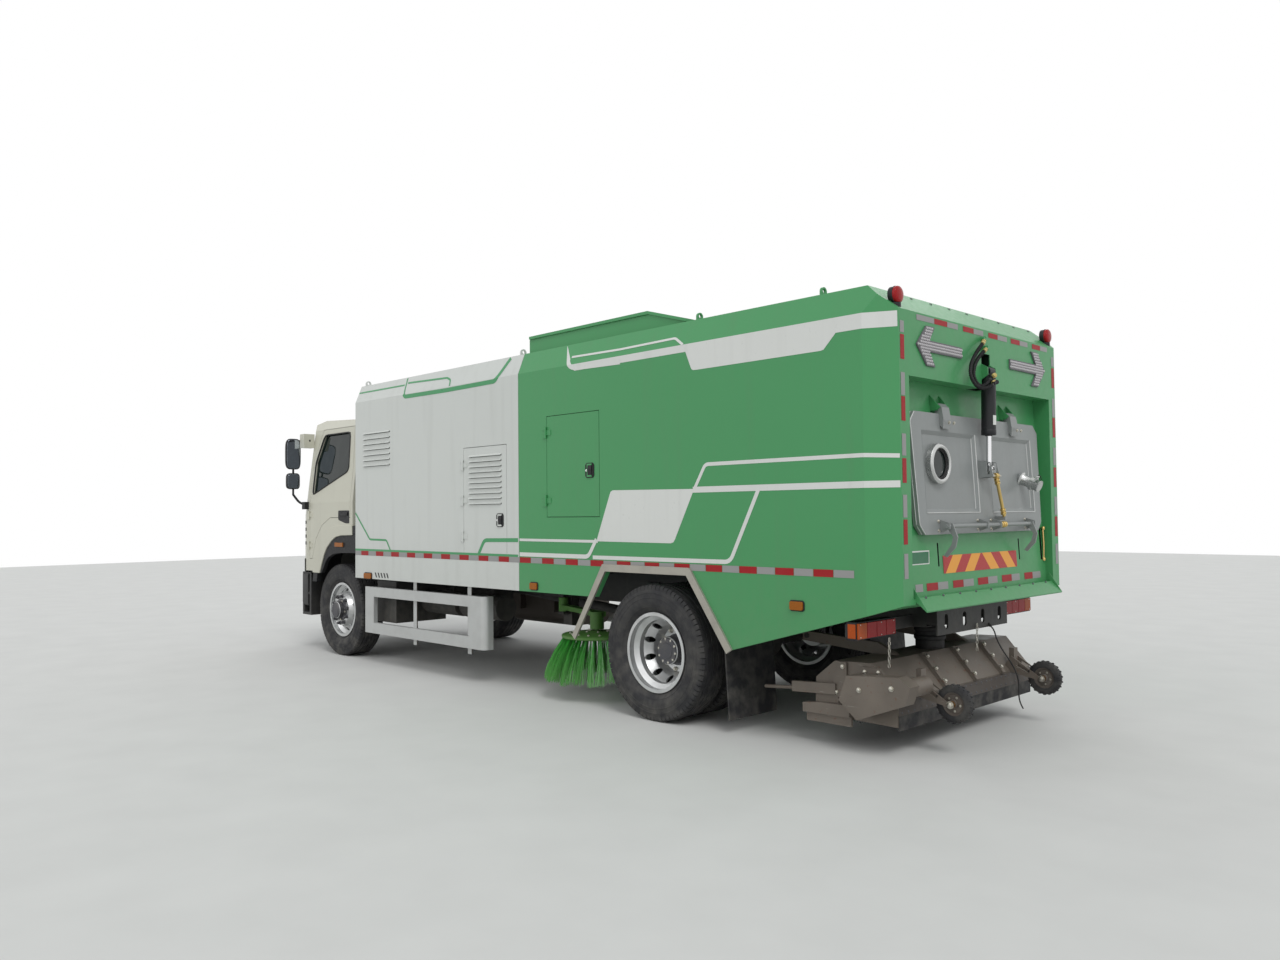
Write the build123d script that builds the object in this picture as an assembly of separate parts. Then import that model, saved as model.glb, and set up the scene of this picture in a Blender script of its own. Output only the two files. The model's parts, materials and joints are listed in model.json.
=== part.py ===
"""Street sweeper truck: two-axle cab-over chassis, side brooms, debris tank and rear broom unit.

Millimetres. +X is forward, +Y is the left side, +Z is up. The origin lies on the ground,
midway along the length and the width.
"""
from build123d import *
import os
from math import cos, pi, radians, sin, tan

# Overall
WHEELBASE = 5000.0
REAR_AXLE_X = -2080.0
FRONT_AXLE_X = REAR_AXLE_X + WHEELBASE
FRONT_END_X = 4320.0

# Wheels and tyres
TYRE_R = 505.0
TYRE_WIDTH = 276.0
BEAD_R = 286.0
FLANGE_R = 298.0
RIM_WIDTH = 210.0
RIM_WALL = 12.0
FLANGE_DEPTH = 14.0
AXLE_Z = TYRE_R
FRONT_WHEEL_Y = 995.0
REAR_WHEEL_Y = 1085.0
TWIN_SPACING = 320.0
WHEEL_OUTSET = 150.0
HUB_R = 142.0
HAND_HOLE_R = 24.0
HAND_HOLE_PCD = 430.0
HAND_HOLES = 10
RUNNING_GAP = 0.1
SEAT_GAP = 0.3

# Steering
KINGPIN_Y = 850.0
KINGPIN_R = 24.0
KNUCKLE_EYE_R = 52.0
STUB_R = 42.0
REAR_STUB_R = 72.0
TRACK_ARM_X = -230.0
TRACK_ARM_IN = 0.0

# Chassis frame
RAIL_OUTER_Y = 430.0
RAIL_FLANGE = 75.0
RAIL_WALL = 9.0
RAIL_BOTTOM_Z = 760.0
RAIL_TOP_Z = 1010.0
RAIL_REAR_X = -3880.0
RAIL_FRONT_X = 4150.0
SUBFRAME_TOP_Z = 1130.0

# Body box: a white engine enclosure in front, a green debris tank behind
BODY_HALF_WIDTH = 1220.0
BODY_FRONT_X = 2400.0
SEAM_X = -470.0
BODY_BEND_X = -3930.0
BODY_REAR_X = -4125.0
POST_HALF_WIDTH = 1120.0
SKIRT_Z = 886.0
ROOF_BEND_Z = 2757.0
ROOF_Z = 2940.0
ROOF_HALF_WIDTH = 1145.0
ROOF_REAR_Z = 2775.0
FLOOR_Z = SUBFRAME_TOP_Z
BODY_WALL = 45.0
SEAM_GAP = 4.0

# Wheel arch opening in the body, as X from the rear axle and Z
ARCH_FOOT_FRONT = (860.0, 534.0)
ARCH_TOP_FRONT = (495.0, 1092.0)
ARCH_TOP_REAR = (-367.0, 1092.0)
ARCH_FOOT_REAR = (-737.0, 570.0)
ARCH_STRIP = 62.0
ARCH_PROUD = 18.0

# Rear recess and tank door
RECESS_HALF_WIDTH = 1010.0
RECESS_TOP_Z = 2370.0
RECESS_FOOT_Z = 1000.0
RECESS_TOP_X = -4000.0
RECESS_FOOT_X = -4076.0
TAIL_PANEL = 12.0
DOOR_TOP_Z = 2169.0
DOOR_FOOT_Z = 1387.0
DOOR_HALF_WIDTH_TOP = 914.0
DOOR_HALF_WIDTH_FOOT = 876.0
DOOR_CORNER = 60.0
DOOR_THICK = 46.0
DOOR_SEAL_GAP = 6.0
MOUTH_HALF_WIDTH = 800.0
MOUTH_TOP_Z = 2080.0
MOUTH_FOOT_Z = 1460.0
HINGE_X = -4056.0
HINGE_Z = 2212.0
HINGE_PIN_R = 14.0
HINGE_Y = 490.0
PORT_Y = 606.0
PORT_Z = 1840.0
PORT_R = 130.0
PORT_GLASS_R = 102.0
DRAIN_Y = -610.0
DRAIN_Z = 1772.0
DRAIN_R = 38.0

# Cylinder that lifts the tank door
CYL_TOP = (-4144.0, 2483.0)
CYL_EYE = (-4132.0, 1822.0)
CYL_BARREL_R = 48.0
CYL_ROD_R = 17.0
CYL_BARREL_LENGTH = 430.0
CYL_SLOT_HALF_WIDTH = 62.0

# Side doors of the body: X from the rear axle, Z range
LOUVRE_DOOR = dict(x0=1785.0, x1=2440.0, z0=1190.0, z1=2156.0)
LOCKER_DOOR = dict(x0=570.0, x1=1220.0, z0=1520.0, z1=2355.0)
DOOR_GAP = 5.0
SIDE_HINGE_R = 9.0

# Cab
CAB_HALF_WIDTH = 1180.0
CAB_REAR_X = 2540.0
CAB_ROOF_Z = 2610.0
CAB_WALL = 60.0
CAB_FLOOR = 40.0
TUNNEL_TOP_Z = 1440.0
TUNNEL_HALF_WIDTH = 390.0
CAB_PIVOT = (4150.0, 985.0)
CAB_FRONT_Z = 1030.0

# Rear broom unit
UNIT_PIVOT = (-2960.0, 640.0)
UNIT_HALF_WIDTH = 940.0
FLAP_BEAM_X = -2766.0
GAUGE_X = -4198.0
GAUGE_Y = 660.0
GAUGE_Z = 330.0
GAUGE_R = 122.0
GAUGE_WIDTH = 56.0
ROLLER_X = -3640.0
ROLLER_Z = 345.0
ROLLER_CORE_R = 75.0
ROLLER_R = 190.0

# Side brooms
BROOM_X = -1000.0
BROOM_Y = 800.0
BROOM_DISC_Z = 505.0
BROOM_DISC_R = 300.0
BROOM_TIP_R = 450.0
BROOM_TIP_Z = 130.0
BROOM_PIVOT = (-270.0, 560.0)

# Crossmembers of the frame: X, half length along X, bottom Z, top Z
CROSSMEMBERS = (
    (4110.0, 40.0, 800.0, 960.0),
    (1660.0, 45.0, 862.0, 1000.0),
    (700.0, 45.0, 862.0, 1000.0),
    (-350.0, 45.0, 800.0, 1000.0),
    (-1460.0, 50.0, 800.0, 1000.0),
    (-2760.0, 50.0, 800.0, 1000.0),
)
SUBFRAME_BEAMS = (2240.0, 1560.0, 880.0, 200.0, -700.0, -1300.0, FLAP_BEAM_X, -3500.0)
TAIL_PLATE_X = RAIL_REAR_X - 120.0
TAIL_PLATE_HOLES = (-380.0, -130.0, 130.0, 380.0)

# Drive line
GEARBOX_REAR_X = 1760.0
YOKE_R = 64.0

# Louvres: X from the rear axle, Z range, number of slots
VENT = dict(x0=3767.0, x1=4304.0, z0=2040.0, z1=2436.0, slots=7)
LOUVRE = dict(x0=1858.0, x1=2352.0, z0=1619.0, z1=2098.0, slots=10)
BLADE = 3.0

# Tank bulkhead, roof hatch and tail flap
BULKHEAD_X = REAR_AXLE_X + 480.0
HATCH_X0 = REAR_AXLE_X - 250.0
HATCH_X1 = SEAM_X - 6.0
HATCH_HALF_WIDTH = 1095.0
HATCH_SLOPE_X = REAR_AXLE_X + 125.0
HATCH_TOP_Z = 3068.0
HATCH_LID = 24.0
HATCH_PIN_R = 7.0
HATCH_HINGE_Y = (-700.0, 0.0, 700.0)
HATCH_PIN = (HATCH_X1 - 4.0, HATCH_TOP_Z + 40.0)
TAIL_FLAP_TOP = (BODY_REAR_X, 1004.0)
TAIL_FLAP_END = (-4203.0, 929.0)
TAIL_FLAP_HALF_WIDTH = 980.0

# Latch of the tank door
LATCH_BRACKETS = (-622.0, -96.0, 96.0, 622.0)
LATCH_X = -4150.0
LATCH_Z = 1440.0
LATCH_HOOK_Y = 583.0

# Cab forms, as X and Z outlines
CAB_PROFILE = [(CAB_REAR_X, 920.0), (CAB_REAR_X, CAB_ROOF_Z), (3500.0, 2660.0), (3780.0, 2600.0), (3930.0, 2430.0),
               (4240.0, 1560.0), (4275.0, CAB_FRONT_Z), (4110.0, CAB_FRONT_Z), (4080.0, 920.0)]
CAB_RAKE = 0.26
CAB_ARCH_TOP_Z = 1436.0
CAB_ARCH_BEND_X = 2850.0
CAB_ARCH_KNEE = (3450.0, 960.0)
CAB_ARCH_FOOT = (3490.0, 780.0)
FENDER_BAND = 96.0
FENDER_SHEET = 10.0
FENDER_REAR_X = 2440.0
CAB_DOOR = [(2600.0, 1530.0), (2600.0, 2080.0), (2650.0, 2535.0), (3375.0, 2535.0), (3545.0, 2200.0),
            (3545.0, 1060.0), (3490.0, 1060.0), (3400.0, 1290.0), (3260.0, 1440.0), (3060.0, 1530.0)]
DOOR_WINDOW = [(2730.0, 2030.0), (2695.0, 2070.0), (2735.0, 2475.0), (3340.0, 2475.0), (3496.0, 2165.0),
               (3500.0, 1790.0)]
CAB_HINGE = (3552.0, CAB_HALF_WIDTH + SIDE_HINGE_R + 1.5)
CAB_HINGE_Z = (1210.0, 1560.0)
DOOR_SKIN = 22.0
DOOR_STEP = 38.0
CAB_NOTCH_HALF_WIDTH = 540.0
STEER_HUB = (3620.0, 540.0, 1770.0)
STEER_TILT = 35.0

# Suction duct between the rear broom unit and the tank
DUCT_X = -3662.0
DUCT_R = 110.0

# Hoses of the lifting cylinder and the loose cable: diameters and route points
HOSE_D = 20.0
CABLE_D = 10.0
HOSE_UPPER = [
    (-4156.0, 74.0, 2691.0), (-4164.0, 112.0, 2666.0), (-4168.0, 190.0, 2612.0), (-4174.0, 268.0, 2552.0),
    (-4182.0, 330.0, 2486.0), (-4192.0, 352.0, 2418.0), (-4204.0, 318.0, 2362.0), (-4214.0, 250.0, 2342.0),
    (-4220.0, 170.0, 2352.0), (-4220.0, 114.0, 2374.0), (-4220.0, 92.0, 2385.0),
]
HOSE_LOWER = [
    (-4152.0, 44.0, 2636.0), (-4160.0, 84.0, 2618.0), (-4166.0, 150.0, 2584.0), (-4172.0, 222.0, 2538.0),
    (-4180.0, 278.0, 2482.0), (-4188.0, 300.0, 2420.0), (-4196.0, 268.0, 2370.0), (-4202.0, 206.0, 2360.0),
    (-4204.0, 148.0, 2384.0), (-4202.0, 110.0, 2412.0), (-4202.0, 92.0, 2426.0),
]
HOSE_GLAND_R = 14.0
CABLE = [
    (-4014.0, -215.0, 725.0), (-4040.0, -212.0, 704.0), (-4050.0, -226.0, 634.0), (-4060.0, -300.0, 545.0),
    (-4070.0, -392.0, 462.0), (-4080.0, -466.0, 370.0), (-4083.0, -490.0, 288.0), (-4080.0, -486.0, 212.0),
    (-4082.0, -506.0, 150.0), (-4086.0, -540.0, 112.0),
]

LEFT, RIGHT = 1.0, -1.0
SIDES = (("left", LEFT), ("right", RIGHT))


def block(x0, x1, y0, y1, z0, z1):
    """A box given by its limits."""
    size = (abs(x1 - x0), abs(y1 - y0), abs(z1 - z0))
    return Pos((x0 + x1) / 2, (y0 + y1) / 2, (z0 + z1) / 2) * Box(*size)


def slab_xz(points, y0, y1):
    """An outline in X and Z, extruded from y0 to y1."""
    low, high = min(y0, y1), max(y0, y1)
    wire = Polyline(*[(x, low, z) for x, z in points], close=True)
    return extrude(make_face(wire), amount=high - low, dir=(0, 1, 0))


def slab_yz(points, x0, x1):
    """An outline in Y and Z, extruded from x0 to x1."""
    wire = Polyline(*[(x0, y, z) for y, z in points], close=True)
    return extrude(make_face(wire), amount=x1 - x0, dir=(1, 0, 0))


def slab_xy(points, z0, z1):
    """An outline in X and Y, extruded from z0 to z1."""
    wire = Polyline(*[(x, y, z0) for x, y in points], close=True)
    return extrude(make_face(wire), amount=z1 - z0, dir=(0, 0, 1))


def rod(start, end, radius):
    """A round bar between two points."""
    a, b = Vector(*start), Vector(*end)
    plane = Plane(origin=a, z_dir=(b - a))
    return extrude(plane * Circle(radius), amount=(b - a).length)


def bar_y(x, z, radius, y0, y1):
    """A round bar along Y."""
    return rod((x, min(y0, y1), z), (x, max(y0, y1), z), radius)


def ring_y(x, z, outer, inner, y0, y1):
    """A round sleeve along Y."""
    return bar_y(x, z, outer, y0, y1) - bar_y(x, z, inner, min(y0, y1) - 1, max(y0, y1) + 1)


def turned_y(x, z, profile):
    """A closed profile of (radius, y) turned about a Y axis through x and z."""
    wire = Polyline(*[(x + r, y, z) for r, y in profile], close=True)
    return revolve(make_face(wire), axis=Axis((x, 0, z), (0, 1, 0)))


def turned_z(x, y, profile):
    """A closed profile of (radius, z) turned about a Z axis through x and y."""
    wire = Polyline(*[(x + r, y, z) for r, z in profile], close=True)
    return revolve(make_face(wire), axis=Axis((x, y, 0), (0, 0, 1)))


def cord_tube(points, diameter):
    """A round cord along straight runs, each corner rounded as widely as its runs allow."""
    spots = [Vector(*p) for p in points]
    radii = []
    for before, here, after in zip(spots, spots[1:], spots[2:]):
        inward, outward = here - before, after - here
        turn = radians(inward.get_angle(outward))
        radii.append(0.45 * min(inward.length, outward.length) / tan(turn / 2))
    path = FilletPolyline(*points, radius=radii)
    tube = sweep(Plane(origin=path @ 0, z_dir=path % 0) * Circle(diameter / 2), path=path)
    print("cord: smallest radius", round(min(radii)), "length", round(path.length),
          "volume ratio", round(tube.volume / (pi * diameter ** 2 / 4 * path.length), 4))
    return tube


def hose_gland(end, towards, length, wall_x):
    """A banjo fitting: a stub off a wall at wall_x, turned at its end to meet a hose face to face."""
    face = Vector(*end)
    run = (Vector(*towards) - face).normalized()
    elbow = face - run * length
    banjo = rod((wall_x, elbow.Y, elbow.Z), (elbow.X - 15, elbow.Y, elbow.Z), HOSE_GLAND_R + 2)
    return banjo + rod(elbow, face, HOSE_GLAND_R - 1)


def flip(shape):
    """The same shape on the right side."""
    return mirror(shape, about=Plane.XZ)


def on_side(shape, side):
    """A left-hand shape, mirrored for the right side."""
    return shape if side > 0 else flip(shape)


def both(shape):
    """A left-hand shape and its mirror image, as a list."""
    return [shape, flip(shape)]


def from_rear_axle(point):
    """A point given from the rear axle, moved to the frame of the part."""
    return (point[0] + REAR_AXLE_X, point[1])


def tyre(x, z, y, outer, width, bead):
    """A tyre with rounded shoulders, centred on y."""
    half = width / 2
    tread = half * 0.80
    side = outer - (outer - bead) * 0.10
    toe = RIM_WIDTH / 2 - FLANGE_DEPTH - SEAT_GAP
    heel = FLANGE_R + 2.0
    with BuildLine(Plane((x, y, z))) as section:
        Line((bead, -toe), (bead, toe))
        Line((bead, toe), (heel, toe))
        ThreePointArc((heel, toe), ((heel + side) / 2 - 6, half), (side, half * 0.93))
        ThreePointArc((side, half * 0.93), (outer - 6, half * 0.89), (outer, tread))
        Line((outer, tread), (outer, -tread))
        ThreePointArc((outer, -tread), (outer - 6, -half * 0.89), (side, -half * 0.93))
        ThreePointArc((side, -half * 0.93), ((heel + side) / 2 - 6, -half), (heel, -toe))
        Line((heel, -toe), (bead, -toe))
    return revolve(make_face(section.line), axis=Axis((x, 0, z), (0, 1, 0)))


def rim(x, z, y, disc_y, hub_r):
    """A drop-centre steel wheel: barrel with two flanges, and a dished disc at disc_y."""
    half = RIM_WIDTH / 2
    seat = BEAD_R - 1.0
    well = seat - 34.0
    barrel = turned_y(x, z, [
        (seat - RIM_WALL, y - half), (FLANGE_R, y - half), (FLANGE_R, y - half + 10), (seat, y - half + FLANGE_DEPTH),
        (seat, y - half + 50), (well, y - half + 76), (well, y + half - 76), (seat, y + half - 50),
        (seat, y + half - FLANGE_DEPTH), (FLANGE_R, y + half - 10), (FLANGE_R, y + half), (seat - RIM_WALL, y + half),
        (seat - RIM_WALL, y + half - 46), (well - RIM_WALL, y + half - 74), (well - RIM_WALL, y - half + 74),
        (seat - RIM_WALL, y - half + 46),
    ])
    lean = 1.0 if disc_y > y else -1.0
    root_y = y + lean * 26.0
    edge = well - RIM_WALL + 2.0
    disc = turned_y(x, z, [
        (hub_r - 24, disc_y), (hub_r + 30, disc_y), (edge - 34, disc_y - lean * 70), (edge, root_y),
        (edge, root_y - lean * 16), (edge - 46, disc_y - lean * 82), (hub_r + 26, disc_y - lean * 14),
        (hub_r - 24, disc_y - lean * 14),
    ])
    holes = [bar_y(x + HAND_HOLE_PCD / 2 * cos(a), z + HAND_HOLE_PCD / 2 * sin(a), HAND_HOLE_R,
                   min(disc_y, root_y) - 60, max(disc_y, root_y) + 60)
             for a in (2 * pi * (k + 0.5) / HAND_HOLES for k in range(HAND_HOLES))]
    return (barrel + disc) - holes


def front_wheels():
    """Single front wheels, their discs bulging outwards, each with its hub on the stub."""
    nodes = {}
    for name, side in SIDES:
        y = FRONT_WHEEL_Y
        disc_y = y + 118.0
        hub = turned_y(FRONT_AXLE_X, AXLE_Z, [
            (STUB_R + RUNNING_GAP, y - 50), (HUB_R + 6, y - 50),
            (HUB_R + 6, disc_y - 14.0), (HUB_R - 24, disc_y - 14.0), (HUB_R - 24, disc_y + 4),
            (92, disc_y + 12), (92, disc_y + 60), (76, disc_y + 72), (0, disc_y + 72), (0, disc_y + 8),
            (STUB_R + RUNNING_GAP, disc_y + 8),
        ])
        drum = turned_y(FRONT_AXLE_X, AXLE_Z, [
            (HUB_R, y - 34), (212, y - 34), (212, y - 112), (200, y - 112), (200, y - 50), (HUB_R, y - 50)])
        wheel = rim(FRONT_AXLE_X, AXLE_Z, y, disc_y, HUB_R) + hub + drum
        nodes["front_rim_" + name] = on_side(wheel, side)
        nodes["front_tyre_" + name] = on_side(tyre(FRONT_AXLE_X, AXLE_Z, y, TYRE_R, TYRE_WIDTH, BEAD_R), side)
    return nodes


def rear_wheels():
    """Twin rear wheels, the outer disc deeply dished, on one hub."""
    nodes = {}
    for name, side in SIDES:
        outer_y = REAR_WHEEL_Y
        inner_y = outer_y - TWIN_SPACING
        joint_y = (outer_y + inner_y) / 2
        outer = rim(REAR_AXLE_X, AXLE_Z, outer_y, joint_y, HUB_R)
        inner = rim(REAR_AXLE_X, AXLE_Z, inner_y, joint_y, HUB_R)
        hub = turned_y(REAR_AXLE_X, AXLE_Z, [
            (REAR_STUB_R + RUNNING_GAP, joint_y - 150), (HUB_R + 4, joint_y - 150), (HUB_R + 4, joint_y + 16),
            (HUB_R - 24, joint_y + 16), (HUB_R - 24, joint_y + 24), (104, joint_y + 30), (104, joint_y + 128),
            (94, joint_y + 140), (0, joint_y + 140), (0, joint_y + 20), (REAR_STUB_R + RUNNING_GAP, joint_y + 20),
        ])
        nodes["rear_rims_" + name] = on_side(outer + inner + hub, side)
        tyres = [tyre(REAR_AXLE_X, AXLE_Z, y, TYRE_R, TYRE_WIDTH, BEAD_R) for y in (outer_y, inner_y)]
        nodes["rear_tyres_" + name] = [on_side(t, side) for t in tyres]
    return nodes


def leaf_pack(half_length, z_mid, rise, width, y, leaves, thick):
    """A sprung pack of curved leaves, each shorter than the one above it."""
    pack = []
    for k in range(leaves):
        reach = half_length * (1.0 - 0.17 * k)
        sag = rise * (reach / half_length) ** 2
        low = z_mid - thick * (k + 1)
        top = low + thick - 0.6
        with BuildLine(Plane((0, y - width / 2, 0), x_dir=(1, 0, 0), z_dir=(0, -1, 0))) as outline:
            ThreePointArc((-reach, low + sag), (0, low), (reach, low + sag))
            Line((reach, low + sag), (reach, top + sag))
            ThreePointArc((reach, top + sag), (0, top), (-reach, top + sag))
            Line((-reach, top + sag), (-reach, low + sag))
        pack.append(extrude(make_face(outline.line), amount=width, dir=(0, 1, 0)))
    return pack


def chassis():
    """Two channel rails with crossmembers, and the body's subframe on top of them."""
    inner = RAIL_OUTER_Y - RAIL_FLANGE
    channel = [(inner, RAIL_BOTTOM_Z), (RAIL_OUTER_Y, RAIL_BOTTOM_Z), (RAIL_OUTER_Y, RAIL_TOP_Z),
               (inner, RAIL_TOP_Z), (inner, RAIL_TOP_Z - RAIL_WALL), (RAIL_OUTER_Y - RAIL_WALL, RAIL_TOP_Z - RAIL_WALL),
               (RAIL_OUTER_Y - RAIL_WALL, RAIL_BOTTOM_Z + RAIL_WALL), (inner, RAIL_BOTTOM_Z + RAIL_WALL)]
    rail = slab_yz(channel, RAIL_REAR_X, RAIL_FRONT_X)
    frame = rail + flip(rail)
    reach = RAIL_OUTER_Y - RAIL_WALL / 2
    for x, half, z0, z1 in CROSSMEMBERS:
        frame += block(x - half, x + half, -reach, reach, z0, z1)
    runner = block(RAIL_REAR_X, BODY_FRONT_X - 60, inner, RAIL_OUTER_Y, RAIL_TOP_Z, SUBFRAME_TOP_Z)
    frame += runner + flip(runner)
    for x in SUBFRAME_BEAMS:
        frame += block(x - 40, x + 40, -BODY_HALF_WIDTH + BODY_WALL + SEAT_GAP,
                       BODY_HALF_WIDTH - BODY_WALL - SEAT_GAP, SUBFRAME_TOP_Z - 80, SUBFRAME_TOP_Z)
    ear_y = RAIL_OUTER_Y - 30
    ear = slab_xz([(UNIT_PIVOT[0] - 90, RAIL_BOTTOM_Z + 5), (UNIT_PIVOT[0] + 90, RAIL_BOTTOM_Z + 5),
                   (UNIT_PIVOT[0] + 34, UNIT_PIVOT[1] - 30), (UNIT_PIVOT[0] - 34, UNIT_PIVOT[1] - 30)],
                  ear_y, ear_y + 26)
    stud = bar_y(UNIT_PIVOT[0], UNIT_PIVOT[1], 18, ear_y + 10, ear_y + 110)
    frame += ear + flip(ear) + stud + flip(stud)
    front_lug = slab_xz([(CAB_PIVOT[0] - 70, RAIL_TOP_Z - 60), (CAB_PIVOT[0] + 60, RAIL_TOP_Z - 60),
                         (CAB_PIVOT[0] + 24, CAB_PIVOT[1] + 26), (CAB_PIVOT[0] - 24, CAB_PIVOT[1] + 26)],
                        RAIL_OUTER_Y - 20, RAIL_OUTER_Y + 8)
    lug_pin = bar_y(CAB_PIVOT[0], CAB_PIVOT[1], 16, RAIL_OUTER_Y, RAIL_OUTER_Y + 90)
    frame += front_lug + flip(front_lug) + lug_pin + flip(lug_pin)
    frame += tail_plate()
    post = broom_post()
    frame += post + flip(post)
    return {"chassis_frame": frame}


def tail_plate():
    """The tail crossmember with its oval holes, the lamp brackets and the boss of the loose cable."""
    x0, x1 = TAIL_PLATE_X, RAIL_REAR_X + 5
    beam = block(x0, x0 + 12, -500, 500, 720, 900)
    for s in (LEFT, RIGHT):
        beam += block(x0, x1, s * (RAIL_OUTER_Y - 75), s * RAIL_OUTER_Y, 780, 900)
        beam += block(REAR_AXLE_X - 1700, REAR_AXLE_X - 1680, s * (RAIL_OUTER_Y - 10), s * 1200, 760, 840)
    for y in TAIL_PLATE_HOLES:
        beam -= rod((x0 - 5, y, 780), (x0 + 20, y, 780), 24)
        beam -= rod((x0 - 5, y, 830), (x0 + 20, y, 830), 24)
        beam -= block(x0 - 5, x0 + 20, y - 24, y + 24, 780, 830)
    face = Vector(*CABLE[0])
    run = (Vector(*CABLE[1]) - face).normalized()
    return beam + rod(face - run * 32, face, CABLE_D)


def broom_post():
    """The post on the frame rail that carries the pin of a side broom's arm."""
    px, py = BROOM_PIVOT
    post = block(px - 60, px + 60, RAIL_OUTER_Y - 4, py - 50, 520, 960) + rod((px, py, 640), (px, py, 820), 22)
    for z in (640.0, 800.0):
        post += block(px - 40, px + 40, py - 60, py + 34, z - 18, z)
    return post


def front_axle():
    """A dropped forged beam with king-pin eyes, on two leaf packs hung from the rails."""
    outline = [(0, 385), (520, 385), (640, 440), (KINGPIN_Y - 40, 452), (KINGPIN_Y - 40, 552), (650, 548),
               (520, 478), (0, 478)]
    points = outline + [(-y, z) for y, z in reversed(outline) if y > 0]
    x = FRONT_AXLE_X
    beam = slab_yz(points, x - 46, x + 46)
    eye = rod((x, KINGPIN_Y, 452), (x, KINGPIN_Y, 552), KNUCKLE_EYE_R)
    beam += eye + flip(eye)
    bore = rod((x, KINGPIN_Y, 440), (x, KINGPIN_Y, 560), KINGPIN_R + RUNNING_GAP)
    beam = beam - bore - flip(bore)
    seat = block(x - 70, x + 70, 385, 475, 478, 500)
    beam += seat + flip(seat)
    solids = [beam]
    pack = [Pos(x, 0, 0) * leaf for leaf in leaf_pack(690, 500 + SEAT_GAP + 4 * 19, 110, 76, 430, 4, 19)]
    hangers = [block(x + s * 690 - 40, x + s * 690 + 40, 392, 468, 668, RAIL_BOTTOM_Z) for s in (-1, 1)]
    for leaf in pack + hangers:
        solids += both(leaf)
    return {"front_axle": solids}


def rear_axle():
    """A banjo axle with its differential housing, under two leaf packs outside the rails."""
    x = REAR_AXLE_X
    end_y = REAR_WHEEL_Y - TWIN_SPACING / 2 + 15
    tube = turned_y(x, AXLE_Z, [(0, -end_y), (REAR_STUB_R, -end_y), (REAR_STUB_R, -600), (84, -560), (84, -240), (120, -215),
                                (178, -120), (178, 120), (120, 215), (84, 240), (84, 560), (REAR_STUB_R, 600),
                                (REAR_STUB_R, end_y), (0, end_y)])
    nose = rod((x + 90, 0, AXLE_Z + 4), (x + 330, 0, AXLE_Z + 18), 92)
    housing = tube + nose
    for y in (430.0, ):
        seat = block(x - 80, x + 80, y, y + 92, AXLE_Z + 60, AXLE_Z + 96)
        housing += seat + flip(seat)
    solids = [housing]
    pack = [Pos(x, 0, 0) * leaf for leaf in leaf_pack(760, AXLE_Z + 96 + SEAT_GAP + 5 * 17, 30, 84, 477, 5, 17)]
    hangers = [slab_xz([(x + s * 760 - 55, 640), (x + s * 760 + 55, 640), (x + s * 760 + 80, RAIL_TOP_Z - 60),
                        (x + s * 760 - 80, RAIL_TOP_Z - 60)], RAIL_OUTER_Y, RAIL_OUTER_Y + 18) for s in (-1, 1)]
    for piece in pack + hangers:
        solids += both(piece)
    return {"rear_axle": solids}


def drive_shaft():
    """A tube from the gearbox to the differential, with a yoke at each end."""
    drop = 800.0 - AXLE_Z - 19.0
    lean = YOKE_R * drop / (GEARBOX_REAR_X - REAR_AXLE_X - 330)
    start = (GEARBOX_REAR_X - lean - SEAT_GAP, 0, AXLE_Z + 19.0 + drop)
    end = (REAR_AXLE_X + 330 + 2 * lean + SEAT_GAP, 0, AXLE_Z + 19.0)
    a, b = Vector(*start), Vector(*end)
    step = (b - a).normalized()
    shaft = rod(start, end, 44)
    for at, grow in ((a, 1), (b, -1)):
        p = at + step * (70 * grow)
        shaft += rod(tuple(at), tuple(p), YOKE_R)
    return {"drive_shaft": shaft}


def engine():
    """The engine with its gearbox, as a plain mass between the rails."""
    foot_y = RAIL_OUTER_Y - RAIL_FLANGE - SEAT_GAP
    mass = block(2620, 3700, -320, 320, 640, 1150) + block(GEARBOX_REAR_X, 2620, -190, 190, 660, 960)
    for x in (2780, 3540):
        mass += block(x - 60, x + 60, -foot_y, foot_y, RAIL_BOTTOM_Z + 4, RAIL_BOTTOM_Z + 90)
    return {"engine_block": mass}


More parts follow.
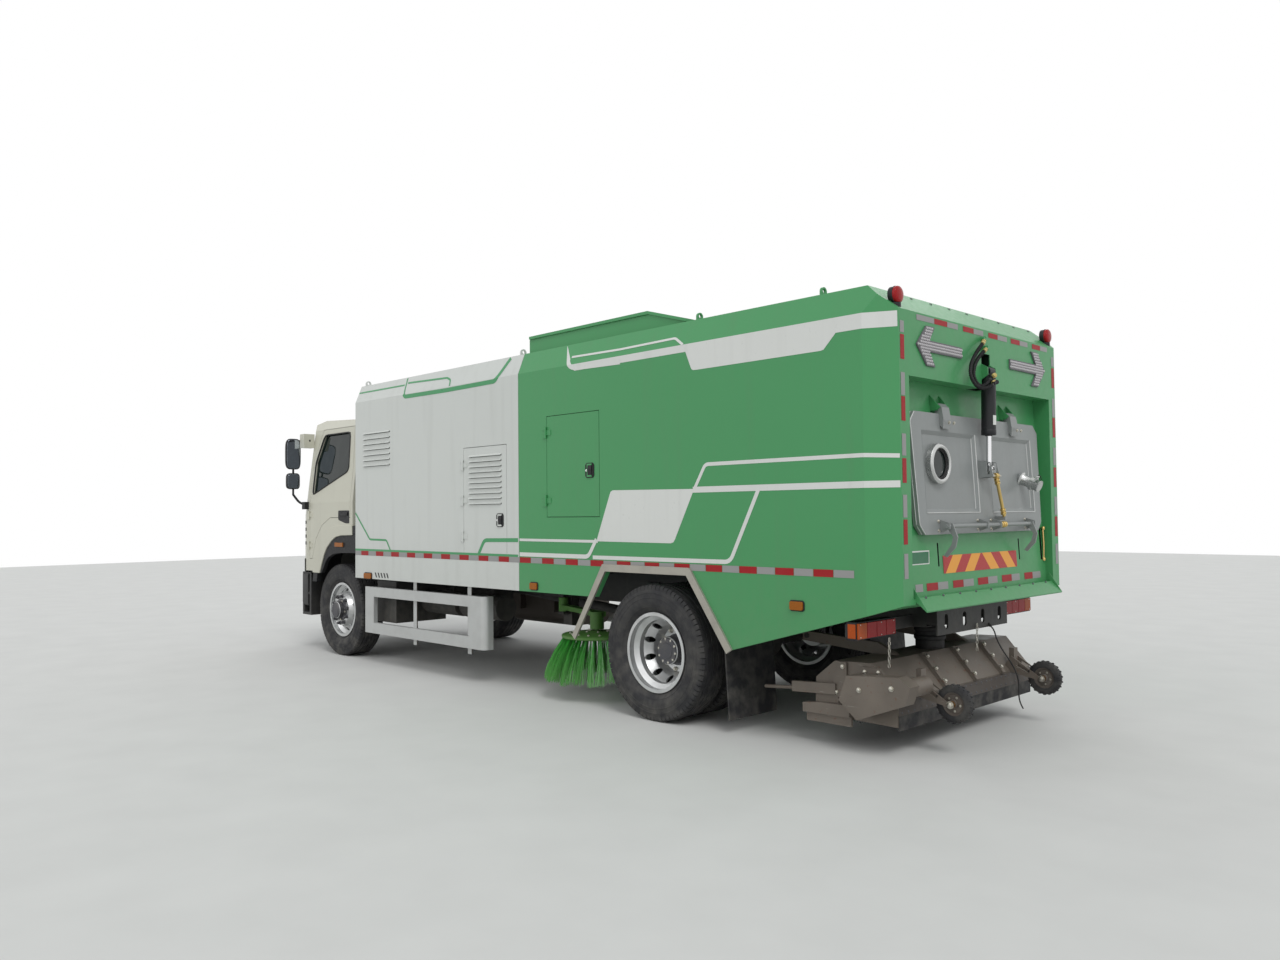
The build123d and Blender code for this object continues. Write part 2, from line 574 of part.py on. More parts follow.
def steering():
    """Knuckles with stub axles on the king pins, and the track rod between their arms."""
    nodes = {}
    x = FRONT_AXLE_X
    for name, side in SIDES:
        pin = rod((x, KINGPIN_Y, 420), (x, KINGPIN_Y, 584), KINGPIN_R)
        upper = rod((x, KINGPIN_Y, 556), (x, KINGPIN_Y, 590), KNUCKLE_EYE_R)
        lower = rod((x, KINGPIN_Y, 414), (x, KINGPIN_Y, 448), KNUCKLE_EYE_R)
        web = block(x - 48, x + 48, KINGPIN_Y + 56, KINGPIN_Y + 84, 414, 590)
        cheeks = block(x - 40, x + 40, KINGPIN_Y, KINGPIN_Y + 60, 556, 590)
        cheeks += block(x - 40, x + 40, KINGPIN_Y, KINGPIN_Y + 60, 414, 448)
        stub = bar_y(x, AXLE_Z, STUB_R, KINGPIN_Y + 70, FRONT_WHEEL_Y + 110)
        arm = slab_xy([(x, KINGPIN_Y - 20), (x, KINGPIN_Y + 30), (x + TRACK_ARM_X, KINGPIN_Y - TRACK_ARM_IN + 24),
                       (x + TRACK_ARM_X - 26, KINGPIN_Y - TRACK_ARM_IN), (x + TRACK_ARM_X, KINGPIN_Y - TRACK_ARM_IN - 24)],
                      414, 438)
        ball = rod((x + TRACK_ARM_X, KINGPIN_Y - TRACK_ARM_IN, 384), (x + TRACK_ARM_X, KINGPIN_Y - TRACK_ARM_IN, 438), 12)
        knuckle = pin + upper + lower + web + cheeks + stub + arm + ball
        nodes["knuckle_" + name] = on_side(knuckle, side)
    eye_y = KINGPIN_Y - TRACK_ARM_IN
    eye_x = x + TRACK_ARM_X
    link = bar_y(eye_x, 392, 17, -eye_y + 10, eye_y - 10)
    for s in (LEFT, RIGHT):
        link += rod((eye_x, s * eye_y, 376), (eye_x, s * eye_y, 408), 28)
    for s in (LEFT, RIGHT):
        link -= rod((eye_x, s * eye_y, 370), (eye_x, s * eye_y, 412), 12 + RUNNING_GAP)
    nodes["track_rod"] = link
    return nodes


def body_outer(inset):
    """The outer form of the whole body, moved inwards by inset on every side."""
    w, r = BODY_HALF_WIDTH - inset, ROOF_HALF_WIDTH - inset * 0.7
    top, bend = ROOF_Z - inset, ROOF_BEND_Z - inset * 0.3
    low = SKIRT_Z - 400
    section = [(-w, low), (w, low), (w, bend), (r, top), (-r, top), (-w, bend)]
    shell = slab_yz(section, BODY_REAR_X, BODY_FRONT_X)
    p = POST_HALF_WIDTH - inset
    plan = [(BODY_FRONT_X - inset, -w), (BODY_FRONT_X - inset, w), (BODY_BEND_X, w), (BODY_REAR_X, p),
            (BODY_REAR_X, -p), (BODY_BEND_X, -w)]
    return shell & slab_xy(plan, low, ROOF_Z)


def side_profile():
    """The outline of the body seen from the side, with the wheel arch and the rising tail."""
    arch = [from_rear_axle(p) for p in (ARCH_FOOT_FRONT, ARCH_TOP_FRONT, ARCH_TOP_REAR, ARCH_FOOT_REAR)]
    share = (SKIRT_Z - arch[0][1]) / (arch[1][1] - arch[0][1])
    meet = (arch[0][0] + (arch[1][0] - arch[0][0]) * share, SKIRT_Z)
    return [(BODY_FRONT_X, SKIRT_Z), (BODY_FRONT_X, ROOF_Z), (BODY_BEND_X, ROOF_Z), (BODY_REAR_X, ROOF_REAR_Z),
            (BODY_REAR_X, 965.0), (BODY_BEND_X, 900.0), (arch[3][0] - 14, 592.0), arch[2], arch[1], meet]


def recess_x(z):
    """Where the inclined bulkhead behind the tank door stands at height z."""
    share = (RECESS_TOP_Z - z) / (RECESS_TOP_Z - RECESS_FOOT_Z)
    return RECESS_TOP_X + (RECESS_FOOT_X - RECESS_TOP_X) * share


def whole_body():
    """The closed body, hollow above its floor and open below it."""
    profile = side_profile()
    outer = body_outer(0) & slab_xz(profile, -BODY_HALF_WIDTH, BODY_HALF_WIDTH)
    w = BODY_HALF_WIDTH - BODY_WALL
    channel = block(recess_x(RECESS_FOOT_Z) + BODY_WALL, BODY_FRONT_X + 5, -w, w, 0, FLOOR_Z + SEAT_GAP)
    p = POST_HALF_WIDTH - BODY_WALL
    channel &= slab_xy([(BODY_FRONT_X + 5, -w), (BODY_FRONT_X + 5, w), (BODY_BEND_X, w), (BODY_REAR_X, p),
                        (BODY_REAR_X, -p), (BODY_BEND_X, -w)], 0, FLOOR_Z + SEAT_GAP)
    inner = body_outer(BODY_WALL) & slab_xz([
        (BODY_FRONT_X - BODY_WALL, FLOOR_Z + BODY_WALL), (BODY_FRONT_X - BODY_WALL, ROOF_Z - BODY_WALL),
        (BODY_BEND_X + BODY_WALL, ROOF_Z - BODY_WALL), (recess_x(2700) + BODY_WALL + 60, 2800),
        (recess_x(RECESS_TOP_Z) + BODY_WALL, RECESS_TOP_Z), (recess_x(FLOOR_Z) + BODY_WALL, FLOOR_Z + BODY_WALL)], -w, w)
    return outer - channel - inner


def door_outline(door, grow=0.0):
    """The outline of a side door in X and Z."""
    x0, x1 = door["x0"] + REAR_AXLE_X - grow, door["x1"] + REAR_AXLE_X + grow
    return [(x0, door["z0"] - grow), (x1, door["z0"] - grow), (x1, door["z1"] + grow), (x0, door["z1"] + grow)]


def side_opening(door):
    """The cut through both side walls for a pair of doors."""
    return slab_xz(door_outline(door, DOOR_GAP), -BODY_HALF_WIDTH - 5, BODY_HALF_WIDTH + 5) - block(
        -9000, 9000, -BODY_HALF_WIDTH + BODY_WALL + 5, BODY_HALF_WIDTH - BODY_WALL - 5, 0, 4000)


def side_hinge_axis(door):
    """The pivot of a side door: just outside the wall, ahead of its front edge."""
    return door["x1"] + REAR_AXLE_X + DOOR_GAP + 2, BODY_HALF_WIDTH + SIDE_HINGE_R + 1.5


def knuckles(axis, heights, wall_y, on_door):
    """Hinge knuckles at the given heights: the middle one on the door, the pin and outer ones on the body."""
    px, py = axis
    pieces = []
    for z in heights:
        if on_door:
            leaf = turned_z(px, py, [(SIDE_HINGE_R / 2 + RUNNING_GAP, z - 22), (SIDE_HINGE_R, z - 22),
                                     (SIDE_HINGE_R, z + 22), (SIDE_HINGE_R / 2 + RUNNING_GAP, z + 22)])
            leaf += block(px - 60, px - 6, wall_y, wall_y + 5, z - 22, z + 22)
        else:
            leaf = rod((px, py, z - 48), (px, py, z + 48), SIDE_HINGE_R / 2)
            for low, high in ((z - 48, z - 22.5), (z + 22.5, z + 48)):
                leaf += rod((px, py, low), (px, py, high), SIDE_HINGE_R)
                leaf += block(px, px + 50, wall_y - 1, wall_y + 5, low, high)
        pieces.append(leaf)
    return pieces


def side_hinges(door, count, on_door):
    """The hinge knuckles of a side door of the body."""
    heights = [door["z0"] + (door["z1"] - door["z0"]) * (0.16 + 0.68 * k / (count - 1)) for k in range(count)]
    return knuckles(side_hinge_axis(door), heights, BODY_HALF_WIDTH, on_door)


def white_enclosure(shell):
    """The front part of the body: engine enclosure with doors and louvres on both sides."""
    part = shell & block(SEAM_X + SEAM_GAP / 2, BODY_FRONT_X + 5, -2000, 2000, 0, 4000)
    part -= side_opening(LOUVRE_DOOR)
    part = louvred(part, VENT, (LEFT, RIGHT))
    for hinge in side_hinges(LOUVRE_DOOR, 3, False):
        part += both(hinge)
    for x in (BODY_FRONT_X - 90, SEAM_X + 60):
        part += lifting_eyes(x)
    return {"engine_enclosure": part}


def louvred(wall, bank, sides):
    """The wall with a bank of louvres: a slot through it for each, and a pressed blade over the slot."""
    x0, x1 = bank["x0"] + REAR_AXLE_X, bank["x1"] + REAR_AXLE_X
    pitch = (bank["z1"] - bank["z0"]) / bank["slots"]
    y = BODY_HALF_WIDTH
    for k in range(bank["slots"]):
        z = bank["z0"] + pitch * (k + 0.5)
        slot = block(x0, x1, y - BODY_WALL - 5, y + 5, z - 9, z + 9)
        blade = Pos(x0, 0, 0) * slab_yz([(y - 2, z + 9), (y - 2, z + 15), (y + 14, z - 1), (y + 14, z - 5),
                                         (y + 11, z - 5)], 0, x1 - x0)
        for side in sides:
            wall = wall - on_side(slot, side) + on_side(blade, side)
    return wall


def lifting_eyes(x):
    """A round lifting eye on each roof edge."""
    eye = rod((x - 8, ROOF_HALF_WIDTH - 30, ROOF_Z + 22), (x + 8, ROOF_HALF_WIDTH - 30, ROOF_Z + 22), 30)
    eye += block(x - 8, x + 8, ROOF_HALF_WIDTH - 60, ROOF_HALF_WIDTH, ROOF_Z - 10, ROOF_Z + 22)
    eye -= rod((x - 9, ROOF_HALF_WIDTH - 30, ROOF_Z + 26), (x + 9, ROOF_HALF_WIDTH - 30, ROOF_Z + 26), 15)
    return both(eye)


def louvre_doors():
    """The louvred doors of the engine enclosure."""
    nodes = {}
    low_y = BODY_HALF_WIDTH - BODY_WALL
    door = slab_xz(door_outline(LOUVRE_DOOR), low_y, BODY_HALF_WIDTH)
    door = louvred(door, LOUVRE, (LEFT,))
    for hinge in side_hinges(LOUVRE_DOOR, 3, True):
        door += hinge
    latch = block(1850 + REAR_AXLE_X, 1905 + REAR_AXLE_X, BODY_HALF_WIDTH, BODY_HALF_WIDTH + 12, 1440, 1545)
    door += latch
    for name, side in SIDES:
        nodes["louvre_door_" + name] = on_side(door, side)
    return nodes


def locker_doors():
    """The plain doors of the compartment ahead of the debris tank."""
    nodes = {}
    door = slab_xz(door_outline(LOCKER_DOOR), BODY_HALF_WIDTH - BODY_WALL, BODY_HALF_WIDTH)
    for hinge in side_hinges(LOCKER_DOOR, 2, True):
        door += hinge
    door += block(650 + REAR_AXLE_X, 705 + REAR_AXLE_X, BODY_HALF_WIDTH, BODY_HALF_WIDTH + 12, 1835, 1940)
    for name, side in SIDES:
        nodes["locker_door_" + name] = on_side(door, side)
    return nodes


def green_tank(shell):
    """The rear part of the body: debris tank, its bulkheads, tail recess, posts and tail flap."""
    part = shell & block(BODY_REAR_X - 5, SEAM_X - SEAM_GAP / 2, -2000, 2000, 0, 4000)
    part += block(BULKHEAD_X - 30, BULKHEAD_X, -BODY_HALF_WIDTH + 10, BODY_HALF_WIDTH - 10, FLOOR_Z + 10, ROOF_BEND_Z)
    part -= side_opening(LOCKER_DOOR)
    recess = slab_xz([(BODY_REAR_X - 5, RECESS_FOOT_Z), (BODY_REAR_X - 5, RECESS_TOP_Z),
                      (recess_x(RECESS_TOP_Z), RECESS_TOP_Z), (recess_x(RECESS_FOOT_Z), RECESS_FOOT_Z)],
                     -RECESS_HALF_WIDTH, RECESS_HALF_WIDTH)
    part -= recess
    mouth = block(BODY_REAR_X - 5, BODY_REAR_X + 400, -MOUTH_HALF_WIDTH, MOUTH_HALF_WIDTH, MOUTH_FOOT_Z, MOUTH_TOP_Z)
    part -= mouth
    part -= slot_for_cylinder()
    for hinge in side_hinges(LOCKER_DOOR, 2, False):
        part += both(hinge)
    part += hatch_box()
    for x in (REAR_AXLE_X - 420, REAR_AXLE_X - 1500):
        part += lifting_eyes(x)
    part += tank_hinge_lugs()
    part += cylinder_lugs()
    for s in (LEFT, RIGHT):
        part -= block(BODY_REAR_X - 5, BODY_REAR_X + 150, s * LATCH_HOOK_Y - 8, s * LATCH_HOOK_Y + 8, 1180, 1330)
        part -= block(BODY_REAR_X - 5, BODY_REAR_X + 120, s * 938, s * 966, 1165, 1400)
    flap = slab_xz([(TAIL_FLAP_TOP[0] + 24, TAIL_FLAP_TOP[1] - 8), TAIL_FLAP_TOP, TAIL_FLAP_END,
                    (TAIL_FLAP_END[0] + 4, TAIL_FLAP_END[1] - 8), (TAIL_FLAP_TOP[0] + 4, TAIL_FLAP_TOP[1] - 14),
                    (TAIL_FLAP_TOP[0] + 24, TAIL_FLAP_TOP[1] - 22)], -TAIL_FLAP_HALF_WIDTH, TAIL_FLAP_HALF_WIDTH)
    gusset = slab_xz([(TAIL_FLAP_TOP[0] + 14, TAIL_FLAP_TOP[1] + 62), TAIL_FLAP_END,
                      (TAIL_FLAP_TOP[0] + 14, TAIL_FLAP_TOP[1] - 16)], TAIL_FLAP_HALF_WIDTH - 4, TAIL_FLAP_HALF_WIDTH)
    part += flap
    part += gusset
    part += flip(gusset)
    part += hose_gland(HOSE_UPPER[0], HOSE_UPPER[1], 30.0, BODY_REAR_X + 4)
    part += hose_gland(HOSE_LOWER[0], HOSE_LOWER[1], 24.0, BODY_REAR_X + 4)
    return {"debris_tank": part}


def slot_for_cylinder():
    """The slot in the upper tail panel that the lifting cylinder hangs in."""
    w = CYL_SLOT_HALF_WIDTH
    return slab_xz([(BODY_REAR_X - 5, RECESS_TOP_Z - 5), (BODY_REAR_X - 5, 2610),
                    (BODY_REAR_X + 110, 2610), (BODY_REAR_X + 110, RECESS_TOP_Z - 5)], -w, w)


def hatch_box():
    """The raised box on the roof that the hatch lid closes."""
    outer = slab_xz([(HATCH_X0, ROOF_Z - 10), (HATCH_X0, ROOF_Z + 20), (HATCH_SLOPE_X, HATCH_TOP_Z),
                     (HATCH_X1, HATCH_TOP_Z), (HATCH_X1, ROOF_Z - 10)], -HATCH_HALF_WIDTH, HATCH_HALF_WIDTH)
    inner = slab_xz([(HATCH_X0 + 30, ROOF_Z - 20), (HATCH_X0 + 30, ROOF_Z + 60), (HATCH_SLOPE_X + 10, HATCH_TOP_Z + 20),
                     (HATCH_X1 - 30, HATCH_TOP_Z + 20), (HATCH_X1 - 30, ROOF_Z - 20)],
                    -HATCH_HALF_WIDTH + 30, HATCH_HALF_WIDTH - 30)
    box = outer - inner
    for y in HATCH_HINGE_Y:
        box += block(HATCH_X1 - 8, HATCH_X1, y - 30, y + 30, HATCH_TOP_Z - 30, HATCH_PIN[1])
        box += bar_y(HATCH_PIN[0], HATCH_PIN[1], HATCH_PIN_R, y - 62, y + 62)
    return [box]


def roof_hatch():
    """The lid of the roof box, hinged along its front edge."""
    rise = HATCH_TOP_Z - ROOF_Z - 20
    run = HATCH_SLOPE_X - HATCH_X0
    lid = slab_xz([(HATCH_X0 - 30, ROOF_Z + 20 - 30 * rise / run + SEAT_GAP), (HATCH_SLOPE_X, HATCH_TOP_Z + SEAT_GAP),
                   (HATCH_X1 - 10, HATCH_TOP_Z + SEAT_GAP), (HATCH_X1 - 10, HATCH_TOP_Z + HATCH_LID),
                   (HATCH_SLOPE_X, HATCH_TOP_Z + HATCH_LID),
                   (HATCH_X0 - 30, ROOF_Z + 20 - 30 * rise / run + HATCH_LID)],
                  -HATCH_HALF_WIDTH - 15, HATCH_HALF_WIDTH + 15)
    px, pz = HATCH_PIN
    for y in HATCH_HINGE_Y:
        lid -= block(HATCH_X1 - 16, HATCH_X1 + 5, y - 36, y + 36, HATCH_TOP_Z - 5, HATCH_TOP_Z + 60)
        for y0, y1 in ((y - 60, y - 36), (y + 36, y + 60)):
            lid += slab_xz([(px - 44, HATCH_TOP_Z + HATCH_LID - 4), (px - 10, pz + 8), (px + 8, pz + 8),
                            (px + 8, pz - 10), (px - 12, HATCH_TOP_Z + HATCH_LID - 4)], y0, y1)
            lid -= bar_y(px, pz, HATCH_PIN_R + RUNNING_GAP, y0 - 2, y1 + 2)
    return {"roof_hatch": lid}


def tank_hinge_lugs():
    """The pins and lugs on the bulkhead that carry the tank door."""
    pieces = []
    for s in (LEFT, RIGHT):
        y = s * HINGE_Y
        for dy in (-62, 62):
            pieces.append(slab_xz([(recess_x(2290) + 2, 2300), (recess_x(2190) + 2, 2190), (HINGE_X, HINGE_Z - 22),
                                   (HINGE_X - 24, HINGE_Z), (HINGE_X, HINGE_Z + 24)], y + dy - 6, y + dy + 6))
        pieces.append(bar_y(HINGE_X, HINGE_Z, HINGE_PIN_R, y - 70, y + 70))
    return pieces


def cylinder_lugs():
    """The ears in the slot that carry the top pin of the lifting cylinder."""
    x, z = CYL_TOP
    pieces = [bar_y(x, z, 14, -CYL_SLOT_HALF_WIDTH - 2, CYL_SLOT_HALF_WIDTH + 2)]
    for s in (LEFT, RIGHT):
        inner, outer = s * (CYL_SLOT_HALF_WIDTH - 8), s * (CYL_SLOT_HALF_WIDTH + 2)
        pieces.append(slab_xz([(x - 26, z - 26), (x - 26, z + 26), (BODY_REAR_X + 12, z + 60), (BODY_REAR_X + 12, z - 60)],
                              inner, outer))
    return pieces


def tank_door():
    """The inclined lid of the tank mouth: pressed frames, porthole, hinge arms and clevis."""
    tilt = (recess_x(DOOR_TOP_Z) - recess_x(DOOR_FOOT_Z)) / (DOOR_TOP_Z - DOOR_FOOT_Z)
    gap = DOOR_SEAL_GAP
    back = [(recess_x(DOOR_FOOT_Z) - gap, DOOR_FOOT_Z), (recess_x(DOOR_TOP_Z) - gap, DOOR_TOP_Z)]
    front = [(recess_x(DOOR_TOP_Z) - gap - DOOR_THICK, DOOR_TOP_Z), (recess_x(DOOR_FOOT_Z) - gap - DOOR_THICK, DOOR_FOOT_Z)]
    plate = slab_xz(back + front, -DOOR_HALF_WIDTH_TOP, DOOR_HALF_WIDTH_TOP)
    c, wt, wf = DOOR_CORNER, DOOR_HALF_WIDTH_TOP, DOOR_HALF_WIDTH_FOOT
    face = [(wf - c, DOOR_FOOT_Z), (wf, DOOR_FOOT_Z + c), (wt, DOOR_TOP_Z - c), (wt - c, DOOR_TOP_Z)]
    plate &= slab_yz(face + [(-y, z) for y, z in reversed(face)], BODY_REAR_X - 100, BODY_REAR_X + 300)
    for y0, y1 in ((76.0, 778.0), (-778.0, -120.0)):
        x_top = recess_x(2052) - gap - DOOR_THICK
        x_low = recess_x(1525) - gap - DOOR_THICK
        plate -= slab_xz([(x_low - 5, 1525), (x_low + 16, 1525), (x_top + 16, 2052), (x_top - 5, 2052)], y0, y1)
    face_x = recess_x(PORT_Z) - gap - DOOR_THICK
    port = rod((face_x + 30, PORT_Y, PORT_Z), (face_x - 26, PORT_Y, PORT_Z), PORT_R)
    port_bore = rod((face_x + 90, PORT_Y, PORT_Z), (face_x - 40, PORT_Y, PORT_Z), PORT_GLASS_R)
    plate = plate + port - port_bore
    pipe_x = recess_x(DRAIN_Z) - gap - DOOR_THICK + 20
    pipe = rod((pipe_x, DRAIN_Y, DRAIN_Z), (pipe_x - 150, DRAIN_Y, DRAIN_Z - 66), DRAIN_R)
    pipe += rod((pipe_x - 96, DRAIN_Y, DRAIN_Z - 42), (pipe_x - 112, DRAIN_Y, DRAIN_Z - 49), DRAIN_R + 9)
    plate += pipe
    for s in (LEFT, RIGHT):
        y = s * HINGE_Y
        arm = slab_xz([(HINGE_X - 26, HINGE_Z), (HINGE_X, HINGE_Z + 26), (HINGE_X + 24, HINGE_Z),
                       (recess_x(2100) - gap - 20, 2120), (recess_x(2070) - gap - DOOR_THICK - 22, 2070),
                       (recess_x(2120) - gap - DOOR_THICK - 30, 2130)], y - 50, y + 50)
        plate += arm
        plate -= bar_y(HINGE_X, HINGE_Z, HINGE_PIN_R + RUNNING_GAP, y - 55, y + 55)
    ex, ez = CYL_EYE
    for s in (LEFT, RIGHT):
        ear_x = recess_x(ez) - gap - DOOR_THICK + 18
        plate += slab_xz([(ear_x, ez - 64), (ear_x, ez + 60), (ex - 34, ez + 42), (ex - 56, ez - 56)],
                         s * 42, s * 54)
        plate -= slab_xz([(ex - 10, ez - 40), (ex - 10, ez + 40), (ex - 32, ez + 34), (ex - 32, ez - 40)],
                         s * 38, s * 58)
    for y in LATCH_BRACKETS:
        plate += slab_xz([(LATCH_X - 20, LATCH_Z - 20), (LATCH_X - 20, LATCH_Z + 20),
                          (recess_x(LATCH_Z) - gap - DOOR_THICK + 10, LATCH_Z + 44),
                          (recess_x(LATCH_Z) - gap - DOOR_THICK + 10, LATCH_Z - 44)], y - 5, y + 5)
        plate -= bar_y(LATCH_X, LATCH_Z, 13 + RUNNING_GAP, y - 8, y + 8)
    plate += rod((ex - 36, 46, ez - 50), (ex - 36, -46, ez - 50), 9)
    link_top, link_foot = Vector(ex - 36, -30, ez - 50), Vector(LATCH_X - 14, -150, LATCH_Z + 44)
    plate += rod(link_top, link_foot, 11)
    plate += block(LATCH_X - 26, recess_x(LATCH_Z + 50) - gap - DOOR_THICK + 10, -164, -136, LATCH_Z + 30, LATCH_Z + 56)
    return {"tank_door": plate}


def door_window():
    """The glass of the porthole."""
    face_x = recess_x(PORT_Z) - DOOR_SEAL_GAP - DOOR_THICK
    return {"porthole_glass": rod((face_x + 4, PORT_Y, PORT_Z), (face_x - 6, PORT_Y, PORT_Z), PORT_GLASS_R - 0.3)}


def latch_bar():
    """The shaft under the tank door with two hooked arms that reach into the tail panel."""
    x, z = LATCH_X, LATCH_Z
    bar = bar_y(x, z, 13, -640, 640)
    for s in (LEFT, RIGHT):
        hook = slab_xz([(x - 20, z + 16), (x + 16, z + 18), (x + 18, z - 14), (x - 22, z - 70), (x - 8, z - 120),
                        (x + 46, z - 190), (x + 24, z - 200), (x - 36, z - 136), (x - 52, z - 70)],
                       s * LATCH_HOOK_Y - 6, s * LATCH_HOOK_Y + 6)
        bar += hook
    return {"latch_bar": bar}


def cylinder():
    """The lifting cylinder: barrel on its top pin, and the rod whose eye stands in the clevis."""
    top, eye = Vector(CYL_TOP[0], 0, CYL_TOP[1]), Vector(CYL_EYE[0], 0, CYL_EYE[1])
    run = (eye - top).normalized()
    end = top + run * CYL_BARREL_LENGTH
    start = top + run * 16
    barrel = rod(start, end, CYL_BARREL_R)
    barrel += bar_y(top.X, top.Z, 34, -38, 38)
    barrel -= bar_y(top.X, top.Z, 14 + RUNNING_GAP, -60, 60)
    bore_start = top + run * 70
    barrel -= rod(bore_start, (end + run * 5), CYL_ROD_R + RUNNING_GAP)
    for hose in (HOSE_UPPER, HOSE_LOWER):
        barrel += barrel_port(hose[-1], hose[-2])
    inner = top + run * (CYL_BARREL_LENGTH - 90)
    stem = rod(inner, (eye - run * 10), CYL_ROD_R)
    stem += bar_y(eye.X, eye.Z, 26, -32, 32)
    stem -= bar_y(eye.X, eye.Z, 12, -40, 40)
    return {"lift_barrel": barrel, "lift_rod": stem}


def barrel_port(end, before):
    """A port of the barrel, which stops short of its hose so that the barrel can swing."""
    face = Vector(*end)
    run = (face - Vector(*before)).normalized()
    face += run * 7
    elbow = face + run * 26
    banjo = rod((CYL_TOP[0] - 28, elbow.Y - 37, elbow.Z), (elbow.X - 14, elbow.Y, elbow.Z), 15)
    return banjo + rod(elbow, face, 12)


def arches():
    """Wheel arch trims outside the rear wheels, with a liner behind each."""
    foot_f, top_f, top_r, foot_r = (from_rear_axle(p) for p in (
        ARCH_FOOT_FRONT, ARCH_TOP_FRONT, ARCH_TOP_REAR, ARCH_FOOT_REAR))
    grow = ARCH_STRIP
    outer = [(foot_f[0] + grow * 0.55, foot_f[1] + grow * 0.5), (top_f[0] + grow * 0.5, top_f[1] + grow * 0.9),
             (top_r[0] - grow * 0.5, top_r[1] + grow * 0.9), (foot_r[0] - grow * 0.75, foot_r[1] + grow * 0.5)]
    strip = slab_xz([foot_f, top_f, top_r, foot_r] + list(reversed(outer)),
                    BODY_HALF_WIDTH + SEAT_GAP, BODY_HALF_WIDTH + ARCH_PROUD)
    return {"arch_trims": both(strip)}


def mud_flaps():
    """Rubber flaps behind the rear wheels."""
    x = FLAP_BEAM_X + 40 + SEAT_GAP
    flap = slab_xz([(x, 1110), (x + 12, 1110), (x + 12, 1030), (x - 50, 100), (x - 62, 100), (x, 1030)],
                   640, BODY_HALF_WIDTH - BODY_WALL - 5)
    return {"mud_flaps": both(flap)}


def side_guards():
    """Aluminium underrun guards between the wheels, hung on brackets from the rails."""
    x0, x1 = REAR_AXLE_X + 2155, REAR_AXLE_X + 4295
    y0, y1 = 1160.0, 1205.0
    ring = block(x0, x1, y0, y1, 320, 800) + block(x0, x0 + 90, y0 - 60, y1, 320, 800)
    corner = ring.edges().filter_by(Axis.Z).sort_by(Axis.X)[:2].sort_by(Axis.Y)[-1]
    ring = fillet(corner, 60)
    ring -= slab_xz([(x0 + 235, 430), (x1 - 175, 430), (x1 - 175, 700), (x0 + 235, 700)], y0 - 5, y1 + 5)
    guard = [ring]
    for x in (REAR_AXLE_X + 3385, REAR_AXLE_X + 2443):
        guard.append(block(x - 30, x + 30, y0 - 12, y0, 260, RAIL_TOP_Z - 30)
                     + block(x - 30, x + 30, RAIL_OUTER_Y, y0 - 12, RAIL_TOP_Z - 90, RAIL_TOP_Z - 30))
    solids = []
    for piece in guard:
        solids += both(piece)
    return {"side_guards": solids}


def tanks():
    """Fuel tank on the right, air reservoirs and battery box on the left."""
    fuel = fillet(block(900, 1900, -1080, -500, 330, 850).edges().filter_by(Axis.X), 90)
    fuel += [block(x - 25, x + 25, -500, -RAIL_OUTER_Y, 480, 930) for x in (1100, 1700)]
    air = [rod((x, 700, 640), (x + 620, 700, 640), 120) for x in (420, 1120)]
    boxes = [block(x + 280, x + 340, RAIL_OUTER_Y, 640, 700, 900) for x in (420, 1120)]
    battery = block(1800, 2180, 480, 1080, 430, 860) + block(1900, 2080, RAIL_OUTER_Y, 480, 780, 880)
    return {"fuel_tank": fuel, "air_reservoirs": [a + b for a, b in zip(air, boxes)], "battery_box": battery}


def bumper():
    """The front bumper, wrapped round the corners, and the entry steps on each side."""
    plan = [(3740.0, 1150.0), (4000.0, 1150.0), (4210.0, 1040.0), (FRONT_END_X, 760.0), (FRONT_END_X, 0.0)]
    outer = plan + [(x, -y) for x, y in reversed(plan) if y > 0]
    inner = [(x - (70 if x > 3990 else 0), y * 0.94) for x, y in plan]
    inner = [(3730.0, 1085.0)] + inner[1:]
    hollow = inner + [(x, -y) for x, y in reversed(inner) if y > 0]
    shell = slab_xy(outer, 520, 900) - slab_xy(hollow, 460, 940)
    mount = block(RAIL_FRONT_X + SEAT_GAP, FRONT_END_X - 60, 355, 430, 770, 860)
    shell += mount + flip(mount)
    step = block(3580, 3760, 860, 1150, 410, 450) + block(3620, 3760, 1110, 1150, 440, 900)
    step += block(3600, 3760, 900, 1150, 640, 670)
    shell += block(3700, 3800, 1100, 1150, 520, 890)
    solids = [shell + step + flip(step)]
    return {"front_bumper": solids}


def cab_form(inset, profile):
    """The cab's outer form: a side outline, cut to a plan with tapered front corners."""
    w = CAB_HALF_WIDTH - inset
    low, belt, high = 700.0, 1560.0, 2800.0
    plan = [(3630.0, w), (3720.0, w - 28), (4010.0, w - 180 + inset * 0.3), (4190.0 - inset, w - 330),
            (4290.0 - inset, w - 640)]
    back = [(CAB_REAR_X + inset, w)]
    lower = back + plan
    lower += [(x, -y) for x, y in reversed(lower)]
    solid = slab_xy(lower, low, belt)
    lean = CAB_RAKE * (high - belt)
    top_wire = [(x - lean, y) for x, y in plan]
    upper_low = [(CAB_REAR_X + inset, w)] + plan
    upper_high = [(CAB_REAR_X + inset, w)] + top_wire
    faces = []
    for points, z in ((upper_low, belt), (upper_high, high)):
        ring = points + [(x, -y) for x, y in reversed(points)]
        faces.append(Pos(0, 0, z) * make_face(Polyline(*ring, close=True)))
    solid += loft(faces, ruled=True)
    section = [(w, low), (w, 1700), (w - 90, 2540 - inset), (w - 200, 2680 - inset), (-w + 200, 2680 - inset),
               (-w + 90, 2540 - inset), (-w, 1700), (-w, low)]
    return (slab_xz(profile, -w, w) & solid) & slab_yz(section, CAB_REAR_X - 5, 4400)


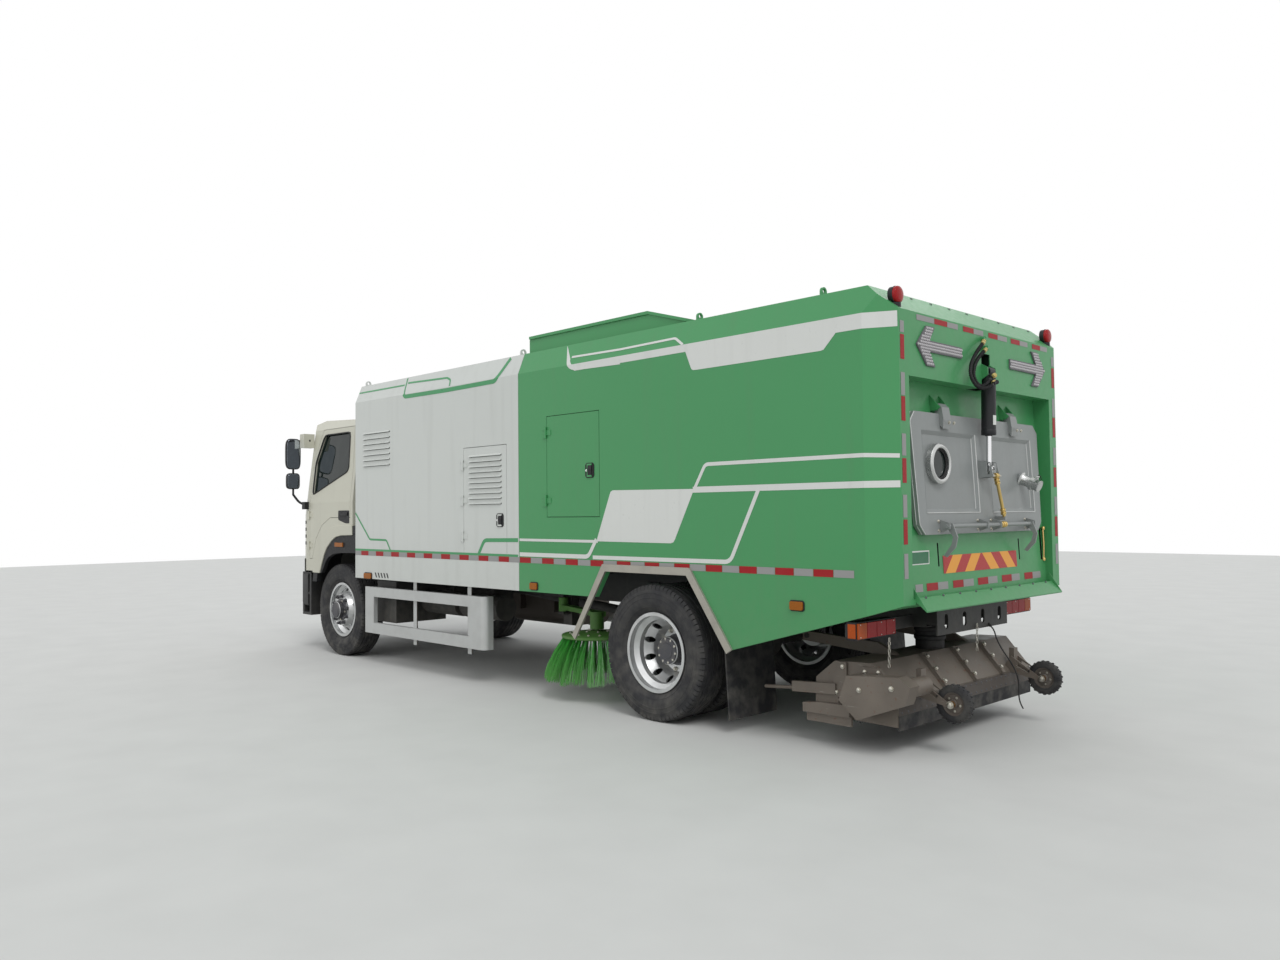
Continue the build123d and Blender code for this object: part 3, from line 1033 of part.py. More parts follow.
def arch_face(inset):
    """The region under the cab's wheel arch, in X and Z, its edge moved in by inset."""
    with BuildLine() as line:
        level = Line((2000, CAB_ARCH_TOP_Z), (CAB_ARCH_BEND_X, CAB_ARCH_TOP_Z))
        shoulder = TangentArc(level @ 1, CAB_ARCH_KNEE, tangent=(1, 0))
        leg = Line(shoulder @ 1, CAB_ARCH_FOOT)
        Polyline(leg @ 1, (CAB_ARCH_FOOT[0], 300), (2000, 300), level @ 0)
    face = make_face(line.line)
    return offset(face, amount=-inset, kind=Kind.INTERSECTION) if inset else face


def face_slab(face, y0, y1):
    """A face drawn in X and Z, extruded from y0 to y1."""
    return extrude(Plane((0, y0, 0), x_dir=(1, 0, 0), z_dir=(0, -1, 0)) * face, amount=y1 - y0, dir=(0, 1, 0))


def fenders():
    """Black fenders under the cab's wheel arches: a broad outer band with a thin liner behind it."""
    rim_face = arch_face(SEAT_GAP)
    window = block(FENDER_REAR_X, 3600, 860, CAB_HALF_WIDTH - 2, 800, 1500)
    band = face_slab(rim_face, 1120, CAB_HALF_WIDTH - 2) - face_slab(arch_face(FENDER_BAND), 1110, 1200)
    liner = face_slab(rim_face, 860, 1130) - face_slab(arch_face(FENDER_SHEET), 850, 1140)
    return {"front_fenders": both((band + liner) & window)}


def offset_slab(points, amount, y0, y1):
    """A slab of an X and Z outline whose edges are moved out by amount."""
    plane = Plane((0, min(y0, y1), 0), x_dir=(1, 0, 0), z_dir=(0, -1, 0))
    face = make_face(Polyline(*points, close=True))
    if amount:
        face = offset(face, amount=amount, kind=Kind.INTERSECTION)
    return extrude(plane * face, amount=abs(y1 - y0), dir=(0, 1, 0))


def cab():
    """The hollow cab: shell with door openings and windscreen, glass, doors, seats and dashboard."""
    nodes = {}
    outer = cab_form(0, CAB_PROFILE)
    floor_z = 920.0 + 80.0
    room_profile = [(CAB_REAR_X + 45, floor_z), (CAB_REAR_X + 45, CAB_ROOF_Z - 45), (3490.0, 2612.0),
                    (3760.0, 2555.0), (3885.0, 2410.0), (4190.0, 1560.0), (4215.0, CAB_FRONT_Z + CAB_FLOOR),
                    (4190.0, floor_z)]
    tunnel = block(2500, 4160, -TUNNEL_HALF_WIDTH, TUNNEL_HALF_WIDTH, 900, TUNNEL_TOP_Z)
    tunnel += block(2500, 4400, -CAB_NOTCH_HALF_WIDTH - CAB_FLOOR, CAB_NOTCH_HALF_WIDTH + CAB_FLOOR, 800,
                    CAB_FRONT_Z + CAB_FLOOR)
    bay = block(2500, 4120, -TUNNEL_HALF_WIDTH + CAB_FLOOR, TUNNEL_HALF_WIDTH - CAB_FLOOR, 900,
                TUNNEL_TOP_Z - CAB_FLOOR)
    notch = block(2500, 4400, -CAB_NOTCH_HALF_WIDTH, CAB_NOTCH_HALF_WIDTH, 800, CAB_FRONT_Z)
    wheel_room = face_slab(arch_face(-CAB_FLOOR), -1300, 1300)
    room = cab_form(CAB_WALL, room_profile) - tunnel - wheel_room
    outer -= face_slab(arch_face(0), -1300, 1300)
    outer -= notch
    shell = outer - room - bay
    w = CAB_HALF_WIDTH
    shell -= offset_slab(CAB_DOOR, DOOR_GAP, w - CAB_WALL - 120, w + 5)
    shell -= flip(offset_slab(CAB_DOOR, DOOR_GAP, w - CAB_WALL - 120, w + 5))
    screen = slab_yz([(-880, 1640), (880, 1640), (820, 2400), (-820, 2400)], 3700, 4400)
    for hinge in knuckles(CAB_HINGE, CAB_HINGE_Z, w, False):
        shell += both(hinge)
    shell -= screen
    shell -= block(CAB_REAR_X - 5, CAB_REAR_X + 60, -600, 600, 1850, 2350)
    arm = slab_xz([(CAB_PIVOT[0] - 40, CAB_PIVOT[1] - 30), (CAB_PIVOT[0] + 40, CAB_PIVOT[1] - 30),
                   (CAB_PIVOT[0] + 50, CAB_FRONT_Z + 10), (CAB_PIVOT[0] - 60, CAB_FRONT_Z + 10)], 460, 505)
    arm -= bar_y(CAB_PIVOT[0], CAB_PIVOT[1], 16 + RUNNING_GAP, 450, 520)
    shell += both(arm)
    nodes["cab_shell"] = shell
    thin = cab_form(16, [(x - 8, z) for x, z in CAB_PROFILE]) - cab_form(24, [(x - 16, z) for x, z in CAB_PROFILE])
    glass = thin & slab_yz([(-879.7, 1640.3), (879.7, 1640.3), (819.7, 2399.7), (-819.7, 2399.7)], 3700, 4400)
    back = block(CAB_REAR_X + 20, CAB_REAR_X + 26, -600 + SEAT_GAP, 600 - SEAT_GAP, 1850 + SEAT_GAP, 2350 - SEAT_GAP)
    nodes["cab_glass"] = [glass, back]
    block_profile = [(CAB_REAR_X - 50, 900), (CAB_REAR_X - 50, 2800), (4400, 2800), (4400, 900)]
    mid = cab_form(DOOR_SKIN, block_profile)
    skin = (outer - mid) & offset_slab(CAB_DOOR, 0, w - CAB_WALL - 90, w + 5)
    core = (mid - cab_form(CAB_WALL, block_profile)) & offset_slab(CAB_DOOR, -DOOR_STEP, w - CAB_WALL - 90, w + 5)
    door = skin + core
    door -= offset_slab(DOOR_WINDOW, 0, w - 300, w + 5)
    for hinge in knuckles(CAB_HINGE, CAB_HINGE_Z, w, True):
        door += hinge
    pane = (cab_form(20, CAB_PROFILE) - cab_form(26, CAB_PROFILE)) & offset_slab(DOOR_WINDOW, -0.3, w - 300, w + 5)
    for name, side in SIDES:
        nodes["cab_door_" + name] = on_side(door, side)
        nodes["door_glass_" + name] = on_side(pane, side)
    seats = []
    for y in (540.0, -540.0):
        seat = block(2780, 3280, y - 240, y + 240, 1560, 1680) + block(2660, 2790, y - 240, y + 240, 1600, 2260)
        seat += block(2690, 2770, y - 140, y + 140, 2260, 2420)
        seat += block(2690, 2840, y - 140, y + 140, CAB_ARCH_TOP_Z + CAB_FLOOR + SEAT_GAP, 1620)
        seats.append(seat)
    nodes["cab_seats"] = seats
    dash = slab_xz([(3880, 1180), (4230, 1180), (4230, 1600), (3900, 1700), (3760, 1600), (3780, 1450)], -1100, 1100)
    dash = (dash & cab_form(CAB_WALL + SEAT_GAP, room_profile)) - tunnel_clearance()
    nodes["dashboard"] = dash + steering_column()
    nodes["steering_wheel"] = steering_wheel()
    nodes["mirrors"] = mirrors()
    return nodes


def tunnel_clearance():
    """The engine tunnel with the gap that the dashboard keeps to it."""
    w = TUNNEL_HALF_WIDTH + SEAT_GAP
    return block(2500, 4160 + SEAT_GAP, -w, w, 900, TUNNEL_TOP_Z + SEAT_GAP)


def steering_column():
    """The raked column from the dashboard up to the hub of the steering wheel."""
    x, y, z = STEER_HUB
    lean = radians(STEER_TILT)
    step = (sin(lean), -cos(lean))
    near, far = 20 + SEAT_GAP, 330
    return rod((x + step[0] * near, y, z + step[1] * near), (x + step[0] * far, y, z + step[1] * far), 30)


def steering_wheel():
    """A wheel of one rim and three spokes on its raked column."""
    x, y, z = STEER_HUB
    plane = Plane((x, y, z), x_dir=(0, 1, 0), z_dir=(-cos(radians(90 - STEER_TILT)), 0, sin(radians(90 - STEER_TILT))))
    ring = plane * Torus(205, 15)
    hub = plane * Cylinder(48, 40)
    wheel = ring + hub
    for k in range(3):
        spoke = plane * (Rot(0, 0, 90 + 120 * k) * (Pos(110, 0, 0) * Box(190, 36, 14)))
        wheel += spoke
    return wheel


def mirrors():
    """A main mirror on two arms ahead of each door, and a low kerb mirror."""
    pieces = []
    head = block(3700, 3760, 1220, 1400, 2090, 2450)
    head += block(3700, 3770, 1230, 1390, 1860, 2050)
    arm = rod((3560, 1060, 2425), (3728, 1230, 2425), 16) + rod((3728, 1200, 2425), (3728, 1310, 2425), 16)
    arm += rod((3728, 1300, 1780), (3728, 1300, 2430), 14) + rod((3612, 1160, 1670), (3728, 1300, 1790), 14)
    arm += block(3640, 3735, 1150, 1245, 2345, 2505)
    arm += block(3575, 3650, 1100, 1232, 1625, 1715)
    pieces += both((head + arm) - cab_form(-SEAT_GAP, CAB_PROFILE))
    return pieces


def tail_lamps():
    """A long lamp cluster under each rear corner, and a beacon on top of each post."""
    lamp = block(REAR_AXLE_X - 1770, REAR_AXLE_X - 1700 - SEAT_GAP, 770, 1215, 745, 855)
    x, y, z = REAR_AXLE_X - 2000, 1075.0, ROOF_REAR_Z
    beacon = rod((x, y, z - 20), (x, y, z + 40), 34) + rod((x - 24, y, z + 90), (x + 24, y, z + 90), 52)
    beacon += rod((x, y, z + 35), (x, y, z + 60), 20)
    beacon -= slab_xz([(BODY_BEND_X, ROOF_Z + SEAT_GAP), (BODY_REAR_X, ROOF_REAR_Z + SEAT_GAP),
                       (BODY_REAR_X, 2600), (BODY_BEND_X, 2600)], y - 100, y + 100)
    return {"tail_lamps": both(lamp) + both(beacon)}


def rear_unit():
    """The rear broom unit: hood, drag arms, belt cover, gauge wheel forks and skids."""
    nodes = {}
    ax = REAR_AXLE_X
    w = UNIT_HALF_WIDTH
    outline = [(ax - 1270, 200), (ax - 1270, 440), (ax - 1420, 560), (ax - 1700, 570), (ax - 1880, 360), (ax - 1880, 187)]
    inner = [(ax - 1276, 150), (ax - 1276, 437), (ax - 1424, 554), (ax - 1697, 564), (ax - 1874, 358), (ax - 1874, 150)]
    hood = slab_xz(outline, -w, w) - slab_xz(inner, -w + 8, w - 8)
    hood += bar_y(ROLLER_X, ROLLER_Z, 45, w - 20, w + 40) + bar_y(ROLLER_X, ROLLER_Z, 45, -w + 20, -w - 90)
    hood -= bar_y(ROLLER_X, ROLLER_Z, 25 + RUNNING_GAP, -w - 60, w + 30)
    for s in (LEFT, RIGHT):
        hood += slab_xz([(UNIT_PIVOT[0] + 40, UNIT_PIVOT[1] - 34), (UNIT_PIVOT[0] + 40, UNIT_PIVOT[1] + 34),
                         (ax - 1470, 640), (ax - 1620, 566), (ax - 1440, 561)], s * 462, s * 500)
        hood -= bar_y(UNIT_PIVOT[0], UNIT_PIVOT[1], 18 + RUNNING_GAP, s * 455, s * 510)
        for dy in (-44, 44):
            fork = slab_xz([(ax - 1840, 400), (ax - 1890, 470), (GAUGE_X - 22, GAUGE_Z - 20), (GAUGE_X + 6, GAUGE_Z - 28),
                            (GAUGE_X + 60, GAUGE_Z - 10), (ax - 1850, 360)], s * GAUGE_Y + dy - 5, s * GAUGE_Y + dy + 5)
            slot = slab_xz([(ax - 1930, 428), (ax - 1924, 404), (ax - 2020, 356), (ax - 2030, 376)],
                           s * GAUGE_Y + dy - 8, s * GAUGE_Y + dy + 8)
            hood += fork - slot
        hood += bar_y(GAUGE_X, GAUGE_Z, 10, s * GAUGE_Y - 60, s * GAUGE_Y + 60)
        hood += block(ax - 1905, ax - 1868, s * GAUGE_Y - 30, s * GAUGE_Y + 30, 350, 525)
        hood += side_pad(s)
    for y in HOOD_RIBS:
        hood += slab_xz([(ax - 1700, 560), (ax - 1722, 578), (ax - 1902, 366), (ax - 1878, 350)], y - 22, y + 22)
    hood += block(ax - 1888, ax - 1872, -w, w, 262, 350)
    hood += belt_drive()
    nodes["broom_hood"] = hood
    nodes["suction_duct"] = suction_duct()
    for name, side in SIDES:
        wheel = turned_y(GAUGE_X, GAUGE_Z, [
            (10 + RUNNING_GAP, -32), (30, -32), (30, -14), (72, -14), (72, -GAUGE_WIDTH / 2), (GAUGE_R - 10, -GAUGE_WIDTH / 2),
            (GAUGE_R, -GAUGE_WIDTH / 2 + 12), (GAUGE_R, GAUGE_WIDTH / 2 - 12), (GAUGE_R - 10, GAUGE_WIDTH / 2),
            (72, GAUGE_WIDTH / 2), (72, 14), (30, 14), (30, 32), (10 + RUNNING_GAP, 32)])
        nodes["gauge_wheel_" + name] = Pos(0, side * GAUGE_Y, 0) * wheel
    core = bar_y(ROLLER_X, ROLLER_Z, 25, -w - 50, w + 25) + bar_y(ROLLER_X, ROLLER_Z, ROLLER_CORE_R, -w + 30, w - 30)
    nodes["roller_brush"] = core + bar_y(ROLLER_X, ROLLER_Z, ROLLER_R, -w + 50, w - 50)
    return nodes


# Y of the bolted ribs on the sloped rear of the hood
HOOD_RIBS = (345.0, -70.0, -470.0)


def belt_drive():
    """The belt cover on the left end of the hood, the guard plate behind it and the motor."""
    ax, w = REAR_AXLE_X, UNIT_HALF_WIDTH
    cover = [(ax - 1607, 500), (ax - 1547, 340), (ax - 1678, 229), (ax - 2020, 360), (ax - 2060, 475), (ax - 1976, 527)]
    guard = [(ax - 1570, 330), (ax - 1585, 480), (ax - 1640, 545), (ax - 1770, 545), (ax - 1850, 440), (ax - 1850, 330)]
    drive = slab_xz(cover, w + 40, w + 150) + slab_xz(guard, w - 6, w + 20)
    drive += slab_xz([(ax - 1620, 300), (ax - 1620, 440), (ax - 1700, 440), (ax - 1700, 300)], w + 10, w + 50)
    drive += bar_y(ax - 1975, 445, 58, w - 170, w + 45)
    drive += block(ax - 1960, ax - 1800, w - 60, w - 30, 400, 470)
    return drive - bar_y(ROLLER_X, ROLLER_Z, 25 + RUNNING_GAP, w - 20, w + 30)


def side_pad(s):
    """The edge pad ahead of the hood on one side, with the swinging post, arm and spray pipe above it."""
    ax, w = REAR_AXLE_X, UNIT_HALF_WIDTH
    pad = slab_xz([(ax - 1560, 212), (ax - 1560, 290), (ax - 1330, 284), (ax - 1194, 268), (ax - 1194, 208)],
                  s * (w - 4), s * (w + 52))
    pad += slab_xz([(ax - 1560, 150), (ax - 1560, 214), (ax - 1210, 210), (ax - 1210, 150)], s * (w + 10), s * (w + 30))
    pad += block(ax - 1450, ax - 1270, s * (w - 10), s * (w + 8), 250, 400)
    post = slab_xz([(ax - 1520, 330), (ax - 1520, 560), (ax - 1460, 560), (ax - 1420, 480), (ax - 1420, 330)],
                   s * (w - 4), s * (w + 16))
    arm = slab_xz([(ax - 1440, 345), (ax - 1440, 415), (ax - 1090, 395), (ax - 1090, 325)], s * (w - 6), s * (w + 30))
    pipe = rod((ax - 1095, s * (w + 12), 350), (ax - 850, s * (w + 12), 330), 12)
    return pad + post + arm + pipe


def suction_duct():
    """The ribbed hose that takes the sweepings from the hood up to the tank."""
    ribs = 7
    ax, gap = REAR_AXLE_X, SEAT_GAP
    low, high = 610.0, FLOOR_Z - 96.0
    pitch = (high - low) / ribs
    profile = [(0, 540), (DUCT_R - 10, 540), (DUCT_R - 10, low)]
    for k in range(ribs):
        z = low + k * pitch
        profile += [(DUCT_R - 10, z + pitch * 0.2), (DUCT_R, z + pitch * 0.4), (DUCT_R, z + pitch * 0.7),
                    (DUCT_R - 10, z + pitch * 0.9)]
    profile += [(DUCT_R - 10, FLOOR_Z - 10), (0, FLOOR_Z - 10)]
    seat = slab_xz([(ax - 1300, 300), (ax - 1300, 556 + gap), (ax - 1420, 560 + gap), (ax - 1700, 570 + gap),
                    (ax - 1800, 574 + gap), (ax - 1800, 300)], -300, 300)
    return turned_z(DUCT_X, 0, profile) - seat


def hoses():
    """The two hoses of the lifting cylinder, and the loose cable under the tail."""
    return {"tail_hose_upper": cord_tube(HOSE_UPPER, HOSE_D), "tail_hose_lower": cord_tube(HOSE_LOWER, HOSE_D),
            "hanging_cable": cord_tube(CABLE, CABLE_D)}


def side_brooms():
    """A broom on a swinging arm under each side: post on the rail, arm, motor plate and bristles."""
    nodes = {}
    px, py = BROOM_PIVOT
    for name, side in SIDES:
        arm = rod((px, py, 650), (px, py, 776), 44)
        arm += slab_xy([(px, py - 40), (px, py + 40), (BROOM_X - 40, BROOM_Y + 40), (BROOM_X - 60, BROOM_Y - 50)], 670, 710)
        arm += rod((BROOM_X, BROOM_Y, 566), (BROOM_X, BROOM_Y, 710), 60)
        arm -= rod((px, py, 640), (px, py, 790), 22 + RUNNING_GAP)
        arm -= rod((BROOM_X, BROOM_Y, 560), (BROOM_X, BROOM_Y, 640), 20 + RUNNING_GAP)
        nodes["broom_arm_" + name] = on_side(arm, side)
        brush = turned_z(BROOM_X, BROOM_Y, [
            (0, 630), (20, 630), (20, 545), (120, 545), (BROOM_DISC_R, 525), (BROOM_DISC_R, BROOM_DISC_Z),
            (BROOM_TIP_R, 220), (BROOM_TIP_R - 60, BROOM_TIP_Z), (220, BROOM_TIP_Z + 20), (200, BROOM_DISC_Z - 20),
            (0, BROOM_DISC_Z - 20)])
        nodes["side_brush_" + name] = on_side(brush, side)
    return nodes


def build():
    """Every node of the truck, by name."""
    shell = whole_body()
    nodes = {}
    for group in (chassis(), engine(), front_axle(), rear_axle(), drive_shaft(), steering(), front_wheels(),
                  rear_wheels(), white_enclosure(shell), green_tank(shell), louvre_doors(), locker_doors(),
                  roof_hatch(), tank_door(), door_window(), latch_bar(), cylinder(), arches(), mud_flaps(),
                  side_guards(), tanks(), bumper(), cab(), fenders(), tail_lamps(), rear_unit(), hoses(),
                  side_brooms()):
        nodes.update(group)
    return nodes


def gather(shape):
    """All the solids of a shape or of a list of shapes, as one compound."""
    items = shape if isinstance(shape, (list, tuple)) else [shape]
    solids = [solid for item in items for solid in item.solids()]
    return Compound(children=solids) if len(solids) > 1 else solids[0]


os.makedirs("parts", exist_ok=True)
for node, shape in build().items():
    export_step(gather(shape), "parts/" + node + ".step")
    print(node)
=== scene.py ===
"""Looks of a two-axle street sweeper truck: finishes, markings, treads, bristles, cords and fittings."""
from __future__ import annotations

import json
import logging
import math
import random
from dataclasses import dataclass
from enum import Enum
from typing import Iterable, Sequence

import bmesh
import bpy
from mathutils import Matrix, Vector
from mathutils.bvhtree import BVHTree

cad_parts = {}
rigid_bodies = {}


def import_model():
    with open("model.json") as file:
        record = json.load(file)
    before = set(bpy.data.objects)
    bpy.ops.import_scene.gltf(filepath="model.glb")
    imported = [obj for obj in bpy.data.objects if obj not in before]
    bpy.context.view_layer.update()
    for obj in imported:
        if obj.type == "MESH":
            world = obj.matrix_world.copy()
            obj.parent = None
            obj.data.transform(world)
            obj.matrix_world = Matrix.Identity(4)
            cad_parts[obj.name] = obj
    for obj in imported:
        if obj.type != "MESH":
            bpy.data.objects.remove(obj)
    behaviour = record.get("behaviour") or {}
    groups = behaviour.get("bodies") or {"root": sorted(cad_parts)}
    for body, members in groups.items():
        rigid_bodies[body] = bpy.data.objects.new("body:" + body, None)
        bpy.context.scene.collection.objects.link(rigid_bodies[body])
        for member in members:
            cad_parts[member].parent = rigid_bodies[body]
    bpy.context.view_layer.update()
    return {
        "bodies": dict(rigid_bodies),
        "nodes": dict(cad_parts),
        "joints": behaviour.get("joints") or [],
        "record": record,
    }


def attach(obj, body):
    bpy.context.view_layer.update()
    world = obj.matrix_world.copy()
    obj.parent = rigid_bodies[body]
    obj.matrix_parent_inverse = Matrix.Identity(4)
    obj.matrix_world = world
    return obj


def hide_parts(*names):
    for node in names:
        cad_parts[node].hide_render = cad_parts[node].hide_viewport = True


LOG = logging.getLogger("sweeper")
REAR = -2.08
FRONT = 2.92
AXLE_Z = 0.505
HALF_WIDTH = 1.22
REAR_BEND = -3.93
ROOF_BEND = 2.757
TAIL_X = -4.125
GAUGE_X = -4.198
GAUGE_Y = 0.66
GAUGE_Z = 0.33
HONEYCOMB = 190.0
SMOOTH_ANGLE = 38.0
STRAND_ANGLE = 80.0

Point = Sequence[float]
Colour = tuple[float, float, float]


class Across(Enum):
    """The axis that an outline is drawn across."""

    X = 0
    Y = 1
    Z = 2


class Side(Enum):
    """Left or right side of the truck."""

    LEFT = 1.0
    RIGHT = -1.0

    @property
    def word(self) -> str:
        """The side's name as the bodies use it."""
        return self.name.lower()


@dataclass(frozen=True)
class Zone:
    """A box in which a finish changes its colour."""

    low: Point
    high: Point
    colour: Colour


class Graph:
    """A material's node tree, with short calls for the nodes that the finishes share."""

    def __init__(self, name: str) -> None:
        """Starts an empty material.

        Args:
            name: The material's name.
        """
        self.material = bpy.data.materials.new(name)
        self.material.use_nodes = True
        self.tree = self.material.node_tree
        self.tree.nodes.clear()
        self.coords = self.node("ShaderNodeTexCoord").outputs["Object"]
        self.shader = self.node("ShaderNodeBsdfPrincipled")
        out = self.node("ShaderNodeOutputMaterial")
        self.tree.links.new(self.shader.outputs[0], out.inputs[0])

    def node(self, kind: str, **settings: object) -> bpy.types.Node:
        """Adds a node and sets its properties."""
        made = self.tree.nodes.new(kind)
        for key, value in settings.items():
            setattr(made, key, value)
        return made

    def put(self, node: bpy.types.Node, key: int | str, value: object) -> None:
        """Links a socket into a node's input, or sets its value.

        Args:
            node: The node that is fed.
            key: Name or number of its input.
            value: A socket, number or colour.
        """
        if isinstance(value, bpy.types.NodeSocket):
            self.tree.links.new(value, node.inputs[key])
        elif isinstance(value, (tuple, list)) and node.inputs[key].type == "RGBA":
            node.inputs[key].default_value = (*value[:3], 1.0)
        else:
            node.inputs[key].default_value = value

    def noise(self, scale: float, stretch: Point = (1, 1, 1), detail: float = 4.0) -> bpy.types.NodeSocket:
        """A noise value in Object coordinates.

        Args:
            scale: Spots per metre, roughly.
            stretch: Factors on X, Y and Z before the noise.
            detail: Octaves.

        Returns:
            The noise's value socket.
        """
        place = self.node("ShaderNodeMapping")
        self.put(place, "Vector", self.coords)
        place.inputs["Scale"].default_value = stretch
        made = self.node("ShaderNodeTexNoise")
        self.put(made, "Vector", place.outputs[0])
        self.put(made, "Scale", scale)
        self.put(made, "Detail", detail)
        return made.outputs["Fac"]

    def span(self, value: object, low: float, high: float, to_low: float = 0.0,
            to_high: float = 1.0) -> bpy.types.NodeSocket:
        """Maps a value's range to another, clamped.

        Args:
            value: A socket or number.
            low: The value that gives to_low.
            high: The value that gives to_high.
            to_low: The result at low.
            to_high: The result at high.

        Returns:
            The mapped value's socket.
        """
        made = self.node("ShaderNodeMapRange")
        for key, number in enumerate((value, low, high, to_low, to_high)):
            self.put(made, key, number)
        return made.outputs[0]

    def calc(self, way: str, a: object, b: object = 0.0) -> bpy.types.NodeSocket:
        """One step of arithmetic."""
        made = self.node("ShaderNodeMath", operation=way)
        self.put(made, 0, a)
        self.put(made, 1, b)
        return made.outputs[0]

    def mix(self, part: object, a: object, b: object) -> bpy.types.NodeSocket:
        """A colour between a and b.

        Args:
            part: The share of b, from zero to one.
            a: The colour at zero.
            b: The colour at one.

        Returns:
            The mixed colour's socket.
        """
        made = self.node("ShaderNodeMix", data_type="RGBA")
        self.put(made, 0, part)
        self.put(made, 6, a)
        self.put(made, 7, b)
        return made.outputs[2]

    def axes(self) -> list[bpy.types.NodeSocket]:
        """The three Object coordinates."""
        made = self.node("ShaderNodeSeparateXYZ")
        self.put(made, 0, self.coords)
        return list(made.outputs)

    def inside(self, zone: Zone) -> bpy.types.NodeSocket:
        """One where a point lies in a zone's box, else zero.

        Args:
            zone: The box, in Object coordinates.

        Returns:
            The mask's socket.
        """
        mask: object = 1.0
        for axis, low, high in zip(self.axes(), zone.low, zone.high):
            above = self.calc("GREATER_THAN", axis, low)
            below = self.calc("LESS_THAN", axis, high)
            mask = self.calc("MULTIPLY", self.calc("MULTIPLY", above, below), mask)
        return mask

    def bump(self, height: object, strength: float, distance: float = 0.002) -> None:
        """Raises the surface by a height value.

        Args:
            height: The height value.
            strength: How strong it is.
            distance: The height in metres.
        """
        made = self.node("ShaderNodeBump")
        self.put(made, "Strength", strength)
        self.put(made, "Distance", distance)
        self.put(made, "Height", height)
        self.feed("Normal", made.outputs[0])

    def feed(self, key: str, value: object) -> None:
        """Links or sets one of the shader's own sockets."""
        self.put(self.shader, key, value)

    def cells(self, scale: float, disorder: float = 1.0) -> bpy.types.NodeSocket:
        """The distance to the nearest wall of a cell pattern."""
        made = self.node("ShaderNodeTexVoronoi", feature="DISTANCE_TO_EDGE")
        for key, value in (("Vector", self.coords), ("Scale", scale), ("Randomness", disorder)):
            self.put(made, key, value)
        return made.outputs["Distance"]

    def gloss(self, **values: float) -> None:
        """Sets plain numbers on the shader's own sockets, such as Metallic or Coat_Weight."""
        for key, value in values.items():
            self.feed(key.replace("_", " "), value)


@dataclass(frozen=True)
class Finish:
    """What every finish has: a name and a base colour."""

    name: str
    colour: Colour
    zones: tuple[Zone, ...] = ()

    def make(self) -> bpy.types.Material:
        """Builds the finish's material.

        Returns:
            The new material.
        """
        graph = Graph(self.name)
        self.dress(graph)
        return graph.material

    def dress(self, graph: Graph) -> None:
        """Wires the nodes of this kind of finish."""
        graph.feed("Base Color", self.ground(graph))

    def ground(self, graph: Graph) -> object:
        """The colour before dust and wear, with that of each zone in its box."""
        shade: object = self.colour
        for zone in self.zones:
            shade = graph.mix(graph.inside(zone), shade, zone.colour)
        return shade


@dataclass(frozen=True)
class Paint(Finish):
    """Sprayed paint with a faint ripple, uneven shade, and road dust that thickens downwards."""

    roughness: float = 0.38
    coat: float = 0.1
    dust: float = 0.3
    dust_top: float = 1.5
    grime: Colour = (0.24, 0.22, 0.18)

    def dress(self, graph: Graph) -> None:
        """Colour, dust, streaks and ripple.

        Args:
            graph: The node tree that it is wired in.
        """
        shade = self.ground(graph)
        blotch = graph.span(graph.noise(1.3), 0.35, 0.7, 0.0, 0.1)
        shade = graph.mix(blotch, shade, tuple(0.82 * c for c in self.colour))
        streak = graph.span(graph.noise(9.0, (1, 1, 0.07)), 0.52, 0.75, 0.0, 0.16)
        shade = graph.mix(streak, shade, tuple(0.5 * c + 0.3 * g for c, g in zip(self.colour, self.grime)))
        low = graph.span(graph.axes()[2], self.dust_top, 0.25, 0.0, self.dust)
        specks = graph.span(graph.noise(14.0, detail=8.0), 0.3, 0.7, 0.35, 1.0)
        veil = graph.calc("MULTIPLY", low, specks)
        graph.feed("Base Color", graph.mix(veil, shade, self.grime))
        dull = graph.span(veil, 0.0, 0.5, self.roughness, 0.75)
        graph.feed("Roughness", graph.calc("ADD", dull,
            graph.span(graph.noise(30.0), 0.3, 0.7, -0.03, 0.05)))
        graph.gloss(Coat_Weight=self.coat, Coat_Roughness=0.12, Specular_IOR_Level=0.35)
        graph.bump(graph.noise(260.0, detail=2.0), 0.05, 0.001)


@dataclass(frozen=True)
class Metal(Finish):
    """Bare or plated metal with a drawn grain, tarnish and scratches."""

    roughness: float = 0.3
    grain: Point = (1, 1, 1)
    tarnish: Colour = (0.2, 0.19, 0.17)
    wear: float = 0.2
    metallic: float = 1.0

    def dress(self, graph: Graph) -> None:
        """Grain, tarnish and fine scratches.

        Args:
            graph: The node tree that it is wired in.
        """
        stain = graph.span(graph.noise(7.0, detail=8.0), 0.45, 0.75, 0.0, self.wear)
        graph.feed("Base Color", graph.mix(stain, self.ground(graph), self.tarnish))
        lines = graph.noise(220.0, self.grain, 3.0)
        graph.feed("Roughness", graph.span(lines, 0.2, 0.8, self.roughness - 0.07, self.roughness + 0.12))
        graph.gloss(Metallic=self.metallic)
        graph.bump(lines, 0.08, 0.0006)


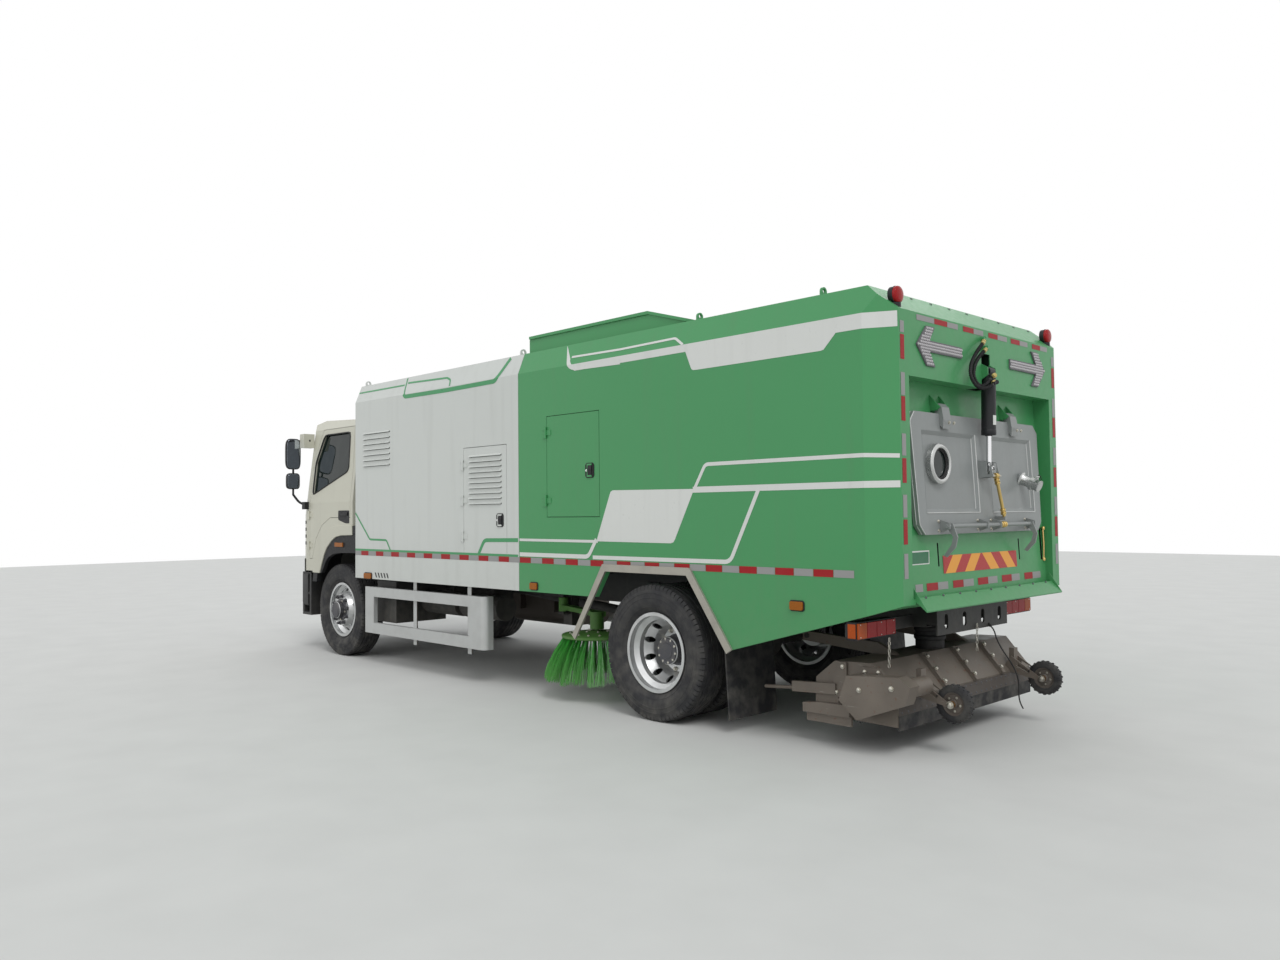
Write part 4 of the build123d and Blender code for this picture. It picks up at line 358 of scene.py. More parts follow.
@dataclass(frozen=True)
class Rubber(Finish):
    """Rubber or plastic with a fine grain and dust in its hollows."""

    roughness: float = 0.7
    dust: float = 0.35
    grain: float = 320.0
    depth: float = 0.25
    pale: Colour = (0.17, 0.16, 0.14)

    def dress(self, graph: Graph) -> None:
        """Grain, dust patches and a dull sheen.

        Args:
            graph: The node tree that it is wired in.
        """
        dirt = graph.span(graph.noise(11.0, detail=9.0), 0.4, 0.75, 0.0, self.dust)
        low = graph.span(graph.axes()[2], 1.1, 0.0, 0.25, 1.0)
        graph.feed("Base Color", graph.mix(graph.calc("MULTIPLY", dirt, low), self.colour, self.pale))
        graph.feed("Roughness", graph.span(graph.noise(40.0), 0.3, 0.7, self.roughness - 0.08,
            self.roughness + 0.1))
        graph.gloss(Specular_IOR_Level=0.3)
        graph.bump(graph.noise(self.grain, detail=3.0), self.depth, 0.0008)


@dataclass(frozen=True)
class ScuffedPaint(Finish):
    """Thick dull paint on heavy plate, scuffed, dusty and rusting in spots."""

    rust: float = 0.5

    def dress(self, graph: Graph) -> None:
        """Scuffs, spots of rust and dried dust.

        Args:
            graph: The node tree that it is wired in.
        """
        cloudy = graph.span(graph.noise(5.0, detail=7.0), 0.35, 0.7, 0.0, 0.45)
        shade = graph.mix(cloudy, self.colour, tuple(1.6 * c for c in self.colour))
        spots = graph.span(graph.noise(34.0, detail=9.0), 0.62, 0.72, 0.0, self.rust)
        shade = graph.mix(spots, shade, (0.14, 0.045, 0.015))
        scrape = graph.span(graph.noise(60.0, (0.15, 1, 1.6)), 0.68, 0.74, 0.0, 0.5)
        graph.feed("Base Color", graph.mix(scrape, shade, (0.32, 0.3, 0.27)))
        graph.feed("Roughness", graph.span(cloudy, 0.0, 0.45, 0.42, 0.68))
        graph.gloss(Specular_IOR_Level=0.4)
        graph.bump(graph.noise(90.0, detail=6.0), 0.18, 0.001)


@dataclass(frozen=True)
class Lens(Finish):
    """Moulded lens of a lamp, with prisms under a clear face."""

    prisms: float = 160.0

    def dress(self, graph: Graph) -> None:
        """Prism cells that lighten the colour and bump the face.

        Args:
            graph: The node tree that it is wired in.
        """
        cells = graph.cells(self.prisms)
        edge = graph.span(cells, 0.0, 0.12, 1.0, 0.0)
        bright = tuple(min(1.0, 1.5 * c) for c in self.colour)
        graph.feed("Base Color", graph.mix(graph.calc("MULTIPLY", edge, 0.5), self.colour, bright))
        graph.gloss(Roughness=0.25, Coat_Weight=0.12, Coat_Roughness=0.06, Specular_IOR_Level=0.15)
        graph.bump(cells, 0.3, 0.001)


@dataclass(frozen=True)
class Reflector(Finish):
    """Reflecting tape: a honeycomb of sealed cells under clear film."""

    def dress(self, graph: Graph) -> None:
        """Pale cell walls over the tape's colour.

        Args:
            graph: The node tree that it is wired in.
        """
        wall = graph.span(graph.cells(HONEYCOMB, 0.15), 0.02, 0.09, 0.25, 0.0)
        pale = tuple(min(1.0, c * 1.2 + 0.05) for c in self.colour)
        fade = graph.span(graph.noise(6.0, detail=6.0), 0.4, 0.75, 0.0, 0.12)
        worn = graph.mix(fade, self.colour, tuple(0.6 * c + 0.1 for c in self.colour))
        graph.feed("Base Color", graph.mix(wall, worn, pale))
        graph.gloss(Roughness=0.45, Coat_Weight=0.05, Coat_Roughness=0.2, Specular_IOR_Level=0.18)


@dataclass(frozen=True)
class Glazing(Finish):
    """Clear tinted glass with a film of dust."""

    clear: float = 0.86

    def dress(self, graph: Graph) -> None:
        """Tint with a faint uneven film.

        Args:
            graph: The node tree that it is wired in.
        """
        film = graph.span(graph.noise(8.0, detail=8.0), 0.45, 0.8, 0.0, 0.18)
        graph.feed("Base Color", graph.mix(film, self.colour, (0.14, 0.15, 0.14)))
        graph.feed("Roughness", graph.span(film, 0.0, 0.18, 0.02, 0.1))
        graph.gloss(Transmission_Weight=self.clear, IOR=1.45, Specular_IOR_Level=0.3)


@dataclass(frozen=True)
class Bristle(Finish):
    """Drawn plastic fibre, paler and dusty towards the tips."""

    tip_z: float = 0.12
    root_z: float = 0.5
    tip: Colour = (0.3, 0.52, 0.22)

    def dress(self, graph: Graph) -> None:
        """Shade from the root to the tip, with bundles of lighter and darker fibre.

        Args:
            graph: The node tree that it is wired in.
        """
        along = graph.span(graph.axes()[2], self.root_z, self.tip_z, 0.0, 0.45)
        bundle = graph.span(graph.noise(45.0, (1, 1, 0.2)), 0.3, 0.7, 0.0, 0.6)
        shade = graph.mix(bundle, self.colour, tuple(0.45 * c for c in self.colour))
        graph.feed("Base Color", graph.mix(along, shade, self.tip))
        graph.gloss(Roughness=0.42, Coat_Weight=0.15)


@dataclass(frozen=True)
class Cloth(Finish):
    """Woven seat cloth."""

    pitch: float = 900.0

    def dress(self, graph: Graph) -> None:
        """Over and under threads from two crossed waves.

        Args:
            graph: The node tree that it is wired in.
        """
        warp = graph.node("ShaderNodeTexWave", bands_direction="X")
        weft = graph.node("ShaderNodeTexWave", bands_direction="Z")
        for wave in (warp, weft):
            graph.put(wave, "Vector", graph.coords)
            graph.put(wave, "Scale", self.pitch / 6.0)
            graph.put(wave, "Distortion", 0.6)
        weave = graph.calc("MAXIMUM", warp.outputs["Fac"], weft.outputs["Fac"])
        graph.feed("Base Color", graph.mix(graph.calc("MULTIPLY", weave, 0.4), self.colour,
            (0.12, 0.12, 0.13)))
        graph.gloss(Roughness=0.9, Sheen_Weight=0.3)
        graph.bump(weave, 0.3, 0.001)


@dataclass(frozen=True)
class Chevrons(Finish):
    """Red and yellow slanted bars that meet in a point above the middle of the board."""

    pale: Colour = (0.8, 0.34, 0.035)
    top: float = 1.247
    lean: float = 0.95
    pitch: float = 0.257

    def dress(self, graph: Graph) -> None:
        """Bars from the distance to the board's middle and the height.

        Args:
            graph: The node tree that it is wired in.
        """
        axes = graph.axes()
        drop = graph.calc("MULTIPLY", graph.calc("SUBTRACT", self.top, axes[2]), self.lean)
        off = graph.calc("SUBTRACT", graph.calc("SUBTRACT", graph.calc("ABSOLUTE", axes[1]), 0.01), drop)
        phase = graph.calc("FRACT", graph.calc("ADD", graph.calc("DIVIDE", off, self.pitch), 4.0))
        bar = graph.calc("LESS_THAN", phase, 0.5)
        shade = graph.mix(bar, self.colour, self.pale)
        wall = graph.span(graph.cells(HONEYCOMB), 0.02, 0.09, 0.1, 0.0)
        graph.feed("Base Color", graph.mix(wall, shade, (0.7, 0.4, 0.2)))
        graph.gloss(Roughness=0.42, Coat_Weight=0.12, Specular_IOR_Level=0.3)


GREEN = (0.062, 0.29, 0.105)
WHITE = (0.6, 0.62, 0.59)
CREAM = (0.56, 0.55, 0.46)
INSIDE = (0.1, 0.1, 0.095)
CAB_ROOM = tuple(Zone((start, -half + narrow, low), (end - back, half - narrow, high), INSIDE)
    for low, high, back, narrow in ((0.92, 1.56, 0.0, 0.0), (1.56, 1.9, 0.09, 0.03), (1.9, 2.2, 0.17, 0.05),
    (2.2, 2.56, 0.26, 0.09)) for start, end, half in ((2.59, 3.62, 1.115), (2.9, 3.78, 1.06),
    (2.9, 3.99, 0.95), (2.9, 4.14, 0.84)))
# Near-black boxes on the tail's green paint: painted shade of the slots and openings in the tail.
SLOT_SHADE_ZONES = tuple(Zone(low, high, (0.006, 0.008, 0.008))
    for low, high in (((-4.119, -0.0625, 2.37), (-3.9, 0.0625, 2.62)),
    ((-4.119, -0.967, 1.164), (-3.97, -0.937, 1.401)), ((-4.119, 0.574, 1.179), (-3.97, 0.592, 1.331)),
    ((-4.119, -0.592, 1.179), (-3.97, -0.574, 1.331))))


class Palette:
    """Every finish of the truck, built on first use."""

    PLAN: dict[str, Finish] = {finish.name: finish
        for finish in (Paint("green_enamel", GREEN, dust=0.2, dust_top=1.3, zones=SLOT_SHADE_ZONES),
        Paint("white_enamel", WHITE, dust=0.18, dust_top=1.4),
        Paint("cream_enamel", CREAM, dust=0.16, dust_top=1.4, zones=CAB_ROOM),
        Paint("door_cream", CREAM, dust=0.16, dust_top=1.4,
        zones=(Zone((2.5, -1.14, 0.9), (3.6, 1.14, 1.9), INSIDE),
        Zone((2.5, -1.05, 1.9), (3.6, 1.05, 2.6), INSIDE))),
        Paint("door_silver", (0.255, 0.27, 0.265), roughness=0.4, coat=0.1, dust=0.05),
        # Bright metal on the tank door's folds that face the light: painted highlight.
        Metal("worn_edge", (0.58, 0.59, 0.58), roughness=0.35, wear=0.2, metallic=0.5),
        Paint("broom_green", (0.055, 0.19, 0.02), dust=0.3, dust_top=1.1, roughness=0.5, coat=0.1),
        Paint("chassis_black", (0.018, 0.019, 0.021), dust=0.45, dust_top=1.0, roughness=0.5, coat=0.05),
        Paint("bumper_black", (0.014, 0.015, 0.017), dust=0.15, dust_top=1.1, roughness=0.5, coat=0.05),
        Paint("axle_grey", (0.045, 0.047, 0.05), dust=0.5, dust_top=0.9, roughness=0.6, coat=0.0),
        Paint("hose_gold", (0.55, 0.42, 0.14), roughness=0.35, dust=0.0),
        ScuffedPaint("broom_plate", (0.135, 0.114, 0.094)),
        # The broom plate's paint at under half its brightness, for the riveted band: painted shade.
        ScuffedPaint("band_plate", (0.062, 0.052, 0.045), rust=0.3),
        Metal("wheel_silver", (0.62, 0.63, 0.63), roughness=0.34, wear=0.3, metallic=0.85),
        # Its zone turns all of this finish inside the side guards' line dark brown: painted shade behind the
        # side guards.
        Metal("guard_silver", (0.5, 0.51, 0.5), roughness=0.45, grain=(0.05, 1, 1), wear=0.15, metallic=0.45,
        zones=(Zone((0.2, -1.1595, 0.2), (2.1, 1.1595, 1.1), (0.1, 0.085, 0.072)),)),
        Metal("arch_zinc", (0.4, 0.38, 0.33), roughness=0.4, grain=(1, 1, 0.1), wear=0.4, metallic=0.55),
        Metal("polished_steel", (0.56, 0.57, 0.56), roughness=0.25, grain=(1, 1, 0.1), wear=0.1),
        Metal("bright_chrome", (0.85, 0.85, 0.86), roughness=0.08, wear=0.05),
        Metal("zinc_bolt", (0.55, 0.53, 0.47), roughness=0.36, wear=0.35),
        Metal("yellow_zinc", (0.7, 0.5, 0.17), roughness=0.34, wear=0.3),
        Metal("bronze_hub", (0.46, 0.27, 0.13), roughness=0.42, wear=0.4),
        Metal("hub_brown", (0.12, 0.1, 0.085), roughness=0.5, wear=0.4, metallic=0.4),
        Metal("brass", (0.72, 0.5, 0.2), roughness=0.3, grain=(1, 1, 0.1), wear=0.3),
        Metal("dark_steel", (0.1, 0.1, 0.11), roughness=0.45, wear=0.35, metallic=0.8),
        Rubber("tyre_rubber", (0.03, 0.03, 0.032), roughness=0.72, dust=0.5),
        Rubber("soft_rubber", (0.02, 0.02, 0.021), roughness=0.65, dust=0.3),
        Rubber("flap_rubber", (0.022, 0.022, 0.024), roughness=0.7, dust=0.6, grain=120.0),
        Rubber("black_plastic", (0.014, 0.0145, 0.016), roughness=0.5, dust=0.08, grain=420.0, depth=0.12),
        Rubber("hose_cover", (0.014, 0.014, 0.015), roughness=0.5, dust=0.1, grain=90.0),
        Rubber("panel_grey", (0.145, 0.14, 0.15), roughness=0.55, dust=0.1),
        Lens("red_lens", (0.3, 0.008, 0.01)), Lens("amber_lens", (0.29, 0.09, 0.009)),
        Lens("orange_lens", (0.36, 0.062, 0.008), prisms=120.0), Lens("clear_lens", (0.72, 0.72, 0.7)),
        Lens("led_dome", (0.48, 0.46, 0.47), prisms=500.0), Reflector("red_tape", (0.33, 0.01, 0.014)),
        Reflector("white_tape", (0.3, 0.295, 0.29)),
        Glazing("cab_glazing", (0.01, 0.019, 0.017), clear=0.25),
        Glazing("porthole_glass", (0.02, 0.03, 0.028), clear=0.3),
        Metal("mirror_face", (0.55, 0.6, 0.68), roughness=0.03, wear=0.0),
        Bristle("broom_fibre", (0.035, 0.36, 0.035)),
        Bristle("roller_fibre", (0.05, 0.05, 0.05), tip=(0.12, 0.12, 0.11)),
        Cloth("seat_weave", (0.035, 0.035, 0.04)), Chevrons("chevron_film", (0.4, 0.012, 0.018)),
        Paint("marking_white", (0.68, 0.69, 0.66), dust=0.1, roughness=0.3),
        Paint("plate_green", (0.03, 0.16, 0.075), dust=0.1),
        Paint("marking_green", (0.055, 0.3, 0.115), dust=0.1, roughness=0.3))}

    def __init__(self) -> None:
        """Starts with nothing built."""
        self.made: dict[str, bpy.types.Material] = {}

    def __getitem__(self, name: str) -> bpy.types.Material:
        """Gives the named finish's material.

        Args:
            name: A name in PLAN.

        Returns:
            Its material.
        """
        if name not in self.made:
            self.made[name] = self.PLAN[name].make()
        return self.made[name]


PALETTE = Palette()


class Shape:
    """Corners and faces in metres, each face marked with the number of its finish."""

    def __init__(self) -> None:
        """Starts empty."""
        self.corners: list[Vector] = []
        self.faces: list[tuple[int, ...]] = []
        self.marks: list[int] = []

    def add(self, corners: Iterable[Point], faces: Iterable[Sequence[int]], mark: int = 0) -> None:
        """Adds corners and the faces between them.

        Args:
            corners: The new corners.
            faces: Their corners' places in this list.
            mark: The finish's number.
        """
        start = len(self.corners)
        self.corners.extend(Vector(c) for c in corners)
        for face in faces:
            self.faces.append(tuple(start + i for i in face))
            self.marks.append(mark)

    def prism(self, outline: Sequence[Point], low: float, high: float, across: Across,
            mark: int = 0) -> None:
        """A closed prism of a flat outline.

        Args:
            outline: Pairs of the two coordinates other than across, in their order.
            low: Where the prism starts along across.
            high: Where it ends.
            across: The prism's axis.
            mark: Number of its finish.
        """
        corners = []
        for level in (low, high):
            for pair in outline:
                spot = list(pair)
                spot.insert(across.value, level)
                corners.append(spot)
        count = len(outline)
        caps = [tuple(range(count)), tuple(reversed(range(count, 2 * count)))]
        self.add(corners, caps + rings(2, count)[:count], mark)

    def box(self, one: Point, other: Point, mark: int = 0) -> None:
        """A box between any two opposite corners."""
        low, high = tuple(map(min, one, other)), tuple(map(max, one, other))
        self.prism(patch(low[0], high[0], low[1], high[1]), low[2], high[2], Across.Z, mark)

    def tube(self, path: Sequence[Point], radius: float | Sequence[float], mark: int = 0,
            sides: int = 10) -> None:
        """A round bar along a path, with closed ends.

        Args:
            path: Its middle line.
            radius: One radius, or one for each point.
            mark: Number of its finish.
            sides: Faces around it.
        """
        spots = [Vector(p) for p in path]
        radii = [radius] * len(spots) if isinstance(radius, (int, float)) else list(radius)
        frames = []
        way = (spots[1] - spots[0]).normalized()
        across = way.orthogonal().normalized()
        for k, spot in enumerate(spots):
            ahead = (spots[k + 1] - spot).normalized() if k < len(spots) - 1 else way
            behind = (spot - spots[k - 1]).normalized() if k else ahead
            mean = (ahead + behind).normalized()
            across = (across - mean * across.dot(mean)).normalized()
            frames.append((spot, across, mean.cross(across)))
            way = ahead
        corners = []
        for (spot, u, v), r in zip(frames, radii):
            corners += [spot + (u * math.cos(a) + v * math.sin(a)) * r for a in turns(sides)]
        self.add(corners, rings(len(spots), sides), mark)

    def lathe(self, profile: Sequence[Point], centre: Point, axis: Point, steps: int = 32, mark: int = 0,
            closed: bool = False) -> None:
        """A turned form about an axis.

        Args:
            profile: Pairs of radius and distance along the axis.
            centre: A point on the axis, where the distance is zero.
            axis: The axis's direction.
            steps: Faces around it.
            mark: Number of its finish.
            closed: Whether the profile's end meets its start, as on a ring.
        """
        run = Vector(axis).normalized()
        u = run.orthogonal().normalized()
        v = run.cross(u)
        middle = Vector(centre)
        corners = []
        for radius, along in profile:
            corners += [middle + run * along + (u * math.cos(a) + v * math.sin(a)) * radius
                for a in turns(steps)]
        self.add(corners, rings(len(profile), steps, closed), mark)

    def band(self, plan: Sequence[Point], section: Sequence[Point], mark: int = 0) -> None:
        """A closed section carried along an open run in plan, with closed ends.

        Args:
            plan: The run, as x and y.
            section: Pairs of the distance to the run's left and the height.
            mark: Number of its finish.
        """
        spots = [Vector(p) for p in plan]
        corners = []
        for k, here in enumerate(spots):
            ahead = (spots[min(k + 1, len(spots) - 1)] - here).normalized()
            behind = (here - spots[max(k - 1, 0)]).normalized()
            mean = (ahead + behind).normalized()
            reach = 1.0 / max(0.5, mean.dot(ahead if ahead.length else behind))
            corners += [(here.x - mean.y * out * reach, here.y + mean.x * out * reach, z)
                for out, z in section]
        self.add(corners, rings(len(spots), len(section)), mark)

    def finish(self, name: str, body: str, *finishes: str, bevel: float = 0.0, smooth: bool = False,
            closed: bool = True) -> bpy.types.Object:
        """Turns the gathered faces into an object on a body.

        Args:
            name: The piece's name.
            body: The body that it rides on.
            finishes: Names of the finishes, in the order of the marks.
            bevel: Width of the rounded edges, or nought.
            smooth: Whether gentle corners are shaded smoothly.
            closed: Whether normals are worked out for closed shells.

        Returns:
            The new object.
        """
        mesh = bpy.data.meshes.new(name)
        mesh.from_pydata([tuple(c) for c in self.corners], [], self.faces)
        for finish in finishes:
            mesh.materials.append(PALETTE[finish])
        mesh.polygons.foreach_set("material_index", self.marks)
        work = bmesh.new()
        work.from_mesh(mesh)
        bmesh.ops.remove_doubles(work, verts=work.verts, dist=1e-6)
        if closed:
            bmesh.ops.recalc_face_normals(work, faces=work.faces)
        work.to_mesh(mesh)
        work.free()
        piece = placed(name, mesh)
        if bevel:
            edge = piece.modifiers.new("edges", "BEVEL")
            edge.width = bevel
            edge.segments = 2
            edge.limit_method = "ANGLE"
            edge.angle_limit = math.radians(SMOOTH_ANGLE)
            edge.harden_normals = False
        if smooth:
            shade_smooth(mesh)
        return settle(piece, body)


def turns(count: int, start: float = 0.0) -> list[float]:
    """Angles evenly round a circle."""
    return [start + 2 * math.pi * k / count for k in range(count)]


def polar(radius: float, angle: float) -> tuple[float, float]:
    """The two coordinates of a point on a circle about the origin."""
    return radius * math.cos(angle), radius * math.sin(angle)


def patch(left: float, right: float, low: float, high: float) -> list[tuple[float, float]]:
    """The four corners of an upright rectangle, as pairs."""
    return [(left, low), (right, low), (right, high), (left, high)]


def rings(rows: int, steps: int, closed: bool = False) -> list[tuple[int, ...]]:
    """The faces between rows of corners.

    Args:
        rows: How many rows there are.
        steps: Corners in a row.
        closed: Whether the last row meets the first. If not, both ends have a cap.

    Returns:
        The corner numbers of every face.
    """
    faces = [(k * steps + i, k * steps + j, (k + 1) % rows * steps + j, (k + 1) % rows * steps + i)
        for k in range(rows if closed else rows - 1) for i, j in zip(range(steps), [*range(1, steps), 0])]
    if not closed:
        faces += [tuple(reversed(range(steps))), tuple(range((rows - 1) * steps, rows * steps))]
    return faces


def placed(name: str, data: bpy.types.ID) -> bpy.types.Object:
    """A new object of a mesh, curve, lamp or camera, in the scene."""
    piece = bpy.data.objects.new(name, data)
    bpy.context.scene.collection.objects.link(piece)
    return piece


def shade_smooth(mesh: bpy.types.Mesh, limit: float = SMOOTH_ANGLE) -> None:
    """Shades gentle corners smoothly and keeps sharp ones sharp."""
    mesh.shade_smooth()
    mesh.set_sharp_from_angle(angle=math.radians(limit))


def settle(piece: bpy.types.Object, body: str) -> bpy.types.Object:
    """Makes a piece ride on a body, and reports it.

    Args:
        piece: The piece.
        body: The body's name.

    Returns:
        The same piece.
    """
    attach(piece, body)
    LOG.info("%s on %s", piece.name, body)
    return piece


def rounded(points: Sequence[Point], radius: float, steps: int = 5) -> list[tuple[float, ...]]:
    """An open run of points with each inner corner rounded.

    Args:
        points: The corners.
        radius: Length taken off each side of a corner, at most.
        steps: Points on each rounded corner.

    Returns:
        The rounded run.
    """
    spots = [Vector(p) for p in points]
    out = [tuple(spots[0])]
    for before, here, after in zip(spots, spots[1:], spots[2:]):
        cut = min(radius, 0.45 * (here - before).length, 0.45 * (after - here).length)
        a = here + (before - here).normalized() * cut
        b = here + (after - here).normalized() * cut
        for k in range(steps + 1):
            t = k / steps
            out.append(tuple(a * (1 - t) ** 2 + here * 2 * t * (1 - t) + b * t ** 2))
    return out + [tuple(spots[-1])]


@dataclass(frozen=True)
class Spot:
    """Where one repeated unit goes, the way that it faces, and how far it is turned about that way."""

    at: Point
    facing: Point
    turn: float = 0.0
    size: float = 1.0
    along: Point | None = None

    def euler(self) -> tuple[float, float, float]:
        """The unit's rotation, which takes its +Z to the facing direction and its +X to along, where given.

        Returns:
            The three angles in radians.
        """
        up = Vector(self.facing).normalized()
        side = Vector(self.along) if self.along is not None else up.orthogonal()
        side = (side - up * side.dot(up)).normalized()
        lean = Matrix((side, up.cross(side), up)).transposed()
        return tuple((lean @ Matrix.Rotation(self.turn, 3, "Z")).to_euler())


def row(start: Point, end: Point, count: int, facing: Point, turn: float = 0.0) -> list[Spot]:
    """Evenly spaced spots from start to end."""
    a, b = Vector(start), Vector(end)
    return [Spot(tuple(a.lerp(b, k / max(1, count - 1))), facing, turn + 0.37 * k) for k in range(count)]


def circle(centre: Point, radius: float, count: int, facing: Point, start: float = 0.0) -> list[Spot]:
    """Evenly spaced spots round a circle about a direction.

    Args:
        centre: The circle's middle.
        radius: Its radius.
        count: How many spots.
        facing: The direction that they all face.
        start: Where the first one lies, in radians.

    Returns:
        The spots.
    """
    way = Vector(facing).normalized()
    u = way.orthogonal().normalized()
    v = way.cross(u)
    return [Spot(tuple(Vector(centre) + (u * math.cos(a) + v * math.sin(a)) * radius), facing, a)
        for a in turns(count, start)]


class NodeTool:
    """A geometry node tree, made on first use, whose result becomes one plain mesh on a body."""

    title = ""
    inputs: dict[str, str] = {}
    nodes: dict[str, str] = {}
    links: tuple[tuple[str, int | str, str, int | str], ...] = ()

    def __init__(self) -> None:
        """Starts without the tree, which needs the loaded scene."""
        self.tree: bpy.types.NodeTree | None = None
        self.keys: dict[str, str] = {}

    def grow(self) -> None:
        """Builds the tree from the tables of its class."""
        self.tree = bpy.data.node_groups.new(self.title, "GeometryNodeTree")
        face = self.tree.interface
        face.new_socket("Geometry", in_out="INPUT", socket_type="NodeSocketGeometry")
        for key, kind in {**self.inputs, "Finish": "Material"}.items():
            self.keys[key] = face.new_socket(key, in_out="INPUT", socket_type=f"NodeSocket{kind}").identifier
        face.new_socket("Geometry", in_out="OUTPUT", socket_type="NodeSocketGeometry")
        kinds = {"start": "NodeGroupInput", **self.nodes, "real": "GeometryNodeRealizeInstances",
            "paint": "GeometryNodeSetMaterial", "end": "NodeGroupOutput"}
        made = {key: self.tree.nodes.new(kind) for key, kind in kinds.items()}
        self.adjust(made)
        for giver, out, taker, into in (*self.links, ("real", 0, "paint", "Geometry"),
                ("start", "Finish", "paint", "Material"), ("paint", 0, "end", 0)):
            self.tree.links.new(made[giver].outputs[out], made[taker].inputs[into])

    def adjust(self, made: dict[str, bpy.types.Node]) -> None:
        """Sets what the nodes need before they are linked."""

    def run(self, name: str, body: str, points: bpy.types.Mesh, finish: str, limit: float,
            **values: object) -> bpy.types.Object:
        """Runs the tree on a mesh.

        Args:
            name: The piece's name.
            body: The body that it rides on.
            points: What the tree starts from.
            finish: Name of the finish.
            limit: Corners up to this angle are shaded smoothly, or nought for none.
            values: The tree's other inputs.

        Returns:
            The finished piece.
        """
        if self.tree is None:
            self.grow()
        holder = placed(name, points)
        step = holder.modifiers.new(self.title, "NODES")
        step.node_group = self.tree
        for key, value in {**values, "Finish": PALETTE[finish]}.items():
            step[self.keys[key]] = value
        mesh = bpy.data.meshes.new_from_object(holder.evaluated_get(bpy.context.evaluated_depsgraph_get()))
        bpy.data.objects.remove(holder)
        mesh.name = name
        if limit:
            shade_smooth(mesh, limit)
        return settle(placed(name, mesh), body)


class Repeater(NodeTool):
    """Puts a small unit on every spot."""

    title = "repeat_unit"
    inputs = {"Unit": "Object", "Size": "Float"}
    nodes = {"unit": "GeometryNodeObjectInfo", "turn": "GeometryNodeInputNamedAttribute",
        "size": "GeometryNodeInputNamedAttribute", "rotation": "FunctionNodeEulerToRotation",
        "scale": "ShaderNodeMath", "place": "GeometryNodeInstanceOnPoints"}
    links = (("start", "Geometry", "place", "Points"), ("start", "Unit", "unit", "Object"),
        ("unit", "Geometry", "place", "Instance"), ("turn", "Attribute", "rotation", 0),
        ("rotation", 0, "place", "Rotation"), ("size", "Attribute", "scale", 0),
        ("start", "Size", "scale", 1), ("scale", 0, "place", "Scale"), ("place", 0, "real", 0))

    def adjust(self, made: dict[str, bpy.types.Node]) -> None:
        """Names the attributes that turn and size each unit."""
        made["turn"].data_type = "FLOAT_VECTOR"
        made["turn"].inputs["Name"].default_value = "facing"
        made["size"].inputs["Name"].default_value = "size"
        made["scale"].operation = "MULTIPLY"

    def put(self, name: str, body: str, unit: Shape, spots: Sequence[Spot], finish: str,
            smooth: bool = True) -> bpy.types.Object:
        """Repeats a unit on a body.

        Args:
            name: The piece's name.
            body: The body that it rides on.
            unit: The unit, which stands on its own XY plane and faces +Z.
            spots: Where the units go.
            finish: Name of their finish.
            smooth: Whether gentle corners are shaded smoothly.

        Returns:
            The finished piece.
        """
        source = plain_object("unit", unit)
        points = bpy.data.meshes.new(name)
        points.from_pydata([tuple(s.at) for s in spots], [], [])
        facing = points.attributes.new("facing", "FLOAT_VECTOR", "POINT")
        facing.data.foreach_set("vector", [n for s in spots for n in s.euler()])
        sizes = points.attributes.new("size", "FLOAT", "POINT")
        sizes.data.foreach_set("value", [s.size for s in spots])
        piece = self.run(name, body, points, finish, SMOOTH_ANGLE if smooth else 0.0, Unit=source, Size=1.0)
        bpy.data.objects.remove(source)
        return piece


class Strands(NodeTool):
    """Gives every polyline of a mesh a round section."""

    title = "strands"
    inputs = {"Radius": "Float", "Sides": "Int"}
    nodes = {"line": "GeometryNodeMeshToCurve", "ring": "GeometryNodeCurvePrimitiveCircle",
        "solid": "GeometryNodeCurveToMesh"}
    links = (("start", "Geometry", "line", "Mesh"), ("line", 0, "solid", "Curve"),
        ("start", "Sides", "ring", "Resolution"), ("start", "Radius", "ring", "Radius"),
        ("ring", 0, "solid", "Profile Curve"), ("solid", 0, "real", 0))

    def adjust(self, made: dict[str, bpy.types.Node]) -> None:
        """Closes the strands' ends."""
        made["solid"].inputs["Fill Caps"].default_value = True

    def put(self, name: str, body: str, lines: Sequence[Sequence[Point]], radius: float,
            finish: str) -> bpy.types.Object:
        """Makes three-sided strands along polylines.

        Args:
            name: The piece's name.
            body: The body that it rides on.
            lines: One polyline for each strand.
            radius: Radius of a strand.
            finish: Name of its finish.

        Returns:
            The finished piece.
        """
        corners: list[Point] = []
        edges: list[tuple[int, int]] = []
        for line in lines:
            first = len(corners)
            corners.extend(tuple(p) for p in line)
            edges.extend((first + k, first + k + 1) for k in range(len(line) - 1))
        mesh = bpy.data.meshes.new(name)
        mesh.from_pydata(corners, edges, [])
        return self.run(name, body, mesh, finish, STRAND_ANGLE, Radius=radius, Sides=3)


REPEATER = Repeater()
STRANDS = Strands()


def plain_object(name: str, shape: Shape) -> bpy.types.Object:
    """An object of a shape, not riding on anything, for use as a unit.

    Args:
        name: The new object's name.
        shape: Its form.

    Returns:
        The object.
    """
    mesh = bpy.data.meshes.new(name)
    mesh.from_pydata([tuple(c) for c in shape.corners], [], shape.faces)
    work = bmesh.new()
    work.from_mesh(mesh)
    bmesh.ops.recalc_face_normals(work, faces=work.faces)
    work.to_mesh(mesh)
    work.free()
    return placed(name, mesh)


def turned(*parts: tuple[int, Sequence[Point]]) -> Shape:
    """A small form turned about Z, each part of which has its own number of faces around and its profile."""
    made = Shape()
    for steps, profile in parts:
        made.lathe(profile, (0, 0, 0), (0, 0, 1), steps)
    return made


